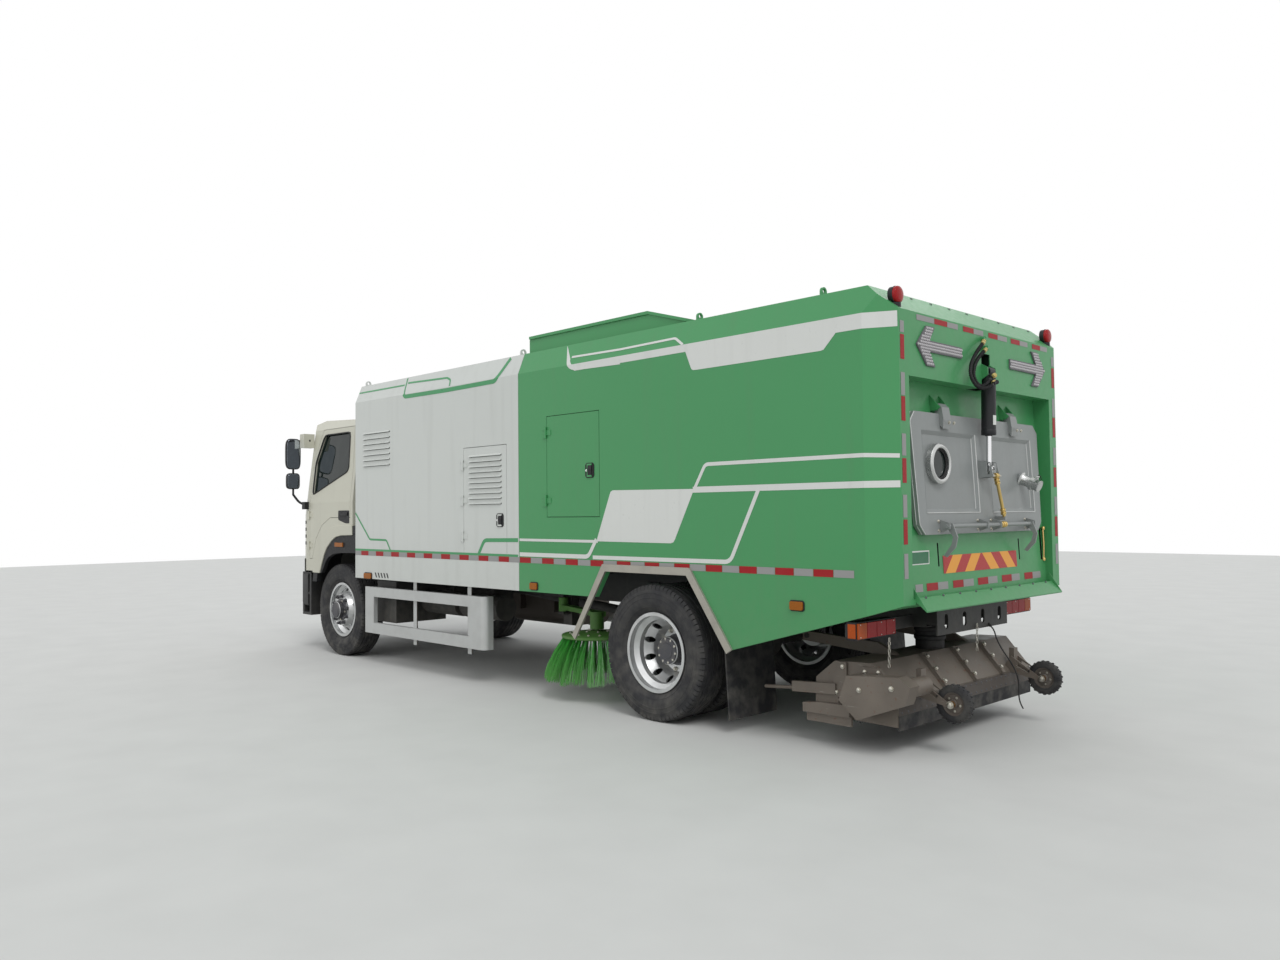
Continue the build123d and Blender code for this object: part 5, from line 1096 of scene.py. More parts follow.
class Heads:
    """Small units that are repeated: bolt heads, screws, nuts, domes and links."""

    @staticmethod
    def hexagon(across: float = 0.018, depth: float = 0.008) -> Shape:
        """A hexagon head on a washer."""
        r = across / math.sqrt(3)
        return turned((14, [(across * 0.72, -0.001), (across * 0.72, 0.0018), (0.001, 0.0018)]),
            (6, [(r, 0.001), (r, 0.86 * depth), (0.82 * r, depth), (0.001, depth)]))

    @staticmethod
    def dome(radius: float = 0.008, depth: float = 0.005) -> Shape:
        """A domed screw or rivet head."""
        return turned((12, [(radius, -0.001), (radius, 0.15 * depth), (0.72 * radius, 0.75 * depth),
            (0.3 * radius, depth), (0.001, depth)]))

    @staticmethod
    def stud_nut(across: float = 0.032, depth: float = 0.026) -> Shape:
        """A wheel nut with the end of its stud standing out of it.

        Args:
            across: The nut's width across its flats.
            depth: The nut's height.

        Returns:
            The nut's form.
        """
        r = across / math.sqrt(3)
        return turned((14, [(across * 0.7, -0.002), (across * 0.7, 0.004), (0.5 * across, 0.008)]),
            (6, [(r, 0.003), (r, 0.9 * depth), (0.86 * r, depth), (0.001, depth)]),
            (10, [(0.36 * across, depth - 0.002), (0.36 * across, depth + 0.01),
            (0.28 * across, depth + 0.013), (0.001, depth + 0.013)]))

    @staticmethod
    def led(radius: float = 0.0065) -> Shape:
        """A small lamp dome on its round base."""
        return turned((8, [(1.15 * radius, -0.001), (1.15 * radius, 0.0015), (radius, 0.0018),
            (0.86 * radius, 0.0045), (0.45 * radius, 0.0068), (0.001, 0.0072)]))

    @staticmethod
    def link(length: float = 0.03, width: float = 0.019, wire: float = 0.0024) -> Shape:
        """One oval link of a chain, standing along Z.

        Args:
            length: Outer length.
            width: Outer width.
            wire: The wire's radius.

        Returns:
            The link's form.
        """
        made = Shape()
        half = (length - width) / 2
        bend = width / 2 - wire
        ring = [(math.sin(a) * bend, 0.0, math.cos(a) * bend + (half if math.cos(a) >= 0 else -half))
            for a in turns(12, 0.13)]
        made.tube(ring + ring[:2], wire, sides=6)
        return made


@dataclass
class Viewpoint:
    """The camera, which stands where the photographer stood."""

    spot: Point = (-7.2558, 6.3782, 1.5384)
    yaw: float = -0.7732
    pitch: float = 0.0343
    roll: float = 0.0099
    lens: float = 27.58

    def build(self) -> None:
        """Makes the camera and sets it as the scene's."""
        ahead = Vector((math.cos(self.yaw) * math.cos(self.pitch), math.sin(self.yaw) * math.cos(self.pitch),
            math.sin(self.pitch)))
        right = ahead.cross(Vector((0, 0, 1))).normalized()
        down = ahead.cross(right)
        c, s = math.cos(self.roll), math.sin(self.roll)
        across = c * right + s * down
        below = -s * right + c * down
        data = bpy.data.cameras.new("camera")
        data.lens = self.lens
        data.sensor_width = 36.0
        data.clip_end = 200.0
        camera = placed("camera", data)
        turn = Matrix((across, -below, -ahead)).transposed().to_4x4()
        camera.matrix_world = Matrix.Translation(self.spot) @ turn
        bpy.context.scene.camera = camera


@dataclass
class Studio:
    """A pale floor, soft lamps and a white background."""

    floor_size: float = 60.0
    floor_colour: Colour = (0.62, 0.62, 0.6)
    sky: float = 0.62

    def build(self) -> None:
        """Makes the floor, the lamps and the world."""
        scene = bpy.context.scene
        scene.view_settings.view_transform = "Standard"
        self.lay_floor()
        for name, height, turn, strength, spread in (("key", 48.0, 152.0, 1.05, 24.0),
                ("fill", 32.0, 82.0, 0.42, 50.0), ("front", 40.0, -50.0, 0.35, 50.0)):
            data = bpy.data.lights.new(name, "SUN")
            data.energy = strength
            data.angle = math.radians(spread)
            lamp = placed(name, data)
            way = Vector((math.cos(math.radians(turn)) * math.cos(math.radians(height)),
                math.sin(math.radians(turn)) * math.cos(math.radians(height)),
                math.sin(math.radians(height))))
            lamp.rotation_euler = way.to_track_quat("Z", "Y").to_euler()
        self.light_world(scene)

    def lay_floor(self) -> None:
        """Makes the pale floor, which isn't part of the truck."""
        half = self.floor_size / 2
        mesh = bpy.data.meshes.new("floor")
        mesh.from_pydata([(x, y, 0) for x, y in patch(-half, half, -half, half)], [], [(0, 1, 2, 3)])
        graph = Graph("floor")
        spots = graph.span(graph.noise(2.0, detail=8.0), 0.3, 0.7, 0.0, 1.0)
        paler = tuple(min(1.0, 1.05 * c) for c in self.floor_colour)
        graph.feed("Base Color", graph.mix(spots, self.floor_colour, paler))
        graph.gloss(Roughness=0.9, Specular_IOR_Level=0.2)
        mesh.materials.append(graph.material)
        floor = placed("floor", mesh)

    def light_world(self, scene: bpy.types.Scene) -> None:
        """Lights the truck from all round, and shows white behind it.

        Args:
            scene: The scene that gets the world.
        """
        world = bpy.data.worlds.new("studio")
        world.use_nodes = True
        tree = world.node_tree
        tree.nodes.clear()
        rays, either, both, soft, white, mix, out = (tree.nodes.new(f"ShaderNode{kind}")
            for kind in ("LightPath", "Math", "Math", "Background", "Background", "MixShader",
            "OutputWorld"))
        for node, colour, strength in ((soft, (0.94, 0.97, 1.0, 1.0), self.sky),
                (white, (1.0, 1.0, 1.0, 1.0), 1.0)):
            node.inputs[0].default_value = colour
            node.inputs[1].default_value = strength
        either.operation = both.operation = "MAXIMUM"
        for giver, output, taker, into in ((rays, "Is Camera Ray", either, 0),
                (rays, "Is Transmission Ray", either, 1), (either, 0, both, 0),
                (rays, "Is Glossy Ray", both, 1), (both, 0, mix, 0), (soft, 0, mix, 1), (white, 0, mix, 2),
                (mix, 0, out, 0)):
            tree.links.new(giver.outputs[output], taker.inputs[into])
        scene.world = world


@dataclass
class Cord:
    """One loose hose or cable: its route, its thickness and its wrapping."""

    name: str
    node: str
    route: tuple[Point, ...]
    diameter: float
    length: float
    far_end: str
    finish: str
    stiffness: str
    wrap_pitch: float = 0.0
    fitting: str = ""
    guard_r: float = 0.0024

    def build(self) -> None:
        """Makes the cord and, where it has one, its spiral guard and the fitting on its near end."""
        curve = bpy.data.curves.new(self.name, "CURVE")
        curve.dimensions = "3D"
        curve.resolution_u = 8
        line = curve.splines.new("NURBS")
        line.points.add(len(self.route) - 1)
        for point, spot in zip(line.points, self.route):
            point.co = (*spot, 1.0)
        line.order_u = 3
        line.use_endpoint_u = True
        piece = placed(self.name, curve)
        path = self.middle_line(piece)
        curve.bevel_depth = self.diameter / 2
        curve.bevel_resolution = 3
        curve.use_fill_caps = True
        curve.materials.append(PALETTE[self.finish])
        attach(piece, "chassis")
        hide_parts(self.node)
        if self.wrap_pitch:
            self.wrap(path)
        if self.fitting:
            self.end_fitting(path)
        self.route[0]
        LOG.info("%s on chassis", self.name)

    def middle_line(self, piece: bpy.types.Object) -> list[Vector]:
        """Reads the spline's own points, before it has any thickness.

        Args:
            piece: The cord's curve.

        Returns:
            The points from end to end.
        """
        view = bpy.context.evaluated_depsgraph_get()
        mesh = bpy.data.meshes.new_from_object(piece.evaluated_get(view))
        points = [v.co.copy() for v in mesh.vertices]
        bpy.data.meshes.remove(mesh)
        return points

    def wrap(self, path: Sequence[Vector]) -> bpy.types.Object:
        """The plastic guard wound round the hose.

        Args:
            path: The hose's middle line.

        Returns:
            The guard.
        """
        radius = self.diameter / 2 + self.guard_r / 2
        way = (path[1] - path[0]).normalized()
        across = way.orthogonal().normalized()
        helix, gone = [], 0.0
        for here, there in zip(path, path[1:]):
            run = there - here
            way = run.normalized()
            across = (across - way * across.dot(way)).normalized()
            steps = max(1, int(run.length / (self.wrap_pitch / 9)))
            for k in range(steps):
                part = k / steps
                angle = 2 * math.pi * (gone + part * run.length) / self.wrap_pitch
                out = across * math.cos(angle) + way.cross(across) * math.sin(angle)
                helix.append(here + run * part + out * radius)
            gone += run.length
        trim = int(len(helix) * 0.03)
        made = Shape()
        made.tube(helix[trim:-trim], self.guard_r, sides=5)
        return made.finish(self.name + "_guard", "chassis", "hose_cover", smooth=True)

    def end_fitting(self, path: Sequence[Vector]) -> bpy.types.Object:
        """The crimped ferrule and nut where the hose leaves the tank's gland.

        Args:
            path: The hose's middle line.

        Returns:
            The fitting.
        """
        made = Shape()
        way = (path[1] - path[0]).normalized()
        start = path[0]
        r = self.diameter / 2
        made.lathe([(r + out, along) for out, along in ((0.001, 0.03), (0.004, 0.031), (0.0035, 0.036),
            (0.0045, 0.038), (0.0035, 0.043), (0.0045, 0.045), (0.0035, 0.05), (0.004, 0.055),
            (0.001, 0.056))], start, way, 20)
        made.lathe([(r + 0.001, 0.008), (r + 0.0055, 0.009), (r + 0.0055, 0.025), (r + 0.001, 0.027)], start,
            way, 6)
        return made.finish(self.name + "_ferrule", "chassis", self.fitting, smooth=True)


def metres(*route: Point) -> tuple[Point, ...]:
    """Route points in metres from millimetres."""
    return tuple(tuple(n / 1000.0 for n in p) for p in route)


CORDS = (Cord("tail_hose_high", "tail_hose_upper",
    metres((-4156, 74, 2691), (-4164, 112, 2666), (-4168, 190, 2612), (-4174, 268, 2552), (-4182, 330, 2486),
    (-4192, 352, 2418), (-4204, 318, 2362), (-4214, 250, 2342), (-4220, 170, 2352), (-4220, 114, 2374),
    (-4220, 92, 2385)), 0.02, 0.698, "object", "hose_cover", "stiff", 0.014, "hose_gold"),
    Cord("tail_hose_low", "tail_hose_lower", metres((-4152, 44, 2636), (-4160, 84, 2618), (-4166, 150, 2584),
    (-4172, 222, 2538), (-4180, 278, 2482), (-4188, 300, 2420), (-4196, 268, 2370), (-4202, 206, 2360),
    (-4204, 148, 2384), (-4202, 110, 2412), (-4202, 92, 2426)), 0.02, 0.596, "object", "hose_cover", "stiff",
    0.014, "hose_gold"), Cord("loose_cable", "hanging_cable",
    metres((-4014, -215, 725), (-4040, -212, 704), (-4050, -226, 634), (-4060, -300, 545),
    (-4070, -392, 462), (-4080, -466, 370), (-4083, -490, 288), (-4080, -486, 212), (-4082, -506, 150),
    (-4086, -540, 112)), 0.01, 0.736, "bare", "soft_rubber", "medium"))


@dataclass
class TruckTyre:
    """A tyre with grooved tread, shoulder lugs and ribbed walls, in place of the plain solid."""

    outer: float = 0.505
    half: float = 0.138
    bead: float = 0.2865
    toe: float = 0.0907
    heel: float = 0.3
    groove_width: float = 0.0095
    groove_depth: float = 0.013
    grooves: tuple[float, ...] = (0.024, 0.07)
    lugs: int = 76
    lug_r: float = 0.4635
    lug_out: float = 0.1115

    def half_profile(self) -> list[tuple[float, float]]:
        """Radius and distance from the tyre's middle, from the bead round the wall to the tread's middle.

        Returns:
            The points in order.
        """
        points = [(self.bead, 0.0), (self.bead, self.toe), (self.heel, self.toe)]
        wide = 0.386
        for radius in (0.306, 0.314, 0.324, 0.334, 0.336, 0.342, 0.344, 0.356, 0.37, 0.386, 0.404, 0.406,
                0.412, 0.414, 0.428, 0.44, 0.442, 0.446, 0.448, 0.462):
            sag = 6.45 if radius < wide else 1.05
            raised = 0.0 if radius in (0.336, 0.342, 0.406, 0.412, 0.442, 0.446) else 0.0022
            points.append((radius, self.half - raised - sag * (radius - wide) ** 2))
        points += [(0.474, 0.1215), (0.484, 0.1135), (self.outer - 0.012, 0.104), (self.outer - 0.0015, 0.1)]
        for groove in reversed(self.grooves):
            edge = self.groove_width / 2
            points += [(self.outer, groove + edge + 0.001),
                (self.outer - self.groove_depth, groove + 0.55 * edge),
                (self.outer - self.groove_depth, groove - 0.55 * edge), (self.outer, groove - edge - 0.001)]
        return points + [(self.outer, 0.0)]

    def build(self, node: str, body: str, centre_y: Sequence[float], x: float) -> None:
        """Makes the tyre or twin tyres of one wheel.

        Args:
            node: The plain solid that they replace.
            body: The wheel's body.
            centre_y: The middle of each tyre.
            x: The axle's place.
        """
        half = self.half_profile()
        ring = [(r, y) for r, y in half] + [(r, -y) for r, y in reversed(half[1:-1])]
        made = Shape()
        spots = []
        for middle in centre_y:
            made.lathe(ring, (x, middle, AXLE_Z), (0, 1, 0), 120, closed=True)
            for edge in (-1, 1):
                for angle in turns(self.lugs, 0.03 * edge):
                    out = (math.cos(angle), 0.0, math.sin(angle))
                    at = (x + self.lug_r * out[0], middle + edge * self.lug_out,
                        AXLE_Z + self.lug_r * out[2])
                    spots.append(Spot(at, out, along=(0, edge, 0)))
        tyre = made.finish(node + "_rubber", body, "tyre_rubber", smooth=True)
        lug = Shape()
        lug.add([(-0.018, -0.0185, 0.018), (0.0165, -0.0185, 0.0), (0.0165, 0.0185, 0.0),
            (-0.018, 0.0185, 0.018), (-0.018, -0.0175, 0.041), (0.0015, -0.0175, 0.0408),
            (0.015, -0.017, 0.029), (0.015, 0.017, 0.029), (0.0015, 0.0175, 0.0408),
            (-0.018, 0.0175, 0.041)], [(0, 3, 2, 1), (4, 5, 8, 9), (5, 6, 7, 8), (1, 2, 7, 6),
            (0, 1, 6, 5, 4), (3, 9, 8, 7, 2), (0, 4, 9, 3)])
        REPEATER.put(node + "_lugs", body, lug, spots, "tyre_rubber", smooth=False)
        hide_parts(node)


@dataclass
class WheelFittings:
    """Nuts, hub covers and hub bolts on one kind of wheel."""

    x: float
    face: float
    hub: tuple[tuple[float, float], ...]
    hub_bolts: int
    hub_bolt_r: float
    hub_face: float
    nut_r: float = 0.151
    nuts: int = 10
    nut_finish: str = "zinc_bolt"

    def build(self, side: Side, body: str) -> None:
        """Dresses the wheel on one side.

        Args:
            side: Left or right.
            body: The wheel's body.
        """
        way = (0.0, side.value, 0.0)
        name = body + "_dress"
        REPEATER.put(name + "_nuts", body, Heads.stud_nut(),
            circle((self.x, side.value * self.face, AXLE_Z), self.nut_r, self.nuts, way, 0.31),
            self.nut_finish)
        cover = Shape()
        cover.lathe(self.hub, (self.x, 0.0, AXLE_Z), way, 40)
        cover.finish(name + "_hub", body, "dark_steel", smooth=True)
        REPEATER.put(name + "_hub_bolts", body, Heads.hexagon(0.019, 0.009),
            circle((self.x, side.value * self.hub_face, AXLE_Z), self.hub_bolt_r, self.hub_bolts, way),
            "zinc_bolt")


def dress_wheels() -> None:
    """Builds the tyres and wheel fittings of both axles."""
    tyre = TruckTyre()
    front = WheelFittings(FRONT, 1.1135, ((0.121, 1.11), (0.121, 1.1205), (0.0935, 1.1275), (0.0935, 1.171),
        (0.077, 1.1865), (0.06, 1.1865), (0.058, 1.1885), (0.001, 1.1895)), 5, 0.106, 1.125,
        nut_finish="dark_steel")
    rear = WheelFittings(REAR, 0.9255, ((0.12, 0.93), (0.12, 0.9515), (0.1055, 0.957), (0.1055, 1.048),
        (0.102, 1.054), (0.095, 1.0665), (0.062, 1.0675), (0.058, 1.072), (0.001, 1.0725)), 10, 0.087, 1.058)
    for side in Side:
        tyre.build(f"front_tyre_{side.word}", f"front_wheel_{side.word}", (side.value * 0.995,), FRONT)
        tyre.build(f"rear_tyres_{side.word}", f"rear_wheels_{side.word}",
            (side.value * 1.085, side.value * 0.765), REAR)
        front.build(side, f"front_wheel_{side.word}")
        rear.build(side, f"rear_wheels_{side.word}")


class Skin:
    """The outer surface of some nodes, onto which thin markings are laid."""

    def __init__(self, frame: dict, *nodes: str) -> None:
        """Gathers the surface of the named nodes.

        Args:
            nodes: Their names.
        """
        corners: list[Vector] = []
        faces: list[tuple[int, ...]] = []
        for name in nodes:
            mesh = frame["nodes"][name].data
            start = len(corners)
            corners.extend(v.co.copy() for v in mesh.vertices)
            faces.extend(tuple(start + i for i in p.vertices) for p in mesh.polygons)
        self.tree = BVHTree.FromPolygons(corners, faces)

    def side(self, side: Side, x: float, z: float, lift: float) -> Vector:
        """The point of the side at x and z, lifted off the surface.

        Args:
            side: Left or right.
            x: Distance forwards.
            z: Height.
            lift: How far it stands off.

        Returns:
            The point.
        """
        spot, normal, _, _ = self.tree.ray_cast(Vector((x, side.value * 1.6, z)),
            Vector((0, -side.value, 0)), 0.6)
        if spot is None:
            LOG.warning("side marking missed the body at %.3f %.3f", x, z)
            return Vector((x, side.value * (HALF_WIDTH + lift), z))
        way = normal if normal.y * side.value > 0 else -normal
        return spot + way * lift


def flat_mesh(loops: Sequence[Sequence[Point]],
        cuts: Sequence[tuple[float, float, float]]) -> bmesh.types.BMesh:
    """A filled flat mesh of closed outlines, divided along straight cuts.

    Args:
        loops: Closed outlines as pairs, or as triples with a height above the other outlines.
        cuts: Lines as a, b and c of a*x + b*z = c.

    Returns:
        The mesh, in the XZ plane.
    """
    work = bmesh.new()
    for loop in loops:
        corners = [work.verts.new((p[0], p[2] if len(p) > 2 else 0.0, p[1])) for p in loop]
        face = work.faces.new(corners)
        bmesh.ops.triangulate(work, faces=[face])
    for a, b, c in cuts:
        size = math.hypot(a, b)
        middle = (a * c / size ** 2, 0.0, b * c / size ** 2)
        bmesh.ops.bisect_plane(work, geom=work.verts[:] + work.edges[:] + work.faces[:], dist=1e-6,
            plane_co=middle, plane_no=(a, 0.0, b))
    return work


def stroke(points: Sequence[Point], width: float, radius: float = 0.0) -> list[list[tuple[float, float]]]:
    """The quadrilaterals of a line of even width, mitred at its corners.

    Args:
        points: The line's middle, as pairs.
        width: Its width.
        radius: How much its corners are rounded.

    Returns:
        One closed outline for each piece of the line.
    """
    line = [Vector(p) for p in (rounded(points, radius) if radius else points)]
    left, right = [], []
    for k, here in enumerate(line):
        ahead = line[k + 1] - here if k < len(line) - 1 else here - line[k - 1]
        back = here - line[k - 1] if k else ahead
        a, b = ahead.normalized(), back.normalized()
        mean = (a + b).normalized()
        out = Vector((-mean.y, mean.x))
        reach = width / 2 / max(0.5, math.sqrt(max(0.0, (1 + a.dot(b)) / 2)))
        left.append(here + out * reach)
        right.append(here - out * reach)
    return [[tuple(left[k]), tuple(left[k + 1]), tuple(right[k + 1]), tuple(right[k])]
        for k in range(len(line) - 1)]


def from_axle(points: Sequence[Point]) -> list[tuple[float, float]]:
    """Pairs measured forwards of the rear axle, in the truck's own frame."""
    return [(p[0] + REAR, p[1]) for p in points]


@dataclass
class Livery:
    """The painted bands and lines on both sides, wrapped over the roof chamfer and round to the tail."""

    lift: float = 0.0011
    white_fills: tuple[tuple[Point, ...], ...] = (((0.448, 1.69), (0.437, 1.711), (0.412, 1.7215),
        (-0.443, 1.711), (-0.247, 1.346), (-0.232, 1.328), (-0.205, 1.32), (0.608, 1.324)),
        ((-0.348, 2.757), (-0.42, 2.59), (-0.43, 2.57), (-0.446, 2.562), (-0.475, 2.56), (-1.545, 2.561),
        (-1.568, 2.565), (-1.585, 2.583), (-1.625, 2.64), (-1.64, 2.656), (-1.662, 2.66), (-2.04, 2.66),
        (-2.04, 2.757)), ((0.9, 2.757), (0.86, 2.702), (-0.372, 2.702), (-0.348, 2.757)))
    white_lines: tuple[tuple[float, float, tuple[Point, ...]],
        ...] = ((0.026, 0.03, ((-0.449, 1.716), (-0.551, 1.882), (-1.842, 1.883), (-2.04, 1.874))),
        (0.042, 0.0, ((-0.43, 1.705), (-2.04, 1.703))),
        (0.03, 0.05, ((-1.025, 1.69), (-0.77, 1.2), (0.652, 1.197))),
        (0.022, 0.0, ((1.6, 1.324), (0.59, 1.323))),
        (0.034, 0.04, ((1.6, 1.2), (0.706, 1.2), (0.608, 1.34))),
        (0.04, 0.03, ((1.008, 2.937), (0.941, 2.774), (0.912, 2.743), (0.854, 2.725), (0.317, 2.712))),
        (0.018, 0.02, ((0.919, 2.823), (0.34, 2.812), (-0.25, 2.82), (-0.348, 2.757))))
    green_lines: tuple[tuple[float, float, tuple[Point, ...]],
        ...] = ((0.02, 0.02, ((4.478, 1.576), (4.172, 1.297), (3.835, 1.293), (3.745, 1.178))),
        (0.036, 0.0, ((4.478, 1.178), (1.622, 1.178))),
        (0.034, 0.04, ((2.215, 1.178), (2.12, 1.314), (1.622, 1.321))),
        (0.016, 0.0, ((4.473, 2.864), (3.543, 2.859))),
        (0.02, 0.02, ((3.529, 2.93), (3.5, 2.797), (3.473, 2.736))),
        (0.04, 0.03, ((3.5, 2.76), (3.47, 2.733), (2.756, 2.726), (1.95, 2.731), (1.904, 2.776),
        (1.8, 2.925))), (0.018, 0.02, ((3.487, 2.876), (2.768, 2.851), (2.695, 2.824), (2.674, 2.76))))

    def build(self, skin: Skin) -> None:
        """Lays the markings on both sides.

        Args:
            skin: The body's surface.
        """
        cuts = [(0.0, 1.0, ROOF_BEND), (1.0, 0.0, REAR_BEND), (1.0, 0.0, REAR_BEND - 0.1)]
        white = [from_axle(f) for f in self.white_fills] + self.strokes(self.white_lines)
        for side in Side:
            for word, loops in (("white", white), ("green", self.strokes(self.green_lines))):
                lay_on_side(f"livery_{word}_{side.word}", side, flat_mesh(loops, cuts), skin, self.lift,
                    f"marking_{word}")

    def strokes(self, lines: Sequence[tuple[float, float, tuple[Point, ...]]]) -> list[list[Point]]:
        """The outlines of all lines, each line a little above the one before it."""
        return [[(x, z, 0.00012 * (n + 1)) for x, z in quad] for n, (width, radius, line) in enumerate(lines)
            for quad in stroke(from_axle(line), width, radius)]


def lay_down(work: bmesh.types.BMesh, name: str, body: str, finish: str, facing: Point) -> None:
    """Makes a piece of a thin marking, its faces turned outwards.

    Args:
        work: The marking's mesh, which is freed.
        name: The piece's name.
        body: Its body.
        finish: Name of its finish.
        facing: Roughly the way that it faces.
    """
    work.normal_update()
    inward = [f for f in work.faces if f.normal.dot(Vector(facing)) < 0]
    bmesh.ops.reverse_faces(work, faces=inward)
    mesh = bpy.data.meshes.new(name)
    work.to_mesh(mesh)
    work.free()
    mesh.materials.append(PALETTE[finish])
    settle(placed(name, mesh), body)


def lay_on_side(name: str, side: Side, work: bmesh.types.BMesh, skin: Skin, lift: float,
        finish: str) -> None:
    """Wraps a flat marking onto one side.

    Args:
        name: The piece's name.
        side: Left or right.
        work: The marking, in the XZ plane.
        skin: The body's surface.
        lift: How far it stands off the surface.
        finish: Name of its finish.
    """
    for corner in work.verts:
        corner.co = skin.side(side, corner.co.x, corner.co.z, lift + corner.co.y)
    lay_down(work, name, "chassis", finish, (0.0, side.value, 0.0))


@dataclass
class SideTape:
    """The row of red and silver reflecting strips along both sides."""

    low: float = 1.128
    high: float = 1.175
    step: float = 0.153
    end: float = -1.767
    count: int = 41
    lift: float = 0.0016

    def build(self, skin: Skin) -> None:
        """Lays the strips on both sides.

        Args:
            skin: The body's surface.
        """
        for side in Side:
            for start, word in ((0, "white"), (1, "red")):
                loops = []
                for k in range(start, self.count, 2):
                    x = REAR + self.end + k * self.step
                    far = min(x + self.step - 0.003, 2.398)
                    if far - x > 0.02:
                        loops.append(patch(x, far, self.low, self.high))
                lay_on_side(f"side_tape_{word}_{side.word}", side, flat_mesh(loops, []), skin, self.lift,
                    f"{word}_tape")


@dataclass
class TailMarkings:
    """Reflecting strips, white and red by turns, the slanted-bar board and the screws on the tail."""

    top: tuple[tuple[float, float], ...] = ((0.91, 0.691), (0.689, 0.525), (0.523, 0.383), (0.312, 0.167),
        (0.165, 0.028), (-0.048, -0.184), (-0.186, -0.328), (-0.39, -0.53), (-0.532, -0.66),
        (-0.737, -0.872), (-0.874, -0.993))
    low: tuple[tuple[float, float], ...] = ((0.99, 0.9), (0.853, 0.714), (0.712, 0.582), (0.516, 0.378),
        (0.376, 0.235), (0.174, 0.028), (0.026, -0.112), (-0.182, -0.331), (-0.333, -0.461),
        (-0.539, -0.673), (-0.675, -0.811))
    posts: tuple[tuple[float, float], ...] = ((2.7, 2.628), (2.616, 2.464), (2.383, 2.243), (2.237, 2.087),
        (2.009, 1.875), (1.859, 1.709), (1.637, 1.499), (1.487, 1.336), (1.28, 1.128))
    top_z: tuple[float, float] = (2.728, 2.763)
    low_z: tuple[float, float] = (1.032, 1.08)
    low_shift: float = -0.098
    post_y: tuple[float, float] = (1.06, -1.11)
    post_width: float = 0.046

    def build(self, skin: Skin) -> None:
        """Lays the strips, the board and the screws.

        Args:
            skin: The body's surface.
        """
        for first, word in enumerate(("white", "red")):
            loops = [patch(left, right, *self.top_z) for left, right in self.top[first::2]]
            loops += [patch(left + self.low_shift, right + self.low_shift, *self.low_z)
                for left, right in self.low[first::2]]
            loops += [patch(y, y + self.post_width, low, high) for high, low in self.posts[first::2]
                for y in self.post_y]
            self.lay(f"tail_tape_{word}", loops, skin, 0.0016, f"{word}_tape")
        self.lay("slanted_bar_board", [patch(-0.53, 0.53, 1.131, 1.247)], skin, 0.0022, "chevron_film")
        spots = [Spot(rear_point(skin, 0.867 - 0.2167 * k, 1.0, 0.0), (-1, 0, -0.1), 0.4 * k)
            for k in range(9)]
        for k, y in enumerate((0.92, 0.671, 0.422, 0.176, -0.074, -0.316, -0.559, -0.808, -1.058)):
            found = skin.tree.ray_cast(Vector((-3.955, y, 3.3)), Vector((0, 0, -1)), 0.8)
            if found[0] is not None:
                spots.append(Spot(found[0], found[1], 0.5 * k))
        REPEATER.put("tail_screws", "chassis", Heads.dome(0.011, 0.006), spots, "dark_steel")
        plate = Shape()
        x = rear_point(skin, 0.81, 1.24, 0.0).x
        plate.box((x - 0.0022, 0.7, 1.198), (x + 0.001, 0.925, 1.288))
        plate.box((x - 0.0028, 0.709, 1.207), (x - 0.002, 0.916, 1.279), 1)
        plate.finish("bare_tail_plate", "chassis", "marking_white", "plate_green", bevel=0.0004)
        stay = Shape()
        x = rear_point(skin, -0.985, 1.28, 0.0).x
        stay.tube([(x - 0.008, -0.982, 1.158), (x - 0.012, -0.979, 1.28), (x - 0.008, -0.976, 1.405)],
            0.0075, 0, 12)
        for z in (1.165, 1.398):
            stay.lathe([(0.013, -0.011), (0.0145, -0.008), (0.0145, 0.008), (0.013, 0.011)],
                (x - 0.01, -0.979, z), (0, 0, 1), 16)
        stay.finish("brass_stay", "chassis", "brass", smooth=True)

    def lay(self, name: str, loops: Sequence[Sequence[Point]], skin: Skin, lift: float, finish: str) -> None:
        """Lays flat outlines of y and z onto the tail."""
        work = flat_mesh(loops, [])
        for corner in work.verts:
            corner.co = rear_point(skin, corner.co.x, corner.co.z, lift)
        lay_down(work, name, "chassis", finish, (-1.0, 0.0, 0.0))


def rear_point(skin: Skin, y: float, z: float, lift: float) -> Vector:
    """The point of the tail at y and z, lifted towards the rear.

    Args:
        skin: The body's surface.
        y: Distance to the left.
        z: Height.
        lift: How far off the surface.

    Returns:
        The point.
    """
    spot, _, _, _ = skin.tree.ray_cast(Vector((-4.5, y, z)), Vector((1, 0, 0)), 1.2)
    if spot is None:
        LOG.warning("tail marking missed the body at %.3f %.3f", y, z)
        return Vector((TAIL_X - lift, y, z))
    return spot - Vector((lift, 0.0, 0.0))


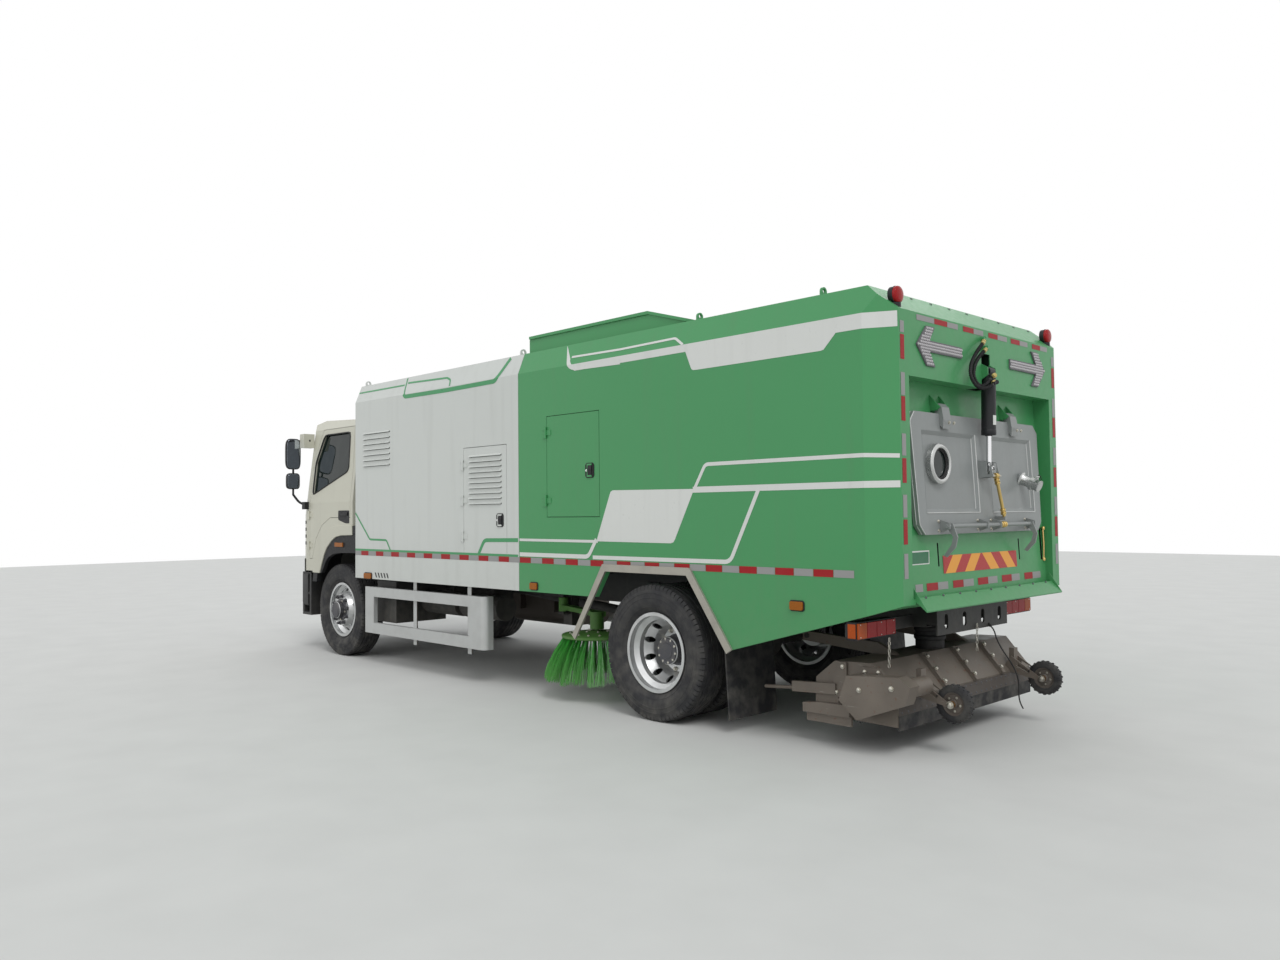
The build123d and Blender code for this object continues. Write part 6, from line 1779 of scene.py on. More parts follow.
@dataclass
class ArrowBoard:
    """A lamp board in the outline of an arrow that points outwards, studded with small lamps."""

    tip: float = 0.925
    middle: float = 2.575
    foot: float = 0.35
    corners: tuple[Point, ...] = ((0.804, 0.127), (0.7, 0.127), (0.772, 0.037))
    half_shaft: float = 0.036
    thick: float = 0.012
    pitch: float = 0.0215
    lamp: float = 0.008

    def outline(self, side: Side) -> list[tuple[float, float]]:
        """The arrow's corners as y and z."""
        s = side.value
        upper = [*self.corners, (self.foot, self.half_shaft)]
        half = [(s * y, self.middle + up) for y, up in upper]
        return [(s * self.tip, self.middle)] + half + [(y, 2 * self.middle - z) for y, z in reversed(half)]

    def build(self, side: Side, skin: Skin) -> None:
        """Makes the board and its lamps on one side.

        Args:
            side: Left or right.
            skin: The tail's surface.
        """
        wall = rear_point(skin, side.value * 0.6, self.middle, 0.0).x
        board = Shape()
        board.prism(self.outline(side), wall - self.thick, wall + 0.001, Across.X)
        board.finish(f"arrow_board_{side.word}", "chassis", "panel_grey", bevel=0.002)
        edge = [Vector(p) for p in self.outline(side)]
        spots = []
        for r in range(-7, 8):
            z = self.middle + r * self.pitch * 0.87
            for c in range(30):
                y = side.value * (self.foot + self.pitch * (c + 0.5 * (r % 2)))
                if inside_outline(Vector((y, z)), edge, self.lamp):
                    spots.append(Spot((wall - self.thick, y, z), (-1, 0, 0)))
        REPEATER.put(f"arrow_lamps_{side.word}", "chassis", Heads.led(self.lamp), spots, "led_dome")


def inside_outline(spot: Vector, outline: Sequence[Vector], margin: float) -> bool:
    """Whether a point lies inside a closed outline and at least a margin from its edges.

    Args:
        spot: The point.
        outline: The outline's corners.
        margin: The least distance.

    Returns:
        True where it does.
    """
    crossed = False
    for a, b in zip(outline, list(outline[1:]) + [outline[0]]):
        share = min(1.0, max(0.0, (spot - a).dot(b - a) / (b - a).length_squared))
        if (a.lerp(b, share) - spot).length < margin:
            return False
        if (a.y > spot.y) != (b.y > spot.y) and spot.x < (b.x - a.x) * (spot.y - a.y) / (b.y - a.y) + a.x:
            crossed = not crossed
    return crossed


@dataclass
class SideFittings:
    """Latches, marker lamps and vents on both sides of the body."""

    markers: tuple[tuple[float, float, float], ...] = ((4.131, 4.275, 0.915), (1.354, 1.447, 0.935),
        (-1.383, -1.28, 0.934))

    def build(self, side: Side) -> None:
        """Dresses one side.

        Args:
            side: Left or right.
        """
        s = side.value
        wall = s * HALF_WIDTH
        lamps = Shape()
        for rear, front, z in self.markers:
            x0, x1 = REAR + rear, REAR + front
            lamps.prism(self.pad(x0 - 0.008, x1 + 0.008, z - 0.036, z + 0.036, 0.012), wall - s * 0.001,
                wall + s * 0.006, Across.Y, 0)
            lamps.prism(self.pad(x0, x1, z - 0.028, z + 0.028, 0.008), wall + s * 0.005, wall + s * 0.0185,
                Across.Y, 1)
        lamps.finish(f"marker_lamps_{side.word}", "chassis", "black_plastic", "amber_lens", bevel=0.003)
        # Thin black sheets on the skirt where its slots are: painted shade of the slot openings.
        slots = Shape()
        for k in range(5):
            x = REAR + 3.79 + k * 0.058
            slots.prism([(x, 0.905), (x + 0.022, 0.905), (x + 0.048, 0.955), (x + 0.026, 0.955)], wall,
                wall + s * 0.0012, Across.Y)
        slots.finish(f"skirt_slots_{side.word}", "chassis", "flap_rubber")
        for body, x, z in ((f"louvre_door_{side.word}", 1.879, 1.493),
                (f"locker_door_{side.word}", 0.679, 1.887)):
            self.latch(body, side, REAR + x, z)

    def pad(self, x0: float, x1: float, z0: float, z1: float, cut: float) -> list[tuple[float, float]]:
        """A rectangle of x and z with cut corners."""
        return [(x0 + cut, z0), (x1 - cut, z0), (x1, z0 + cut), (x1, z1 - cut), (x1 - cut, z1),
            (x0 + cut, z1), (x0, z1 - cut), (x0, z0 + cut)]

    def latch(self, body: str, side: Side, x: float, z: float) -> None:
        """A recessed paddle latch with its key plate.

        Args:
            body: The body that it rides on.
            side: Left or right.
            x: Its middle.
            z: Its middle's height.
        """
        s = side.value
        wall = s * HALF_WIDTH
        made = Shape()
        made.prism(self.pad(x - 0.052, x + 0.052, z - 0.06, z + 0.06, 0.016), wall - s * 0.002,
            wall + s * 0.005, Across.Y, 0)
        made.prism(self.pad(x - 0.04, x + 0.028, z - 0.046, z + 0.046, 0.012), wall + s * 0.004,
            wall + s * 0.0065, Across.Y, 1)
        paddle = [(0.0045, z - 0.044), (0.0125, z - 0.038), (0.0165, z + 0.01), (0.012, z + 0.04),
            (0.0045, z + 0.044)]
        made.prism([(wall + s * out, up) for out, up in paddle], x - 0.03, x + 0.016, Across.X, 0)
        made.lathe([(0.01, 0.0), (0.01, 0.004), (0.0075, 0.0055), (0.001, 0.0055)],
            (x + 0.037, wall + s * 0.004, z), (0, s, 0), 18, 2)
        made.box((x + 0.0355, wall + s * 0.0092, z - 0.006), (x + 0.0385, wall + s * 0.01, z + 0.006), 1)
        made.finish(f"{body}_latch", body, "black_plastic", "flap_rubber", "bright_chrome", bevel=0.0015)


@dataclass
class TankDoorTrim:
    """Metal fittings on the tank's tail door: window ring, drain pipe, stay, pressed edges and bolts."""

    port: Point = (-4.089, 0.606, 1.84)
    port_ring: float = 0.1308
    port_glass: float = 0.1015
    pipe_start: Point = (-4.062, -0.61, 1.772)
    pipe_end: Point = (-4.212, -0.61, 1.706)
    pipe_r: float = 0.0392
    link_top: Point = (-4.168, -0.03, 1.772)
    link_foot: Point = (-4.164, -0.15, 1.484)
    hinge_z: float = 2.37
    face_x: float = -4.052
    lean: float = 0.076 / 1.37
    bead: float = 0.0042
    body: str = "tank_door"

    def build(self) -> None:
        """Makes every fitting on the door."""
        self.window_ring()
        self.drain()
        self.stay()
        self.pressings()
        spots = [Spot((-4.1245, y + off, 2.108), (-1, 0, -0.35)) for y in (0.49, -0.49)
            for off in (-0.03, 0.03)]
        spots += [Spot((self.face(z) + 0.0005, y + 0.022, z), (-1, 0, 0.05))
            for y in (-0.622, -0.096, 0.096, 0.622) for z in (1.41, 1.47)]
        REPEATER.put("door_bolts", self.body, Heads.hexagon(0.017, 0.008), spots, "zinc_bolt")

    def face(self, z: float) -> float:
        """The door's outer face at a height."""
        return self.face_x - self.lean * (self.hinge_z - z)

    def window_ring(self) -> None:
        """The bright ring round the porthole and its gasket."""
        x = self.face(self.port[2]) - 0.026
        centre = (x, self.port[1], self.port[2])
        ring = Shape()
        inner, outer = self.port_glass - 0.001, self.port_ring
        ring.lathe([(inner, 0.02), (inner, -0.003), (inner + 0.005, -0.008), (inner + 0.013, -0.01),
            (outer - 0.008, -0.0065), (outer, 0.001), (outer, 0.034), (outer - 0.0005, 0.034),
            (outer - 0.0007, 0.02)], centre, (1, 0, 0), 64, 0, closed=True)
        ring.lathe([(inner, 0.012), (inner - 0.012, 0.01), (inner - 0.014, 0.014), (inner, 0.017)], centre,
            (1, 0, 0), 48, 1, closed=True)
        ring.finish("porthole_ring", self.body, "polished_steel", "soft_rubber", smooth=True)

    def drain(self) -> None:
        """The stainless drain pipe with its cap, cam arm and holding wire."""
        start, end = Vector(self.pipe_start), Vector(self.pipe_end)
        way = (end - start).normalized()
        r = self.pipe_r
        made = Shape()
        made.lathe([(r + 0.012, 0.0235), (r + 0.004, 0.03), (r, 0.036), (r, 0.096), (r + 0.0098, 0.0975),
            (r + 0.0098, 0.1225), (r + 0.002, 0.1255), (r + 0.002, 0.15), (r + 0.0035, 0.152),
            (r + 0.0035, 0.1655), (r - 0.004, 0.167), (0.001, 0.167)], start, way, 40)
        lug = start + way * 0.135 + Vector((0, -0.012, r + 0.004))
        made.tube([lug - way * 0.02, lug + Vector((0, -0.004, 0.014)),
            lug + way * 0.02 + Vector((0, -0.012, 0.022))], 0.0065, 0, 8)
        made.lathe([(0.011, -0.01), (0.011, 0.01)], lug + Vector((0, 0, 0.002)), (0, 1, 0), 16)
        made.finish("drain_pipe_trim", self.body, "polished_steel", smooth=True)
        wire = Shape()
        wire.tube(rounded([lug + Vector((0, -0.006, 0.01)), lug + Vector((0.01, -0.07, 0.034)),
            lug + Vector((0.02, -0.13, 0.012)), lug + Vector((0.045, -0.175, -0.03))], 0.05, 8), 0.0028, 0,
            6)
        wire.finish("drain_cap_wire", self.body, "soft_rubber", smooth=True)

    def stay(self) -> None:
        """The yellow-plated link below the clevis, with its lock nuts and eyes."""
        top, foot = Vector(self.link_top), Vector(self.link_foot)
        way = (foot - top).normalized()
        length = (foot - top).length
        made = Shape()
        made.lathe([(0.0116, 0.012), (0.0116, length - 0.004)], top, way, 20)
        for place in (0.03, 0.052, length - 0.06, length - 0.036):
            made.lathe([(0.0118, place - 0.009), (0.0195, place - 0.008), (0.0195, place + 0.008),
                (0.0118, place + 0.009)], top, way, 6)
        made.lathe([(0.018, -0.019), (0.02, -0.016), (0.02, 0.016), (0.018, 0.019)], top, (0, 1, 0), 24)
        for dy, r in ((-0.026, 0.0215), (0.004, 0.0235), (0.03, 0.0205)):
            made.lathe([(0.0138, dy - 0.01), (r, dy - 0.008), (r, dy + 0.008), (0.0138, dy + 0.01)],
                (-4.15, -0.15, 1.44), (0, 1, 0), 18, closed=True)
        made.finish("stay_link", self.body, "yellow_zinc", bevel=0.001, smooth=True)
        pin = Shape()
        pin.lathe([(0.0095, -0.06), (0.0095, 0.06), (0.0155, 0.061), (0.0155, 0.067), (0.001, 0.068)], top,
            (0, 1, 0), 20)
        pin.finish("stay_pin", self.body, "zinc_bolt", smooth=True)

    def pressings(self) -> None:
        """The sloped edges of the two pressed panels, their folds and the lid's double rim, the folds and
        the rim in bright metal that is painted highlight.
        """
        made = Shape()
        for left, right in ((0.7785, 0.0755), (-0.1195, -0.7785)):
            corners = [(self.face(z) + sink, y, z)
                for cut, sink in ((0.0, -0.0008), (0.026, 0.0155), (0.0, 0.0155))
                for y, z in patch(left - cut, right + cut, 1.5245 + cut, 2.0525 - cut)]
            made.add(corners, rings(3, 4, closed=True))
            # Bright beads on the two folds of one side and on the lower edge: painted highlight where they
            # face the light.
            for a, b, radius in ((1, 2, self.bead), (5, 6, 0.0034), (0, 1, self.bead)):
                made.tube([corners[a], corners[b]], radius, 1, 8)
        # The lid's double rim in the same bright metal: painted highlight.
        for out, sink in ((-0.003, 0.002), (0.001, 0.024)):
            path = [(self.face(z) + sink, y + out, z)
                for y, z in ((0.818, 1.3915), (0.876, 1.449), (0.9085, 2.107), (0.856, 2.1645))]
            made.tube(rounded(path, 0.02, 4), self.bead, 1, 8)
        made.finish("pressed_edges", self.body, "door_silver", "worn_edge")


@dataclass
class TailLamps:
    """Lens faces of the long tail lamps, and the red beacons above them."""

    def build(self, side: Side) -> None:
        """Makes the lamps of one side.

        Args:
            side: Left or right.
        """
        s = side.value
        made = Shape()
        x = -3.85
        for inner, outer, mark in ((0.778, 0.884, 0), (0.888, 0.994, 0), (0.998, 1.104, 0),
                (1.108, 1.207, 1)):
            made.box((x - 0.01, s * inner, 0.752), (x + 0.001, s * outer, 0.848), mark)
        made.box((x + 0.004, s * 1.2145, 0.756), (x + 0.06, s * 1.2185, 0.844), 1)
        made.finish(f"tail_lenses_{side.word}", "chassis", "red_lens", "orange_lens", bevel=0.003)
        spots = [Spot((x - 0.01, s * y, z), (-1, 0, 0)) for y in (0.8, 0.945, 1.18) for z in (0.761, 0.839)]
        REPEATER.put(f"tail_lens_screws_{side.word}", "chassis", Heads.dome(0.0045, 0.0025), spots,
            "zinc_bolt")
        cap = Shape()
        centre = (-4.08, s * 1.075, 2.865)
        cap.lathe([(0.0526, -0.01), (0.053, -0.02), (0.0515, -0.0265), (0.046, -0.031), (0.03, -0.0355),
            (0.001, -0.037)], centre, (1, 0, 0), 40, 0)
        cap.lathe([(0.0522, -0.01), (0.055, -0.009), (0.055, -0.004), (0.0522, -0.003)], centre, (1, 0, 0),
            40, 1, closed=True)
        cap.finish(f"beacon_cap_{side.word}", "chassis", "red_lens", "soft_rubber", smooth=True)


@dataclass
class SideBrush:
    """A bowl-shaped brush: painted disc with bolted segments and splayed bunches of fibre."""

    x: float = -1.0
    y: float = 0.8
    bunches: int = 30
    fibres: int = 26
    widest: float = 0.449
    root_z: float = 0.5
    seed: int = 7

    def build(self, side: Side) -> None:
        """Makes one brush in place of its plain solid.

        Args:
            side: Left or right.
        """
        body = f"side_brush_{side.word}"
        centre = Vector((self.x, side.value * self.y, 0.0))
        disc = Shape()
        disc.lathe([(0.02, 0.629), (0.0199, 0.552), (0.06, 0.55), (0.066, 0.545), (0.12, 0.5445),
            (0.15, 0.536), (0.292, 0.5265), (0.2995, 0.522), (0.2995, 0.502), (0.285, 0.496), (0.14, 0.488),
            (0.001, 0.487)], centre, (0, 0, 1), 64)
        disc.finish(f"{body}_disc", body, "broom_green", smooth=True)
        spots = [Spot(centre + Vector((*polar(radius, a), z)), (0, 0, 1))
            for radius, z, count in ((0.225, 0.5308, 15), (0.092, 0.5446, 5)) for a in turns(count)]
        REPEATER.put(f"{body}_bolts", body, Heads.hexagon(0.019, 0.009), spots, "zinc_bolt")
        dice = random.Random(self.seed)
        lines = []
        for ring, root, lean, low in ((0, 0.278, 0.166, 0.145), (1, 0.232, 0.125, 0.132)):
            for bunch in turns(self.bunches - 6 * ring, 0.1 * ring):
                splay = dice.uniform(-0.045, 0.045)
                drop = dice.uniform(-0.008, 0.03)
                for _ in range(self.fibres):
                    near = bunch + dice.gauss(0, 0.01)
                    far = bunch + splay + dice.gauss(0, 0.052)
                    out = lean + dice.gauss(0, 0.02)
                    tip = low + drop + abs(dice.gauss(0, 0.018))
                    r0 = root + dice.gauss(0, 0.006)
                    r1 = min(r0 + out, self.widest - 0.001)
                    path = []
                    for t, bow in ((0.0, 0.0), (0.35, 0.022), (0.72, 0.02), (1.0, 0.0)):
                        angle = near + (far - near) * t
                        radius = r0 + (r1 - r0) * t + bow
                        path.append(centre + Vector((*polar(min(radius, self.widest), angle),
                            self.root_z + (tip - self.root_z) * t)))
                    lines.append(path)
        fibre = STRANDS.put(f"{body}_fibres", body, lines, 0.0019, "broom_fibre")
        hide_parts(body)


@dataclass
class RollerBrush:
    """The wide roller at the tail: core with a dense spiral of fibres."""

    x: float = -3.64
    z: float = 0.345
    half: float = 0.88
    core: float = 0.077
    tip: float = 0.1895
    turns_across: int = 64
    round_turn: int = 44
    seed: int = 11

    def build(self) -> None:
        """Makes the roller in place of its plain solid."""
        body = "roller_brush"
        core = Shape()
        core.lathe([(0.025, -0.99), (0.025, -0.912), (self.core, -0.909), (self.core, 0.909), (0.025, 0.912),
            (0.025, 0.965)], (self.x, 0.0, self.z), (0, 1, 0), 40)
        core.finish("roller_core", body, "dark_steel", smooth=True)
        dice = random.Random(self.seed)
        lines = []
        for across in range(self.turns_across):
            y = -self.half + 2 * self.half * (across + 0.5) / self.turns_across
            for angle in turns(self.round_turn, 0.31 * across):
                a = angle + dice.gauss(0, 0.02)
                b = a - 0.1 + dice.gauss(0, 0.03)
                end = self.tip - abs(dice.gauss(0, 0.004))
                slip = dice.gauss(0, 0.008)
                mid = (self.core + end) / 2
                lines.append([(self.x + (self.core - 0.002) * math.cos(a), y,
                    self.z + (self.core - 0.002) * math.sin(a)),
                    (self.x + mid * math.cos(a - 0.02), y + slip / 2, self.z + mid * math.sin(a - 0.02)),
                    (self.x + end * math.cos(b), y + slip, self.z + end * math.sin(b))])
        fibre = STRANDS.put("roller_fibres", body, lines, 0.0026, "roller_fibre")
        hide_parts(body)


@dataclass
class GaugeWheel:
    """A small lugged rubber wheel on a bronze hub."""

    tread: float = 0.118
    lugs: int = 20
    shoulder_r: float = 0.108
    shoulder_out: float = 0.0232

    def build(self, side: Side) -> None:
        """Makes one wheel in place of its plain solid.

        Args:
            side: Left or right.
        """
        body = f"gauge_wheel_{side.word}"
        centre = (GAUGE_X, side.value * GAUGE_Y, GAUGE_Z)
        rubber = Shape()
        half = [(0.0735, 0.0), (0.0735, 0.026), (0.078, 0.0278), (0.092, 0.0278), (0.1, 0.0265),
            (0.108, 0.0235), (0.1145, 0.019), (self.tread, 0.012), (self.tread, 0.0)]
        ring = half + [(r, -y) for r, y in reversed(half[1:-1])]
        rubber.lathe(ring, centre, (0, 1, 0), 60, closed=True)
        tyre = rubber.finish(f"{body}_rubber", body, "tyre_rubber", smooth=True)
        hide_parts(body)
        lug = Shape()
        lug.box((-0.0085, -0.0045, -0.004), (0.0085, 0.0045, 0.0036))
        spots = []
        for row_y, start in ((0.0135, 0.0), (-0.0135, math.pi / self.lugs)):
            for a in turns(self.lugs, start):
                out = (math.cos(a), 0.0, math.sin(a))
                at = (GAUGE_X + self.tread * out[0], centre[1] + row_y, GAUGE_Z + self.tread * out[2])
                spots.append(Spot(at, out, math.copysign(0.5, row_y), along=(0, 1, 0)))
        for a in turns(2 * self.lugs):
            for edge in (-1, 1):
                out = Vector((0.55 * math.cos(a), edge, 0.55 * math.sin(a)))
                at = (GAUGE_X + self.shoulder_r * math.cos(a), centre[1] + edge * self.shoulder_out,
                    GAUGE_Z + self.shoulder_r * math.sin(a))
                spots.append(Spot(at, tuple(out), along=(math.cos(a), 0, math.sin(a)), size=0.8))
        REPEATER.put(f"{body}_lugs", body, lug, spots, "tyre_rubber", smooth=False)
        hub = Shape()
        hub.lathe([(0.0102, -0.0315), (0.024, -0.0315), (0.03, -0.029), (0.03, -0.015), (0.058, -0.0135),
            (0.066, -0.02), (0.0738, -0.021), (0.0738, 0.021), (0.066, 0.02), (0.058, 0.0135), (0.03, 0.015),
            (0.03, 0.029), (0.024, 0.0315), (0.0102, 0.0315)], centre, (0, 1, 0), 40, closed=True)
        hub.lathe([(0.0101, -0.0335), (0.0215, -0.033), (0.0215, 0.033), (0.0101, 0.0335)], centre,
            (0, 1, 0), 24, 1, closed=True)
        hub.finish(f"{body}_hub", body, "hub_brown", "bronze_hub", smooth=True)
        for edge in (-1, 1):
            at = (GAUGE_X, centre[1] + edge * 0.0133, GAUGE_Z)
            REPEATER.put(f"{body}_bolts_{'in' if edge < 0 else 'out'}", body, Heads.hexagon(0.011, 0.006),
                circle(at, 0.044, 5, (0, edge, 0)), "zinc_bolt")


@dataclass
class RearUnitTrim:
    """Bolts, rivets, rubber skirts, nuts and chains of the rear broom unit."""

    band_x: float = -3.9682
    ribs: tuple[float, ...] = (0.345, -0.07, -0.47)

    def build(self) -> None:
        """Dresses the unit."""
        body = "rear_unit"
        bolts = [Spot((REAR - 1.7, 1.09, 0.42), (0, 1, 0)), Spot((REAR - 1.93, 1.09, 0.455), (0, 1, 0))]
        slope = (-0.7, 0, 0.62)
        for y in self.ribs:
            for x, z in ((-1.75, 0.556), (-1.814, 0.48), (-1.878, 0.404)):
                bolts.append(Spot((REAR + x - 0.0035, y, z + 0.003), slope))
        for s in (-1, 1):
            for dy in (-0.049, 0.049):
                bolts.append(Spot((GAUGE_X, s * GAUGE_Y + dy * 1.24, GAUGE_Z), (0, math.copysign(1, dy), 0),
                    size=1.4))
        for x, z in ((-1.6, 0.44), (-1.66, 0.515), (-1.76, 0.52), (-1.83, 0.43), (-1.6, 0.35),
                (-1.83, 0.35)):
            bolts.append(Spot((REAR + x, 0.96, z), (0, 1, 0), size=0.8))
        for x, z in ((-1.5, 0.36), (-1.44, 0.36), (-1.49, 0.53)):
            bolts.append(Spot((REAR + x, 0.9565, z), (0, 1, 0), size=0.9))
            bolts.append(Spot((REAR + x, -0.9565, z), (0, -1, 0), size=0.9))
        REPEATER.put("unit_bolts", body, Heads.hexagon(0.024, 0.012), bolts, "zinc_bolt")
        rivets = [spot for z in (0.335, 0.276)
            for spot in row((self.band_x, -0.9, z), (self.band_x, 0.9, z), 25, (-1, 0, 0))]
        REPEATER.put("band_rivets", body, Heads.dome(0.008, 0.0045), rivets, "dark_steel")
        skirt = Shape()
        for x, z0, z1 in ((-3.9635, 0.165, 0.262), (-3.352, 0.15, 0.3)):
            skirt.box((x - 0.004, -0.93, z0), (x + 0.004, 0.93, z1))
        skirt.finish("unit_skirts", body, "flap_rubber", bevel=0.0015)
        # The band's darker copy of the broom plate's paint is painted shade.
        band = Shape()
        band.box((-3.969, -0.938, 0.258), (-3.9662, 0.938, 0.352))
        band.finish("riveted_band", body, "band_plate", bevel=0.0008)
        plates = Shape()
        out = Vector((-0.762, 0, 0.648))
        for y in self.ribs:
            base = [Vector((REAR + x, y + 0.0215 * s, z)) + out * 0.0001
                for x, z, s in ((-1.7245, 0.5795, -1), (-1.7245, 0.5795, 1), (-1.9045, 0.368, 1),
                (-1.9045, 0.368, -1))]
            plates.add(base + [c + out * 0.0045 for c in base], rings(2, 4))
        plates.finish("rib_plates", body, "broom_plate", bevel=0.0012)
        self.chains()

    def chains(self) -> None:
        """Two short safety chains that hang under the tail."""
        spots = []
        for x, y, top in ((-3.905, 0.93, 0.742), (-4.012, -0.02, 0.76)):
            for k in range(8):
                spots.append(Spot((x + 0.0006 * k, y, top - 0.0235 * (k + 0.5)), (0.03, 0.0, -1.0),
                    (k % 2) * math.pi / 2, along=(0, 1, 0)))
        REPEATER.put("safety_chains", "chassis", Heads.link(), spots, "zinc_bolt")


@dataclass
class BarrelFittings:
    """Gold fittings, gland and cap of the lifting cylinder's barrel."""

    top: Point = (-4.144, 0.0, 2.483)
    eye: Point = (-4.132, 0.0, 1.822)
    label_r: float = 0.0487
    label_half_turn: float = 28.0
    label_strips: int = 13

    def build(self) -> None:
        """Dresses the barrel and the rod."""
        top, eye = Vector(self.top), Vector(self.eye)
        run = (eye - top).normalized()
        made = Shape()
        made.lathe([(0.0485, 0.395), (0.0495, 0.397), (0.0495, 0.428), (0.046, 0.4325), (0.019, 0.4325)],
            top, run, 36, 0)
        made.lathe([(0.0485, 0.05), (0.0495, 0.052), (0.0495, 0.074), (0.0485, 0.076)], top, run, 36, 0)
        made.lathe([(0.0184, 0.4325), (0.024, 0.4335), (0.024, 0.438), (0.0184, 0.439)], top, run, 28, 1)
        made.finish("barrel_gland", "lift_barrel", "bumper_black", "soft_rubber", smooth=True)
        fittings = Shape()
        for z in (2.4, 2.446):
            port = Vector((-4.2165, 0.066, z))
            fittings.lathe([(0.0145, -0.004), (0.0178, -0.003), (0.0178, 0.009), (0.0145, 0.01)], port,
                (-0.76, 0.65, 0), 6)
            fittings.lathe([(0.0128, 0.004), (0.015, 0.005), (0.015, 0.016), (0.0128, 0.017)], port,
                (0.1, 0.85, -0.5), 6)
        fittings.finish("barrel_ports", "lift_barrel", "hose_gold", bevel=0.0008)
        plate = Shape()
        low, high = top + run * 0.365, top + run * 0.3
        around = [math.pi + math.radians(self.label_half_turn * (2 * k / self.label_strips - 1))
            for k in range(self.label_strips + 1)]
        for a, b in zip(around, around[1:]):
            plate.add([(p.x + self.label_r * math.cos(t), self.label_r * math.sin(t), p.z)
                for p, t in ((low, a), (low, b), (high, b), (high, a))], [(0, 1, 2, 3)])
        plate.finish("barrel_blank_label", "lift_barrel", "marking_white", closed=False)


@dataclass
class CabFront:
    """The cab's black grille, corner panels with their slots, windscreen rubber and wipers."""

    corner: tuple[Point, ...] = ((3.69, 1.171), (3.722, 1.155), (3.87, 1.078), (4.012, 1.003),
        (4.105, 0.928), (4.1935, 0.852), (4.246, 0.69), (4.2765, 0.56), (4.2765, 0.0))
    slot_rows: tuple[float, ...] = (1.235, 1.315, 1.395, 1.475)
    grille_x: float = 4.262

    def build(self) -> None:
        """Makes the cab's front trims."""
        made = Shape()
        for side in Side:
            s = side.value
            plan = [(x, s * y) for x, y in self.corner]
            # The band is the black corner panel down to 0.99; on the side part it goes on down to 0.905 over
            # the gap above the bumper, as painted shade of that gap.
            for run, foot in ((plan[:5], 0.905), (plan[4:], 0.99)):
                made.band(run, [(s * -0.0015, foot), (s * 0.004, foot + 0.005), (s * 0.004, 1.05),
                    (s * -0.0015, 1.056)])
            # Black strips on the cab's front corner where its slots are: painted shade of the slot openings.
            for z in self.slot_rows:
                made.band([(3.648, s * 1.1795), (3.69, s * 1.1655), (3.716, s * 1.1535)],
                    [(s * -0.002, z - 0.02), (s * 0.0022, z - 0.017), (s * 0.0022, z + 0.017),
                    (s * -0.002, z + 0.02)])
        made.finish("front_corner_panels", "cab", "bumper_black", bevel=0.001)
        grille = Shape()
        x = self.grille_x
        grille.prism([(-0.78, 1.16), (0.78, 1.16), (0.76, 1.51), (-0.76, 1.51)], x, x + 0.004, Across.X)
        for k in range(7):
            z = 1.185 + 0.05 * k
            front = x + 0.022 - 0.1 * max(0.0, z - 1.2)
            grille.prism([(x - 0.004, z), (front, z - 0.01), (front, z + 0.012), (x - 0.004, z + 0.022)],
                -0.765, 0.765, Across.Y)
        for y in (-0.772, 0.0, 0.772):
            grille.box((x - 0.004, y - 0.01, 1.165), (x + 0.012, y + 0.01, 1.505))
        grille.finish("front_grille", "cab", "black_plastic", bevel=0.0015)
        rubber = Shape()
        ring = [(4.221, 0.885, 1.632), (4.221, -0.885, 1.632), (3.943, -0.826, 2.408), (3.943, 0.826, 2.408)]
        for a, b in zip(ring, ring[1:] + ring[:1]):
            rubber.tube([a, b], 0.0085, 0, 10)
        for y in (0.62, -0.1):
            foot = Vector((4.25, y, 1.585))
            tip = Vector((4.07, y - 0.42, 2.115))
            rubber.tube([foot, foot.lerp(tip, 0.5) + Vector((0.012, 0, 0.004)), tip], 0.006, 0, 8)
            rubber.lathe([(0.018, -0.012), (0.02, 0.004), (0.014, 0.014)], foot, (1, 0, 0.3), 16)
            rubber.tube([tip + Vector((-0.075, -0.14, 0.22)), tip + Vector((0.105, 0.1, -0.31))], 0.0055, 0,
                8)
        rubber.finish("windscreen_rubber_and_wipers", "cab", "soft_rubber", smooth=True)


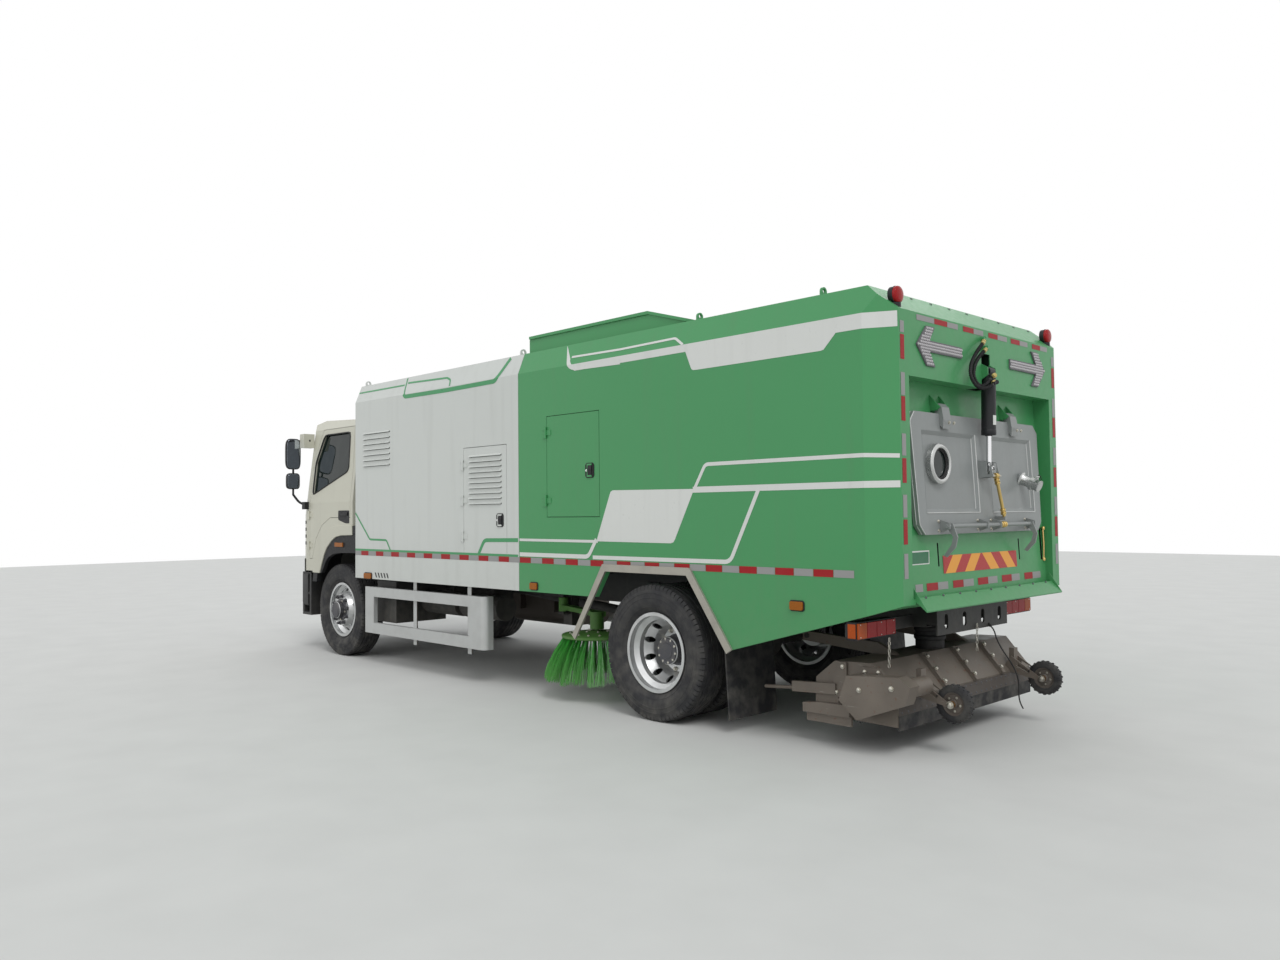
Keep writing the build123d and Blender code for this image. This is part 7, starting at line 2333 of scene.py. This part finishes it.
@dataclass
class CabSide:
    """The wheel arch's cream flange and black band, its lamp, the door's window rubber and its handle."""

    outer: tuple[Point, ...] = ((3.305, 0.9), (3.268, 0.979), (3.203, 1.102), (3.139, 1.184), (3.033, 1.262),
        (2.928, 1.311), (2.804, 1.33), (2.55, 1.336), (2.448, 1.336))
    inner: tuple[Point, ...] = ((3.272, 0.9), (3.215, 0.97), (3.175, 1.03), (3.1, 1.085), (3.0, 1.118),
        (2.868, 1.135), (2.55, 1.142), (2.448, 1.142))
    arch_centre: Point = (2.85, 0.8198)
    arch_r: float = 0.6242
    arch_turn: float = 76.8
    flange_y: float = 1.1865
    band_y: float = 1.1765
    window: tuple[Point, ...] = ((2.73, 2.03), (2.695, 2.07), (2.735, 2.475), (3.34, 2.475), (3.496, 2.165),
        (3.5, 1.79))

    def build(self, side: Side) -> None:
        """Makes one side's trims.

        Args:
            side: Left or right.
        """
        self.arch(side)
        self.door(side)

    def arch(self, side: Side) -> None:
        """The flange, the band below it and the lamp above it.

        Args:
            side: Left or right.
        """
        s = side.value
        x, z = self.arch_centre
        bend = [math.radians(90 - self.arch_turn * k / 24) for k in range(25)]
        line = [(x + self.arch_r * math.cos(a), z + self.arch_r * math.sin(a))
            for a in bend] + [(3.475, 0.9)]
        flange = Shape()
        self.strip(flange, [(2.547, 1.444)] + line, [(2.547, 1.336)] + list(reversed(self.outer[:7])), s,
            self.flange_y)
        flange.finish(f"arch_flange_{side.word}", "cab", "cream_enamel", bevel=0.005)
        band = Shape()
        self.strip(band, list(reversed(self.outer)), list(reversed(self.inner)), s, self.band_y)
        band.finish(f"arch_band_{side.word}", "cab", "black_plastic", bevel=0.003)
        lamp = Shape()
        lamp.box((2.742, s * 1.176, 1.198), (2.938, s * 1.18, 1.258), 1)
        lamp.box((2.75, s * 1.1795, 1.205), (2.93, s * 1.1925, 1.251), 0)
        lamp.finish(f"side_turn_lamp_{side.word}", "cab", "amber_lens", "black_plastic", bevel=0.006)

    def strip(self, made: Shape, upper: Sequence[Point], lower: Sequence[Point], s: float,
            out: float) -> None:
        """A flat closed strip between two lines, both told in the same direction.

        Args:
            made: Where it goes.
            upper: One edge, as x and z.
            lower: The other edge.
            s: One on the left, minus one on the right.
            out: How far out its face stands.
        """
        count = 48
        a, b = even(upper, count), even(lower, count)
        corners = [(p[0], s * y, p[1]) for y in (out, out - 0.045) for line in (a, b) for p in line]
        n = count + 1
        faces = []
        for k in range(count):
            faces += [(k, k + 1, n + k + 1, n + k), (2 * n + k, 3 * n + k, 3 * n + k + 1, 2 * n + k + 1),
                (k, 2 * n + k, 2 * n + k + 1, k + 1), (n + k, n + k + 1, 3 * n + k + 1, 3 * n + k)]
        faces += [(0, n, 3 * n, 2 * n), (count, 2 * n + count, 3 * n + count, n + count)]
        made.add(corners, faces)

    def door(self, side: Side) -> None:
        """The rubber round the door's window, and the door's handle.

        Args:
            side: Left or right.
        """
        body = f"cab_door_{side.word}"
        s = side.value
        loop = list(rounded(list(self.window) + list(self.window[:2]), 0.06, 4))[1:-1]
        rubber = Shape()
        line = [(x, s * (1.1805 - max(0.0, z - 1.7) * 0.1071), z) for x, z, *_ in loop]
        rubber.tube(line + line[:2], 0.0085, 0, 8)
        rubber.finish(f"door_window_rubber_{side.word}", body, "soft_rubber", smooth=True)
        handle = Shape()
        plan = rounded([(2.612, 1.47), (2.612, 1.606), (2.864, 1.606), (2.864, 1.502), (2.7, 1.464),
            (2.612, 1.464), (2.612, 1.48)], 0.02, 3)[1:-1]
        handle.prism([p[:2] for p in plan], *sorted((s * 1.178, s * 1.182)), Across.Y)
        handle.box((2.64, s * 1.18, 1.548), (2.838, s * 1.1945, 1.586))
        handle.finish(f"door_handle_{side.word}", body, "black_plastic", bevel=0.004)


def even(line: Sequence[Point], count: int) -> list[tuple[float, float]]:
    """A line's points at an even spacing, one more than the count.

    Args:
        line: The line's points.
        count: How many equal steps.

    Returns:
        The new points.
    """
    spots = [Vector(p[:2]) for p in line]
    lengths = [0.0]
    for a, b in zip(spots, spots[1:]):
        lengths.append(lengths[-1] + (b - a).length)
    out = []
    k = 0
    for i in range(count + 1):
        goal = lengths[-1] * i / count
        while k < len(spots) - 2 and lengths[k + 1] < goal:
            k += 1
        share = (goal - lengths[k]) / max(1e-9, lengths[k + 1] - lengths[k])
        out.append(tuple(spots[k].lerp(spots[k + 1], min(1.0, share))))
    return out


@dataclass
class Mirrors:
    """The outside mirrors of one side: housings, glass, arms and the cream foot box."""

    heads: tuple[tuple[float, float, float, float], ...] = ((1.31, 0.089, 2.27, 0.179),
        (1.31, 0.079, 1.955, 0.094))
    swell: tuple[tuple[float, float], ...] = ((3.7005, 1.0), (3.716, 1.0), (3.742, 0.93), (3.757, 0.74),
        (3.765, 0.4))
    rim: float = 0.011
    stem: float = 3.728

    def build(self, side: Side) -> None:
        """Makes one side's mirrors, which stand for the CAD's.

        Args:
            side: Left or right.
        """
        s = side.value
        heads = Shape()
        oval = [(math.copysign(abs(c) ** 0.45, c), math.copysign(abs(d) ** 0.45, d))
            for c, d in (polar(1.0, a) for a in turns(32))]
        for middle, half, centre, height in self.heads:
            corners = [(x, s * (middle + half * share * c), centre + height * (share * 0.5 + 0.5) * d)
                for x, share in self.swell for c, d in oval]
            heads.add(corners, rings(len(self.swell), len(oval)))
            heads.prism([(s * (middle + (half - self.rim) * c), centre + (height - self.rim) * d)
                for c, d in oval], 3.699, 3.701, Across.X, 1)
        x = self.stem
        heads.tube(rounded([(3.575, s * 1.165, 2.425), (x, s * 1.225, 2.425), (x, s * 1.31, 2.425)], 0.03),
            0.013)
        heads.tube([(x, s * 1.3, 1.79), (x, s * 1.3, 2.43)], 0.012)
        heads.tube(rounded([(3.62, s * 1.165, 1.675), (3.7, s * 1.235, 1.7), (x, s * 1.3, 1.8)], 0.05),
            0.013)
        heads.box((3.577, s * 1.1, 1.627), (3.65, s * 1.23, 1.713), 0)
        heads.box((3.577, s * 1.11, 2.342), (3.69, s * 1.238, 2.502), 2)
        piece = heads.finish(f"mirrors_{side.word}", "cab", "black_plastic", "mirror_face", "door_cream",
            bevel=0.003, smooth=True)
        if side is Side.LEFT:
            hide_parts("mirrors")


@dataclass
class FrontBumper:
    """The black bumper with its rounded corners, step wells, treads, lamps and the bare plate's holder."""

    half: tuple[Point, ...] = ((3.66, 1.1495), (3.79, 1.1495), (3.9, 1.1), (4.02, 1.035), (4.12, 0.955),
        (4.2, 0.87), (4.27, 0.74), (4.305, 0.55), (4.319, 0.3), (4.319, 0.0))
    well: tuple[tuple[Point, Point], ...] = (((3.62, 0.8, 0.402), (3.8, 1.146, 0.43)),
        ((3.63, 0.83, 0.64), (3.79, 1.146, 0.665)), ((3.58, 0.79, 0.402), (3.622, 1.148, 0.8995)),
        ((3.76, 0.86, 0.43), (3.8, 1.1465, 0.8995)), ((3.62, 0.79, 0.43), (3.77, 0.815, 0.8995)),
        ((3.58, 0.79, 0.88), (3.79, 1.147, 0.8995)), ((3.79, 0.6, 0.56), (3.9, 0.76, 0.82)))

    def build(self) -> None:
        """Makes the bumper, which stands for the CAD's."""
        plan = list(self.half) + [(x, -y) for x, y in reversed(self.half[:-1])]
        made = Shape()
        made.band(plan, [(-0.035, 0.5), (-0.008, 0.512), (0.0, 0.54), (0.0, 0.86), (-0.008, 0.888),
            (-0.03, 0.8995), (-0.06, 0.8995), (-0.06, 0.5)])
        for side in Side:
            s = side.value
            for low, high in self.well:
                made.box((low[0], s * low[1], low[2]), (high[0], s * high[1], high[2]))
            tread = Shape()
            for z in (0.43, 0.665):
                for k in range(7):
                    x = 3.64 + 0.022 * k
                    tread.box((x, s * 0.85, z - 0.001), (x + 0.008, s * 1.14, z + 0.005))
            tread.finish(f"step_ribs_{side.word}", "chassis", "dark_steel")
            lamps = Shape()
            section = [(s * out, z) for out, z in ((-0.01, 0.61), (0.0012, 0.62), (0.0012, 0.77),
                (-0.01, 0.78))]
            for mark, run in enumerate((((4.0, 1.046), (4.12, 0.955), (4.2, 0.87), (4.262, 0.755)),
                    ((3.925, 1.0865), (3.995, 1.049)))):
                lamps.band([(x, s * y) for x, y in run], section, mark)
            lamps.finish(f"head_lamps_{side.word}", "chassis", "clear_lens", "orange_lens", bevel=0.001)
        made.box((4.312, -0.245, 0.6), (4.3195, 0.245, 0.745))
        piece = made.finish("front_bumper_cover", "chassis", "bumper_black", bevel=0.006, smooth=True)
        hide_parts("front_bumper")
        plate = Shape()
        plate.prism(patch(-0.22, 0.22, 0.61, 0.735), 4.3185, 4.3199, Across.X)
        plate.finish("front_plate_blank", "chassis", "marking_white", bevel=0.0003)


@dataclass
class CabSeats:
    """Two cab seats: crowned cushions with sewn channels, on black pedestals."""

    places: tuple[float, ...] = (0.54, -0.54)
    pads: tuple[tuple[str, tuple[float, ...], tuple[float, ...], int, int],
        ...] = (("base", (3.03, 0.0, 1.62), (0.244, 0.232, 0.058), 2, 3),
        ("back", (2.727, 0.0, 1.932), (0.062, 0.232, 0.322), 0, 3),
        ("head", (2.731, 0.0, 2.34), (0.038, 0.136, 0.078), 0, 1))

    def build(self) -> None:
        """Makes the seats, which stand for the CAD's."""
        first = None
        for place, y in zip(("driver", "mate"), self.places):
            for name, centre, half, thin, channels in self.pads:
                piece = self.pad(f"{place}_seat_{name}", (centre[0], y, centre[2]), half, thin, channels)
                first = first or piece
            frame = Shape()
            frame.box((2.692, y - 0.17, 1.477), (3.2, y + 0.17, 1.5))
            frame.box((2.692, y - 0.15, 1.5), (2.838, y + 0.15, 1.59))
            frame.box((2.7, y - 0.2, 1.56), (3.23, y + 0.2, 1.578))
            for dy in (-0.07, 0.07):
                frame.tube([(2.73, y + dy, 2.21), (2.73, y + dy, 2.29)], 0.007)
            frame.finish(f"{place}_seat_frame", "cab", "black_plastic", bevel=0.004)
        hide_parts("cab_seats")

    def pad(self, name: str, centre: Point, half: Point, thin: int, channels: int) -> bpy.types.Object:
        """One cushion, a rounded closed form that swells between its sewn lines.

        Args:
            name: The piece's name.
            centre: Its middle.
            half: Its half sizes.
            thin: The axis through its thickness.
            channels: How many panels it is sewn into.

        Returns:
            The cushion.
        """
        work = bmesh.new()
        bmesh.ops.create_cube(work, size=2.0)
        bmesh.ops.subdivide_edges(work, edges=work.edges[:], cuts=15, use_grid_fill=True)
        wide = [a for a in range(3) if a != thin]
        for vert in work.verts:
            p = vert.co.copy()
            round_off = max(1e-6, (abs(p[0]) ** 6 + abs(p[1]) ** 6 + abs(p[2]) ** 6) ** (1 / 6))
            p /= round_off
            a, b = p[wide[0]], p[wide[1]]
            swell = 0.8 + 0.2 * (1 - a * a) * (1 - b * b) ** 0.5 if abs(b) < 1 else 0.8
            seam = 1.0
            if channels > 1 and abs(a) < 0.999:
                for k in range(1, channels):
                    line = -0.62 + 1.24 * k / channels if channels > 2 else 0.0
                    seam -= 0.22 * math.exp(-((a - line) / 0.045) ** 2)
            edge = 1.0 - 0.05 * (a * a * b * b)
            out = [p[0], p[1], p[2]]
            out[thin] = p[thin] * swell * seam
            out[wide[0]] *= edge
            out[wide[1]] *= edge
            vert.co = Vector([centre[i] + half[i] * out[i] for i in range(3)])
        bmesh.ops.recalc_face_normals(work, faces=work.faces)
        mesh = bpy.data.meshes.new(name)
        work.to_mesh(mesh)
        work.free()
        mesh.shade_smooth()
        mesh.materials.append(PALETTE["seat_weave"])
        piece = placed(name, mesh)
        soft = piece.modifiers.new("soft", "SUBSURF")
        soft.levels = 1
        soft.render_levels = 1
        settle(piece, "cab")
        return piece


NODE_FINISH = {"green_enamel": "debris_tank locker_door_* roof_hatch", "door_silver": "tank_door latch_bar",
    "porthole_glass": "porthole_glass", "white_enamel": "engine_enclosure louvre_door_*",
    "bumper_black": "lift_barrel front_bumper", "bright_chrome": "lift_rod", "cream_enamel": "cab_shell",
    "door_cream": "cab_door_*", "cab_glazing": "cab_glass door_glass_*",
    "black_plastic": "dashboard mirrors front_fenders tail_lamps",
    "soft_rubber": "steering_wheel suction_duct", "seat_weave": "cab_seats",
    "chassis_black": "chassis_frame air_reservoirs battery_box",
    "axle_grey": "front_axle rear_axle drive_shaft engine_block knuckle_* track_rod",
    "guard_silver": "fuel_tank side_guards", "flap_rubber": "mud_flaps", "arch_zinc": "arch_trims",
    "wheel_silver": "front_rim_* rear_rims_*", "broom_plate": "broom_hood", "tyre_rubber": "gauge_wheel_*",
    "roller_fibre": "roller_brush", "broom_fibre": "side_brush_*", "broom_green": "broom_arm_*"}


def both_sides(names: str) -> list[str]:
    """The names in a line of text, each star of which stands for left and right."""
    return [name.replace("*", word) for name in names.split()
        for word in (("left", "right") if "*" in name else [""])]


def dress_nodes(frame: dict) -> None:
    """Gives every CAD node its finish.
    """
    for finish, names in NODE_FINISH.items():
        for name in both_sides(names):
            node = frame["nodes"][name]
            for holder in node if isinstance(node, (list, tuple)) else [node]:
                holder.data.materials.clear()
                holder.data.materials.append(PALETTE[finish])
                LOG.info("%s in %s", name, finish)


def main() -> None:
    """Loads the frame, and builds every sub-assembly in order."""
    logging.basicConfig(level=logging.INFO, format="%(name)s: %(message)s")
    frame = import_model()
    Viewpoint().build()
    for cord in CORDS:
        cord.build()
    Studio().build()
    dress_nodes(frame)
    dress_wheels()
    skin = Skin(frame, *both_sides("debris_tank engine_enclosure louvre_door_* locker_door_*"))
    Livery().build(skin)
    SideTape().build(skin)
    TailMarkings().build(skin)
    for side in Side:
        ArrowBoard().build(side, skin)
        SideFittings().build(side)
        TailLamps().build(side)
        SideBrush().build(side)
        GaugeWheel().build(side)
    TankDoorTrim().build()
    RollerBrush().build()
    RearUnitTrim().build()
    BarrelFittings().build()
    FrontBumper().build()
    CabFront().build()
    CabSeats().build()
    for side in Side:
        CabSide().build(side)
        Mirrors().build(side)


if __name__ == "__main__":
    main()
